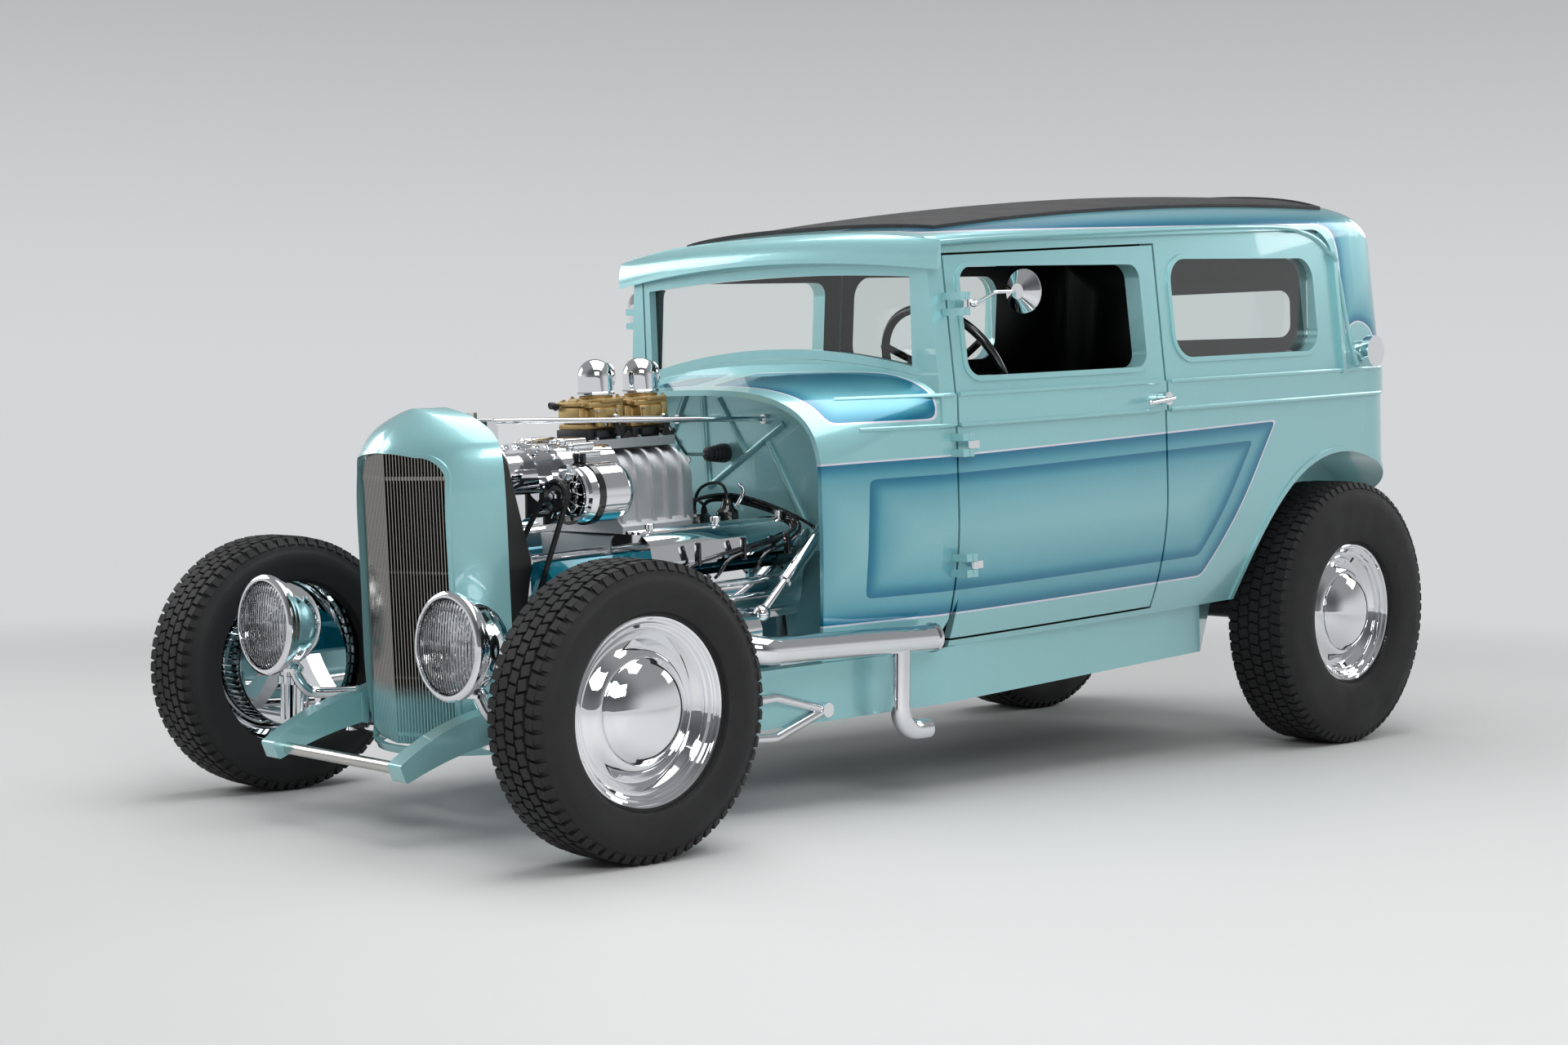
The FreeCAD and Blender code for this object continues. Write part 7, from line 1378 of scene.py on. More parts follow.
# Engine
@dataclass
class CarbSet:
    """The two gold carburettors with their black bases, screws, levers and rods."""

    scoops: tuple[float, float] = (0.505, 0.643)
    setback: float = 0.020
    base: float = 0.8205

    def build(self) -> None:
        """Makes both carburettors and the throttle rods."""
        mesh = bmesh.new()
        for along in self.scoops:
            self.casting(mesh, raked_frame(0.0, along - self.setback, self.base), along)
        self.linkage(mesh)
        piece("carburettor_castings", mesh, "chassis",
              [Look.GOLD, Look.DARK_STEEL, Look.STAINLESS], ["carburettors"], 30)

    def casting(self, mesh: bmesh.types.BMesh, place: Matrix, along: float) -> None:
        """One carburettor with stepped bowls, its base and its screws.

        Args:
            mesh: the mesh to add to.
            place: its frame.
            along: how far back it is.
        """
        stack(mesh, (
            ((0.100, 0.112, 0.012), (0, 0, 0.029), 0.003),
            ((0.086, 0.100, 0.036), (0, 0, 0.052), 0.006),
            ((0.118, 0.104, 0.012), (0, 0.001, 0.0785), 0.003),
            ((0.128, 0.062, 0.010), (0, 0.016, 0.088), 0.003),
            ((0.080, 0.040, 0.034), (0, -0.046, 0.058), 0.007),
            ((0.092, 0.030, 0.012), (0, -0.048, 0.082), 0.004),
            ((0.034, 0.088, 0.034), (0.052, 0.002, 0.056), 0.007),
            ((0.034, 0.088, 0.034), (-0.052, 0.002, 0.056), 0.007),
            ((0.012, 0.026, 0.044), (0.066, -0.024, 0.050), 0.004),
            ((0.010, 0.016, 0.030), (0.068, 0.030, 0.062), 0.003),
            ((0.010, 0.020, 0.016), (0.066, 0.006, 0.036), 0.003),
        ), place)
        append(mesh, lathe([(0.0, 0.0), (0.0, 0.0385), (0.006, 0.040), (0.0065, 0.036),
                            (0.0075, 0.0)], 48), place @ Matrix.Translation((0, 0.020, 0.093)))
        stack(mesh, (
            ((0.112, 0.116, 0.022), (0, 0, 0.0115), 0.002),
            ((0.020, 0.034, 0.016), (0.060, -0.022, 0.012), 0.003),
            ((0.016, 0.024, 0.018), (0.060, 0.026, 0.013), 0.003),
        ), place, 1)
        tops = [raked(x, along - self.setback + y, self.base + z) for x, y, z in (
            (0.052, -0.042, 0.0845), (-0.052, -0.042, 0.0845), (0.056, -0.006, 0.0935),
            (-0.056, -0.006, 0.0935), (0.056, 0.040, 0.0935), (-0.056, 0.040, 0.0935),
            (0.026, -0.056, 0.088), (-0.026, -0.056, 0.088))]
        bolts(mesh, tops, UPWARDS, 0.0042, 0.005)
        sides = [raked(0.0685, along - self.setback + y, self.base + z)
                 for y, z in ((-0.034, 0.066), (-0.014, 0.034), (0.022, 0.066), (0.038, 0.046))]
        bolts(mesh, sides, OUTWARDS, 0.0036, 0.004, 2)
        shaft = [raked(-0.078, along, self.base + 0.013), raked(0.080, along, self.base + 0.013)]
        append(mesh, pipe(shaft, 0.0045, 6, True), slot=2)
        lever = raked_frame(0.079, along + 0.004, self.base + 0.012)
        append(mesh, block((0.004, 0.015, 0.052), 0.0018),
               lever @ Matrix.Rotation(math.radians(-24), 4, "X"), 1)
        append(mesh, block((0.004, 0.040, 0.013), 0.0018),
               lever @ Matrix.Translation((0.002, 0.012, -0.012))
               @ Matrix.Rotation(math.radians(38), 4, "X"), 1)

    def linkage(self, mesh: bmesh.types.BMesh) -> None:
        """The rod between the carburettors, the throttle rod and its ribbed boot.

        Args:
            mesh: the mesh to add to.
        """
        ends = [raked(0.084, 0.492, 0.868), raked(0.084, 0.640, 0.862)]
        append(mesh, pipe(ends, 0.0040, 8, True), slot=2)
        for end in ends:
            append(mesh, lathe([(-0.006, 0.0), (-0.006, 0.008), (0.0, 0.0105), (0.006, 0.008),
                                (0.006, 0.0)], 24), facing(end, OUTWARDS), 2)
        for along in (0.492, 0.640):
            append(mesh, block((0.004, 0.014, 0.048), 0.0018),
                   raked_frame(0.081, along + 0.006, 0.846)
                   @ Matrix.Rotation(math.radians(18), 4, "X"), 1)
        rod = [raked(0.078, 0.652, 0.852), raked(0.030, 0.748, 0.772), raked(0.016, 0.776, 0.764),
               raked(0.016, 0.862, 0.762)]
        append(mesh, pipe(rod, 0.0042, 8), slot=2)
        boot = [(-0.030, 0.0), (-0.030, 0.009)]
        for number in range(5):
            start = -0.026 + number * 0.012
            boot += [(start, 0.0105 + number * 0.0016), (start + 0.003, 0.0175 + number * 0.0016),
                     (start + 0.009, 0.0175 + number * 0.0016)]
        boot += [(0.037, 0.0235), (0.037, 0.0)]
        append(mesh, lathe(boot, 40), facing(raked(0.016, 0.858, 0.762), body_axis(0, 1, 0)), 1)
        stub = [raked(-0.046, 0.424, 0.894), raked(-0.046, 0.414, 0.902), raked(-0.046, 0.404, 0.9)]
        append(mesh, pipe(stub, 0.0085, 8), slot=1)


@dataclass
class ScoopSet:
    """The two chrome elbows over the carburettors, each open to the rear."""

    places: tuple[float, float] = (0.505, 0.643)
    foot: float = 0.9218
    radius: float = 0.042
    height: float = 0.0835
    mouth: float = 0.029

    def build(self) -> None:
        """Makes both elbows."""
        mesh = bmesh.new()
        for along in self.places:
            place = raked_frame(0.0, along, self.foot)
            append(mesh, self.shell(self.radius), place)
            append(mesh, self.shell(self.radius - 0.003), place, 1)
            rim = lathe([(0.0, self.mouth), (0.0022, self.mouth + 0.0028),
                         (0.0052, self.mouth + 0.0032), (0.0062, self.mouth + 0.0005),
                         (0.0045, self.mouth - 0.0022), (0.0, self.mouth - 0.0015),
                         (-0.006, self.mouth - 0.0015), (-0.006, self.mouth), (0.0, self.mouth)],
                        64)
            turned = facing(Vector((0, self.radius - 0.012, self.height - self.radius)),
                            Vector((0, 1, 0)))
            append(mesh, rim, place @ turned)
            foot = lathe([(0.0, self.radius - 0.002), (0.0, self.radius + 0.0025),
                          (0.004, self.radius + 0.003), (0.007, self.radius + 0.0005)], 64)
            append(mesh, foot, place)
        piece("scoop_elbows", mesh, "chassis", [Look.CHROME, Look.DARK_CHROME], ["air_scoops"],
              36)

    def shell(self, radius: float) -> bmesh.types.BMesh:
        """A dome on a straight wall, with its mouth cut in the rear.

        Args:
            radius: the dome's radius.

        Returns:
            The open shell.
        """
        straight = self.height - self.radius
        profile = [(straight * share / 12, radius) for share in range(12)]
        for step in range(33):
            angle = math.pi / 2 * step / 32
            profile.append((straight + radius * math.sin(angle), radius * math.cos(angle)))
        made = lathe(profile, 96)
        gone = []
        for face in made.faces:
            middle = face.calc_center_median()
            off = math.hypot(middle.x, middle.z - straight)
            if middle.y > 0 and off < self.mouth:
                gone.append(face)
        bmesh.ops.delete(made, geom=gone, context="FACES")
        return made


@dataclass
class EngineDress:
    """What is fitted to the engine: the charging set, leads, bolts and covers."""

    alternator: Point = (0.222, 0.205, 0.712)
    belt_wheels: tuple[Point, Point] = ((0.222, 0.712, 0.0305), (0.0, 0.380, 0.070))
    blades: int = 14
    lobe_across: float = 0.058
    lobe_up: float = 0.728
    face_ring: float = 0.083
    rim_ring: float = 0.0935
    distributor: Point = (0.0, 0.800, 0.600)
    coil: Point = (0.118, 0.800, 0.600)
    towers: int = 8
    tower_ring: float = 0.028
    lead_radius: float = 0.0040

    def build(self) -> None:
        """Makes each fitted set."""
        self.make_alternator_front()
        self.make_belt()
        self.make_case_bolts()
        self.make_ignition()
        self.make_cover_screws()

    def make_alternator_front(self) -> None:
        """The finned fan, the black pulley with its nut, and the strap round the case."""
        across, along, up = self.alternator
        mesh = bmesh.new()
        place = facing(raked(across, along, up), FORWARDS)
        append(mesh, lathe([(-0.010, 0.0), (-0.010, 0.034), (-0.012, 0.046), (-0.012, 0.048),
                            (-0.014, 0.048), (-0.014, 0.0)], 48), place)
        for number in range(self.blades):
            turn = Matrix.Rotation(math.tau * number / self.blades, 4, "Z")
            blade = block((0.024, 0.0022, 0.020), 0.0006, 1)
            for corner in blade.verts:
                corner.co.y += (corner.co.x / 0.024) ** 2 * 0.02 + corner.co.z * 0.35
            append(mesh, blade, place @ turn @ Matrix.Translation((0.046, 0, -0.008)))
        append(mesh, lathe([(0.019, 0.0), (0.019, 0.006), (0.0235, 0.006), (0.0235, 0.0)], 16),
               place)
        append(mesh, bolt(0.009, 0.010), place @ Matrix.Translation((0, 0, 0.014)))
        pulley = [(-0.008, 0.012), (-0.008, 0.034), (-0.005, 0.0365), (-0.002, 0.0365),
                  (0.003, 0.028), (0.008, 0.028), (0.012, 0.0365), (0.016, 0.0365),
                  (0.0165, 0.032), (0.010, 0.024), (0.010, 0.012), (0.015, 0.012), (0.015, 0.0)]
        append(mesh, lathe(pulley, 64), place, 1)
        strap = [(-0.062, 0.0655), (-0.062, 0.0695), (-0.078, 0.0695), (-0.078, 0.0655)]
        append(mesh, lathe(strap, 64), place, 1)
        ear = raked_frame(across, along + 0.070, up)
        stack(mesh, (((0.018, 0.010, 0.030), (-0.020, 0, 0.074), 0.002),
                     ((0.016, 0.010, 0.026), (0.0, 0, 0.076), 0.002)), ear, 1)
        piece("alternator_front", mesh, "chassis", [Look.CHROME, Look.GLOSS_BLACK])

    def make_belt(self) -> None:
        """The V belt from the crank to the alternator."""
        mesh = bmesh.new()
        rings: list[list] = []
        steps = 72
        for lift, along in ((0.0, 0.1935), (0.0075, 0.1925), (0.0075, 0.2035), (0.0, 0.2025)):
            ring = []
            for step in range(steps):
                angle = math.tau * step / steps
                heading = (math.cos(angle), math.sin(angle))
                best = max(self.belt_wheels, key=lambda wheel: wheel[0] * heading[0]
                           + wheel[1] * heading[1] + wheel[2])
                reach = best[2] + lift
                ring.append(mesh.verts.new(raked(best[0] + reach * heading[0], along,
                                                 best[1] + reach * heading[1])))
            rings.append(ring)
        for first, second in zip(rings, rings[1:] + rings[:1]):
            for step in range(steps):
                following = (step + 1) % steps
                mesh.faces.new((first[step], first[following], second[following], second[step]))
        bmesh.ops.recalc_face_normals(mesh, faces=mesh.faces)
        piece("charging_belt", mesh, "chassis", Look.RUBBER, angle=50)

    def make_case_bolts(self) -> None:
        """Bolts round the gear case's rim, and on the bright plate behind the rotor case."""
        mesh = bmesh.new()
        places = []
        for _, side in SIDES:
            for degrees in (20, 48, 76, 104, -8, -36):
                places.append(self.on_lobe(self.face_ring, degrees, side, 0.2905))
        bolts(mesh, places, FORWARDS, 0.0065, 0.010)
        for _, side in SIDES:
            for degrees in (44, 62, 80, 98):
                place = self.on_lobe(self.rim_ring, degrees, side, 0.372)
                append(mesh, lathe([(-0.03, 0.0), (-0.03, 0.0085), (0.03, 0.0085), (0.031, 0.006),
                                    (0.042, 0.006), (0.043, 0.0)], 16), facing(place, FORWARDS))
        plate = [raked(x, 0.6905, z) for x in (-0.104, 0.104) for z in (0.628, 0.695, 0.758)]
        bolts(mesh, plate, -FORWARDS, 0.0065, 0.008)
        top = [raked(x, y, 0.820) for x in (-0.080, 0.080) for y in (0.436, 0.500, 0.565, 0.630)]
        bolts(mesh, top, UPWARDS, 0.0050, 0.006)
        piece("case_bolts", mesh, "chassis", Look.CHROME)

    def on_lobe(self, ring: float, degrees: float, side: int, along: float) -> Vector:
        """A place on a ring about one lobe of the gear case.

        Args:
            ring: the ring's radius.
            degrees: the place on it, from the outside upwards.
            side: 1 on the car's left and -1 on its right.
            along: how far back it is.

        Returns:
            The place in the row frame.
        """
        angle = math.radians(degrees)
        return raked((self.lobe_across + ring * math.cos(angle)) * side, along,
                     self.lobe_up + ring * math.sin(angle))

    def make_ignition(self) -> None:
        """The distributor and coil behind the blower, with the plug leads in their looms."""
        mesh = bmesh.new()
        cap = [(-0.110, 0.0), (-0.110, 0.020), (-0.045, 0.020), (-0.040, 0.036), (-0.012, 0.037),
               (-0.008, 0.041), (0.014, 0.040), (0.020, 0.034), (0.023, 0.0)]
        append(mesh, lathe(cap, 48), facing(raked(*self.distributor), UPWARDS), 1)
        coil = [(-0.075, 0.0), (-0.075, 0.025), (-0.072, 0.027), (0.028, 0.027), (0.031, 0.024),
                (0.036, 0.018), (0.052, 0.011), (0.060, 0.010), (0.060, 0.0)]
        stand = facing(raked(*self.coil), UPWARDS)
        append(mesh, lathe(coil, 40), stand, 1)
        append(mesh, lathe([(-0.030, 0.0275), (-0.030, 0.0295), (-0.006, 0.0295),
                            (-0.006, 0.0275)], 40), stand, 2)
        leads = bmesh.new()
        middle, back, _ = self.distributor
        for number in range(self.towers):
            angle = math.tau * number / self.towers
            side = 1 if number % 2 == 0 else -1
            row = number // 2
            along = 0.455 + row * 0.115
            start = raked(middle + self.tower_ring * math.cos(angle),
                          back + self.tower_ring * math.sin(angle), 0.620)
            path = [start, start + UPWARDS * 0.030,
                    raked(0.090 * side, 0.826 - row * 0.004, 0.655 + 0.006 * row),
                    raked(0.200 * side, 0.850 - row * 0.004, 0.632 + 0.007 * row),
                    raked(0.330 * side, 0.866 - row * 0.006, 0.590 + 0.007 * row),
                    raked(0.343 * side, along + 0.10, 0.552 + 0.006 * row),
                    raked(0.343 * side, along + 0.02, 0.540 + 0.004 * row),
                    raked(0.336 * side, along, 0.512), raked(0.318 * side, along, 0.500)]
            append(leads, pipe(path, self.lead_radius, 6))
        king = [raked(0.0, 0.800, 0.620), raked(0.0, 0.800, 0.672), raked(0.060, 0.806, 0.700),
                raked(0.118, 0.800, 0.690), raked(0.118, 0.800, 0.655)]
        append(leads, pipe(king, self.lead_radius, 6))
        for _, side in SIDES:
            for along in (0.500, 0.640, 0.780):
                append(leads, block((0.018, 0.008, 0.052), 0.003),
                       raked_frame(0.340 * side, along, 0.562))
        append(mesh, leads, slot=1)
        hook = [raked(0.150, 0.800, 0.640), raked(0.170, 0.806, 0.668), raked(0.176, 0.802, 0.690),
                raked(0.168, 0.792, 0.696)]
        append(mesh, pipe(hook, 0.0045, 8), slot=2)
        piece("ignition_set", mesh, "chassis",
              [Look.GLOSS_BLACK, Look.GLOSS_BLACK, Look.CHROME])

    def make_cover_screws(self) -> None:
        """Knurled hold-down screws along the valve covers."""
        mesh = bmesh.new()
        for _, side in SIDES:
            for along in (0.432, 0.636, 0.838):
                place = facing(raked(0.254 * side, along, 0.612), UPWARDS)
                append(mesh, lathe([(-0.004, 0.0), (-0.004, 0.012), (0.002, 0.012), (0.003, 0.008),
                                    (0.008, 0.008), (0.009, 0.0125), (0.020, 0.0125),
                                    (0.022, 0.010), (0.022, 0.0)], 24), place)
        piece("cover_screws", mesh, "chassis", Look.CHROME)


# Body trim
def strip(points: Sequence[Vector], width: float, height: float, across: Vector,
          bulge: float = 0.35) -> bmesh.types.BMesh:
    """A moulding with a rounded face that runs through some places.

    Args:
        points: the places along its middle.
        width: its width, along the body's up where it runs level.
        height: how far it stands out.
        across: the way that it faces.
        bulge: the share of its width that is flat on the face.

    Returns:
        The mesh, with closed ends.
    """
    made = bmesh.new()
    rings = []
    outline = ((-0.5, 0.0), (-0.42, 0.6), (-bulge / 2, 1.0), (bulge / 2, 1.0), (0.42, 0.6),
               (0.5, 0.0), (0.0, -0.25))
    for number, point in enumerate(points):
        before = points[max(0, number - 1)]
        after = points[min(len(points) - 1, number + 1)]
        heading = (after - before).normalized()
        side = heading.cross(across).normalized()
        face = side.cross(heading).normalized()
        rings.append([made.verts.new(point + side * (share * width) + face * (rise * height))
                      for share, rise in outline])
    for first, second in zip(rings, rings[1:]):
        for step in range(len(outline)):
            following = (step + 1) % len(outline)
            made.faces.new((first[step], first[following], second[following], second[step]))
    made.faces.new(rings[0])
    made.faces.new(list(reversed(rings[-1])))
    bmesh.ops.recalc_face_normals(made, faces=made.faces)
    return made


def smooth_path(points: Sequence[Point], per_span: int = 8) -> list[Point]:
    """Places on a smooth curve through some points, given as tuples of equal length.

    Args:
        points: the places to pass.
        per_span: steps between two of them.

    Returns:
        The places on the curve.
    """
    found = []
    for number in range(len(points) - 1):
        p0 = points[max(0, number - 1)]
        p1, p2 = points[number], points[number + 1]
        p3 = points[min(len(points) - 1, number + 2)]
        for step in range(per_span):
            t = step / per_span
            found.append(tuple(
                0.5 * (2 * b + (c - a) * t + (2 * a - 5 * b + 4 * c - d) * t * t
                       + (3 * b - a - 3 * c + d) * t ** 3)
                for a, b, c, d in zip(p0, p1, p2, p3)))
    found.append(tuple(points[-1]))
    return found


class Skin:
    """Finds places on the faces of some CAD nodes."""

    def __init__(self, *names: str) -> None:
        """Takes the nodes to look at.

        Args:
            names: the nodes' names.
        """
        corners: list[Vector] = []
        faces: list[list[int]] = []
        for name in names:
            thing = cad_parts[name]
            start = len(corners)
            corners += [thing.matrix_world @ corner.co for corner in thing.data.vertices]
            faces += [[start + corner for corner in face.vertices] for face in thing.data.polygons]
        self.tree = BVHTree.FromPolygons(corners, faces)

    def hit(self, start: Vector, heading: Vector) -> tuple[Vector, Vector] | None:
        """The first place and normal met from a start along a heading.

        Args:
            start: where to look from.
            heading: the way to look.

        Returns:
            The place and the normal, or nothing.
        """
        place, normal, _, _ = self.tree.ray_cast(start, heading)
        return None if place is None else (place, normal)

    def side(self, along: float, up: float, side: int) -> tuple[Vector, Vector] | None:
        """The place and normal on the outside at a height and length of the body.

        Args:
            along: how far back.
            up: how high.
            side: 1 on the car's left and -1 on its right.

        Returns:
            The place and the normal, or nothing.
        """
        start = raked(1.2 * side, along, up)
        return self.hit(start, Vector((-side, 0, 0)))

    def run(self, places: Iterable[tuple[float, float]], side: int) -> list[tuple]:
        """The places and normals found on the outside along a run.

        Args:
            places: pairs of length and height.
            side: 1 on the car's left and -1 on its right.

        Returns:
            The pairs found.
        """
        found = [self.side(along, up, side) for along, up in places]
        return [pair for pair in found if pair]


@dataclass
class BodyTrim:
    """The raised belt and the drip rails."""

    belt_middle: float = 0.855
    belt_width: float = 0.072

    def build(self) -> None:
        """Makes the trim of both sides."""
        body = Skin("body_shell")
        shell = bmesh.new()
        for word, side in SIDES:
            for start, end in ((0.90, 1.124), (1.910, 2.905)):
                self.belt(shell, body, start, end, side)
            rail = smooth_path([(1.075, 1.246), (1.300, 1.258), (1.850, 1.278), (2.300, 1.289),
                                (2.520, 1.284), (2.650, 1.252), (2.722, 1.180), (2.748, 1.050),
                                (2.766, 0.960), (2.790, 0.905)])
            self.add(shell, body.run(rail, side), 0.013, 0.009)
            door = bmesh.new()
            self.belt(door, Skin("door_" + word), 1.140, 1.894, side)
            piece("belt_band_" + word, door, "door_" + word[0], Look.PLAIN_PAINT)
        piece("belt_bands", shell, "chassis", Look.PLAIN_PAINT)

    def belt(self, mesh: bmesh.types.BMesh, skin: Skin, start: float, end: float,
             side: int) -> None:
        """One length of the raised belt with its two beads.

        Args:
            mesh: the mesh to add to.
            skin: the surface it lies on.
            start: its front end.
            end: its rear end.
            side: 1 on the car's left and -1 on its right.
        """
        count = max(3, int((end - start) / 0.03))
        places = [start + (end - start) * step / count for step in range(count + 1)]
        for shift in (self.belt_width / 2, -self.belt_width / 2):
            run = skin.run([(along, self.belt_middle + shift) for along in places], side)
            self.add(mesh, run, 0.011, 0.0045)

    def add(self, mesh: bmesh.types.BMesh, run: Sequence[tuple], width: float,
            height: float) -> None:
        """Adds a moulding along places found on the skin.

        Args:
            mesh: the mesh to add to.
            run: places and normals.
            width: its width.
            height: how far it stands out.
        """
        if len(run) < 2:
            return
        facing_way = sum((normal for _, normal in run), Vector())
        append(mesh, strip([place for place, _ in run], width, height, facing_way))


# Cabin
@dataclass
class Cushion:
    """A stuffed seat pad, blown up by cloth simulation and then sewn into channels."""

    name: str
    middle: Point
    size: Point
    upright: bool
    node: str
    grain: float = 0.008
    slack: float = 0.011
    swell: float = 0.024
    pressure: float = 4.0
    last_frame: int = 20
    spare: float = 0.008
    crown: float = 0.016
    border: float = 0.052
    seam_depth: float = 0.0055
    seam_width: float = 0.0045
    channel_depth: float = 0.0065
    channel_width: float = 0.005
    channel_pitch: float = 0.046

    def build(self) -> None:
        place = raked_frame(*self.middle)
        start = block([side - 2 * self.slack for side in self.size], 0.030, 3)
        bmesh.ops.transform(start, matrix=place, verts=start.verts)
        thing = piece(self.name, start, "chassis", Look.SEAT, [self.node], 60)
        self.shape(thing, "REMESH", mode="VOXEL", voxel_size=self.grain)
        self.blow_up(thing, place.inverted())
        self.shape(thing, "SUBSURF", levels=1)
        self.sew(thing, place.inverted())
        thing.data.polygons.foreach_set("use_smooth", [True] * len(thing.data.polygons))

    def shape(self, thing: bpy.types.Object, kind: str, **settings) -> None:
        """Applies one modifier to the pad's mesh.

        Args:
            thing: the pad's object.
            kind: the modifier's kind.
            settings: the modifier's own settings.
        """
        modifier = thing.modifiers.new(kind.lower(), kind)
        for key, value in settings.items():
            setattr(modifier, key, value)
        self.keep(thing, self.result(thing))
        thing.modifiers.clear()

    def result(self, thing: bpy.types.Object) -> bpy.types.Mesh:
        """A copy of the pad's mesh with its modifiers applied.

        Args:
            thing: the pad's object.

        Returns:
            The mesh.
        """
        graph = bpy.context.evaluated_depsgraph_get()
        return bpy.data.meshes.new_from_object(thing.evaluated_get(graph))

    def keep(self, thing: bpy.types.Object, mesh: bpy.types.Mesh) -> None:
        """Swaps in a new mesh with the pad's finish.

        Args:
            thing: the pad's object.
            mesh: the new mesh.
        """
        old = thing.data
        mesh.materials.clear()
        mesh.materials.append(PALETTE.of(Look.SEAT))
        thing.data = mesh
        bpy.data.meshes.remove(old)
        mesh.name = self.name

    def blow_up(self, thing: bpy.types.Object, inward: Matrix) -> None:
        """Swells the pad under pressure, and holds its flat face where it rests.

        Args:
            thing: the pad's object.
            inward: the way to its hidden face.
        """
        cloth = thing.modifiers.new("cloth", "CLOTH")
        cloth.settings.quality = 5
        cloth.settings.use_pressure = True
        cloth.settings.uniform_pressure_force = self.pressure
        cloth.settings.effector_weights.gravity = 0.0
        scene = bpy.context.scene
        for frame in range(1, self.last_frame + 1):
            scene.frame_set(frame)
        swollen = self.result(thing)
        half = [side / 2 for side in self.size]
        for corner, moved in zip(thing.data.vertices, swollen.vertices):
            shift = moved.co - corner.co
            if shift.length > self.swell:
                shift *= self.swell / shift.length
            local = inward @ (corner.co + shift)
            for axis in range(3):
                spare = self.spare if axis != 2 or self.upright else self.crown
                local[axis] = max(-half[axis], min(half[axis] + spare * (axis != 0), local[axis]))
            corner.co = inward.inverted() @ local
        thing.modifiers.clear()
        bpy.data.meshes.remove(swollen)
        scene.frame_set(1)

    def sew(self, thing: bpy.types.Object, inward: Matrix) -> None:
        """Presses the sewn channels and the border seam into the pad's face.

        Args:
            thing: the pad's object.
            inward: the way to its hidden face.
        """
        mesh = thing.data
        wide = self.size[0] / 2 - self.border
        deep = self.size[2 if self.upright else 1] / 2 - self.border
        face = FORWARDS if self.upright else UPWARDS
        channels = max(4, round(2 * wide / self.channel_pitch))
        pitch = 2 * wide / channels
        normals = [corner.normal.copy() for corner in mesh.vertices]
        for corner, normal in zip(mesh.vertices, normals):
            if normal.dot(face) < 0.35:
                continue
            local = inward @ corner.co
            across = local.x
            length = local.z if self.upright else local.y
            inside = min(wide - abs(across), deep - abs(length))
            depth = self.seam_depth * math.exp(-(inside / self.seam_width) ** 2)
            if inside > 0:
                off = (across + wide) % pitch
                off = min(off, pitch - off)
                press = self.channel_depth * math.exp(-(off / self.channel_width) ** 2)
                depth = max(depth, press * min(1, inside / 0.01))
            corner.co -= normal * depth
        mesh.update()


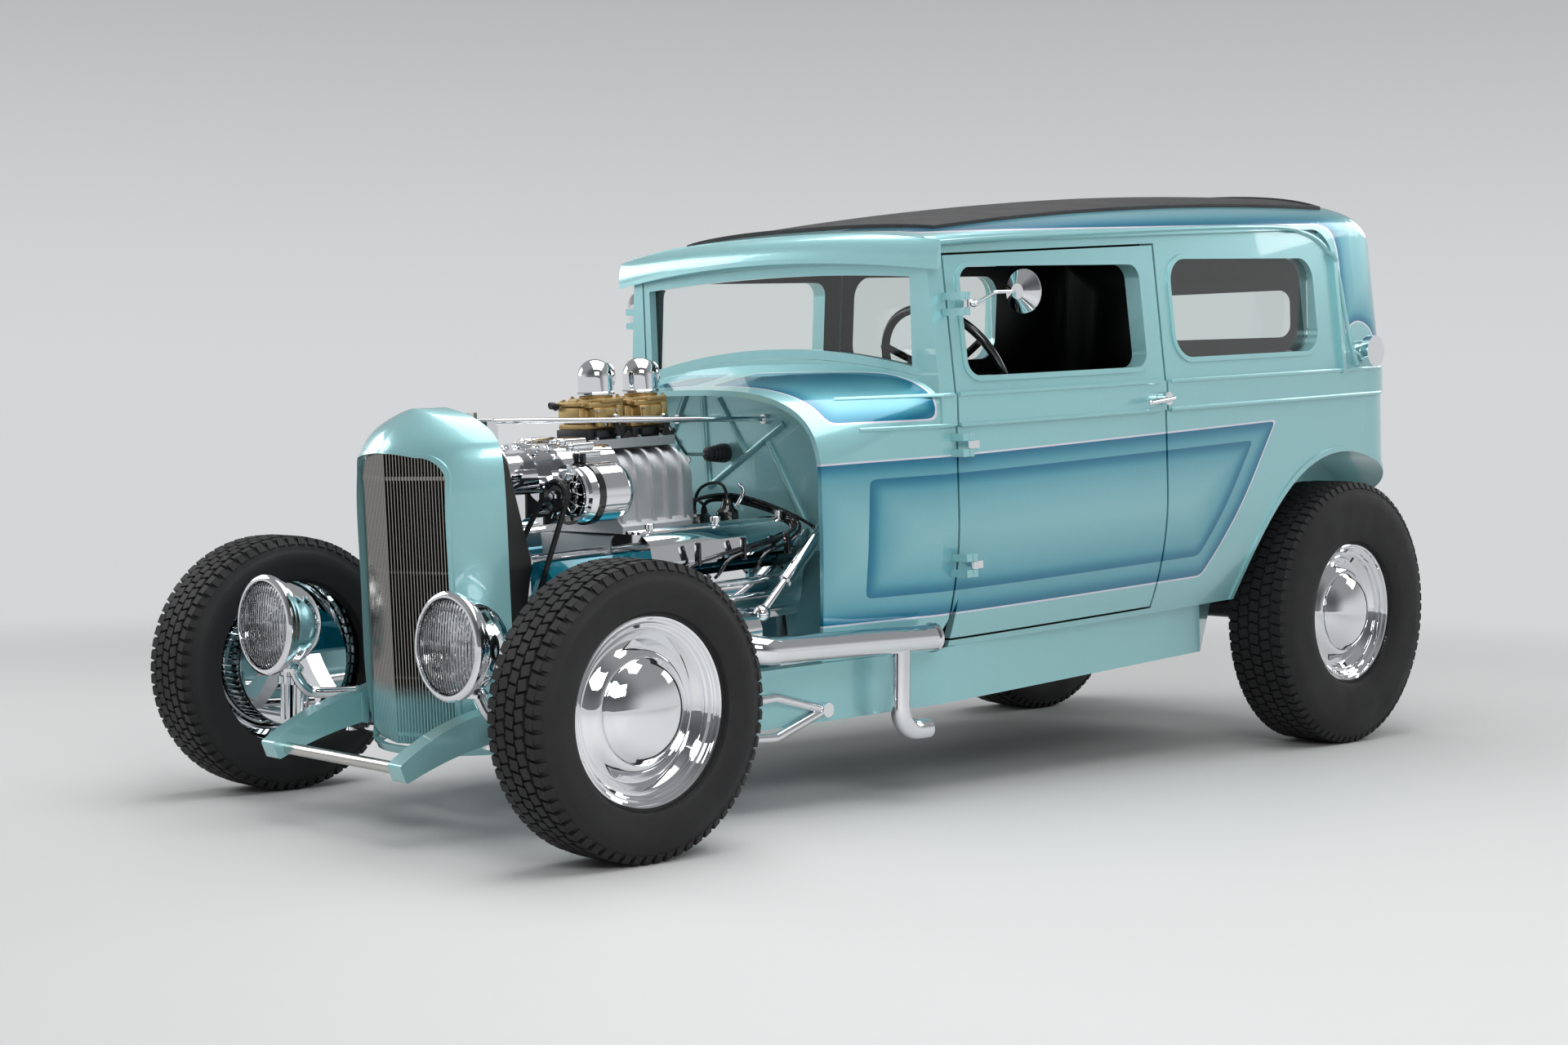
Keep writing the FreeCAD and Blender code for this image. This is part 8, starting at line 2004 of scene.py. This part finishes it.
@dataclass
class CabinTrim:
    """The pads, the pleated door panels, the dials and the column's collar."""

    panel_front: float = 1.175
    panel_length: float = 0.685
    panel_foot: float = 0.36
    panel_height: float = 0.50
    panel_lift: float = 0.0035
    panel_thickness: float = 0.003
    pleat_depth: float = 0.0022
    pleat_columns: int = 6
    rows: int = 24
    columns: int = 132
    dash_rear: float = 1.124
    dial_height: float = 0.902
    dials: tuple[tuple[float, float], ...] = ((0.230, 0.034), (0.325, 0.046), (0.420, 0.034),
                                              (0.140, 0.026), (0.060, 0.026))
    needle_turn: float = 38.0
    wheel_centre: Point = (0.325, 1.370, 0.935)
    column_elbow: Point = (0.325, 1.030, 0.754)
    collar_setback: float = 0.052

    def build(self) -> None:
        """Makes the cabin's own pieces."""
        for word, side in SIDES:
            Cushion("front_cushion_" + word, (0.292 * side, 1.742, 0.410), (0.372, 0.476, 0.138),
                    False, "front_seats").build()
            Cushion("front_back_" + word, (0.292 * side, 2.044, 0.620), (0.372, 0.112, 0.476),
                    True, "front_seats").build()
            self.door_panel(word, side)
        Cushion("rear_cushion", (0.0, 2.538, 0.526), (0.802, 0.412, 0.126), False, "rear_seat",
                0.010).build()
        Cushion("rear_back", (0.0, 2.812, 0.678), (0.802, 0.108, 0.418), True, "rear_seat",
                0.010).build()
        self.make_dials()
        self.make_collar()

    def door_panel(self, word: str, side: int) -> None:
        """A pleated panel laid on the inside of a door.

        Args:
            word: left or right.
            side: 1 on the car's left and -1 on its right.
        """
        skin = Skin("door_" + word)
        mesh = bmesh.new()
        outwards = Vector((side, 0, 0))
        grid = []
        for row in range(self.rows + 1):
            up = self.panel_foot + self.panel_height * row / self.rows
            line = []
            for column in range(self.columns + 1):
                along = self.panel_front + self.panel_length * column / self.columns
                found = skin.hit(raked(0.30 * side, along, up), outwards)
                if not found:
                    line.append(None)
                    continue
                border = min(column, self.columns - column, row, self.rows - row)
                wave = abs(math.sin(math.pi * column / self.pleat_columns))
                pleat = self.pleat_depth * wave if border > 1 else 0.0
                line.append(mesh.verts.new(found[0] - outwards * (self.panel_lift + pleat)))
            grid.append(line)
        for first, second in zip(grid, grid[1:]):
            for column in range(self.columns):
                ring = [first[column], first[column + 1], second[column + 1], second[column]]
                if all(ring):
                    mesh.faces.new(ring)
        loose = [corner for corner in mesh.verts if not corner.link_faces]
        bmesh.ops.delete(mesh, geom=loose, context="VERTS")
        bmesh.ops.solidify(mesh, geom=mesh.faces, thickness=self.panel_thickness)
        bmesh.ops.recalc_face_normals(mesh, faces=mesh.faces)
        piece("door_panel_" + word, mesh, "door_" + word[0], Look.PANEL, angle=60)

    def make_dials(self) -> None:
        """Round dials with bright rings on the cabin side of the dashboard."""
        mesh = bmesh.new()
        for across, radius in self.dials:
            place = facing(raked(across, self.dash_rear, self.dial_height), body_axis(0, 1, 0))
            append(mesh, lathe([(-0.001, radius * 1.12), (0.004, radius * 1.10),
                                (0.006, radius * 1.02), (0.004, radius * 0.97),
                                (0.0015, radius * 0.96)], 48), place)
            append(mesh, lathe([(0.0015, radius * 0.97), (0.0015, 0.0)], 48), place, 1)
            needle = block((radius * 0.05, radius * 0.72, 0.001))
            turn = Matrix.Rotation(math.radians(self.needle_turn), 4, "Z")
            append(mesh, needle, place @ turn @ Matrix.Translation((0, radius * 0.3, 0.0028)))
        piece("dashboard_dials", mesh, "chassis", [Look.CHROME, Look.DIAL])

    def make_collar(self) -> None:
        """The collar over the joint between the column and the steering wheel."""
        hub = raked(*self.wheel_centre)
        axis = (hub - raked(*self.column_elbow)).normalized()
        place = facing(hub - axis * self.collar_setback, axis)
        mesh = lathe([(-0.03, 0.0), (-0.03, 0.026), (-0.026, 0.028), (0.012, 0.028),
                      (0.016, 0.026), (0.016, 0.0)], 40)
        bmesh.ops.transform(mesh, matrix=place, verts=mesh.verts)
        piece("column_collar", mesh, "chassis", Look.CHROME)


def main() -> None:
    """Dresses the car, piece by piece."""
    logging.basicConfig(level=logging.INFO, format="%(name)s: %(message)s")
    Studio().build()
    PALETTE.dress_nodes()
    RollingGear().build()
    Headlights().build()
    CarbSet().build()
    ScoopSet().build()
    EngineDress().build()
    BodyTrim().build()
    CabinTrim().build()


if __name__ == "__main__":
    main()
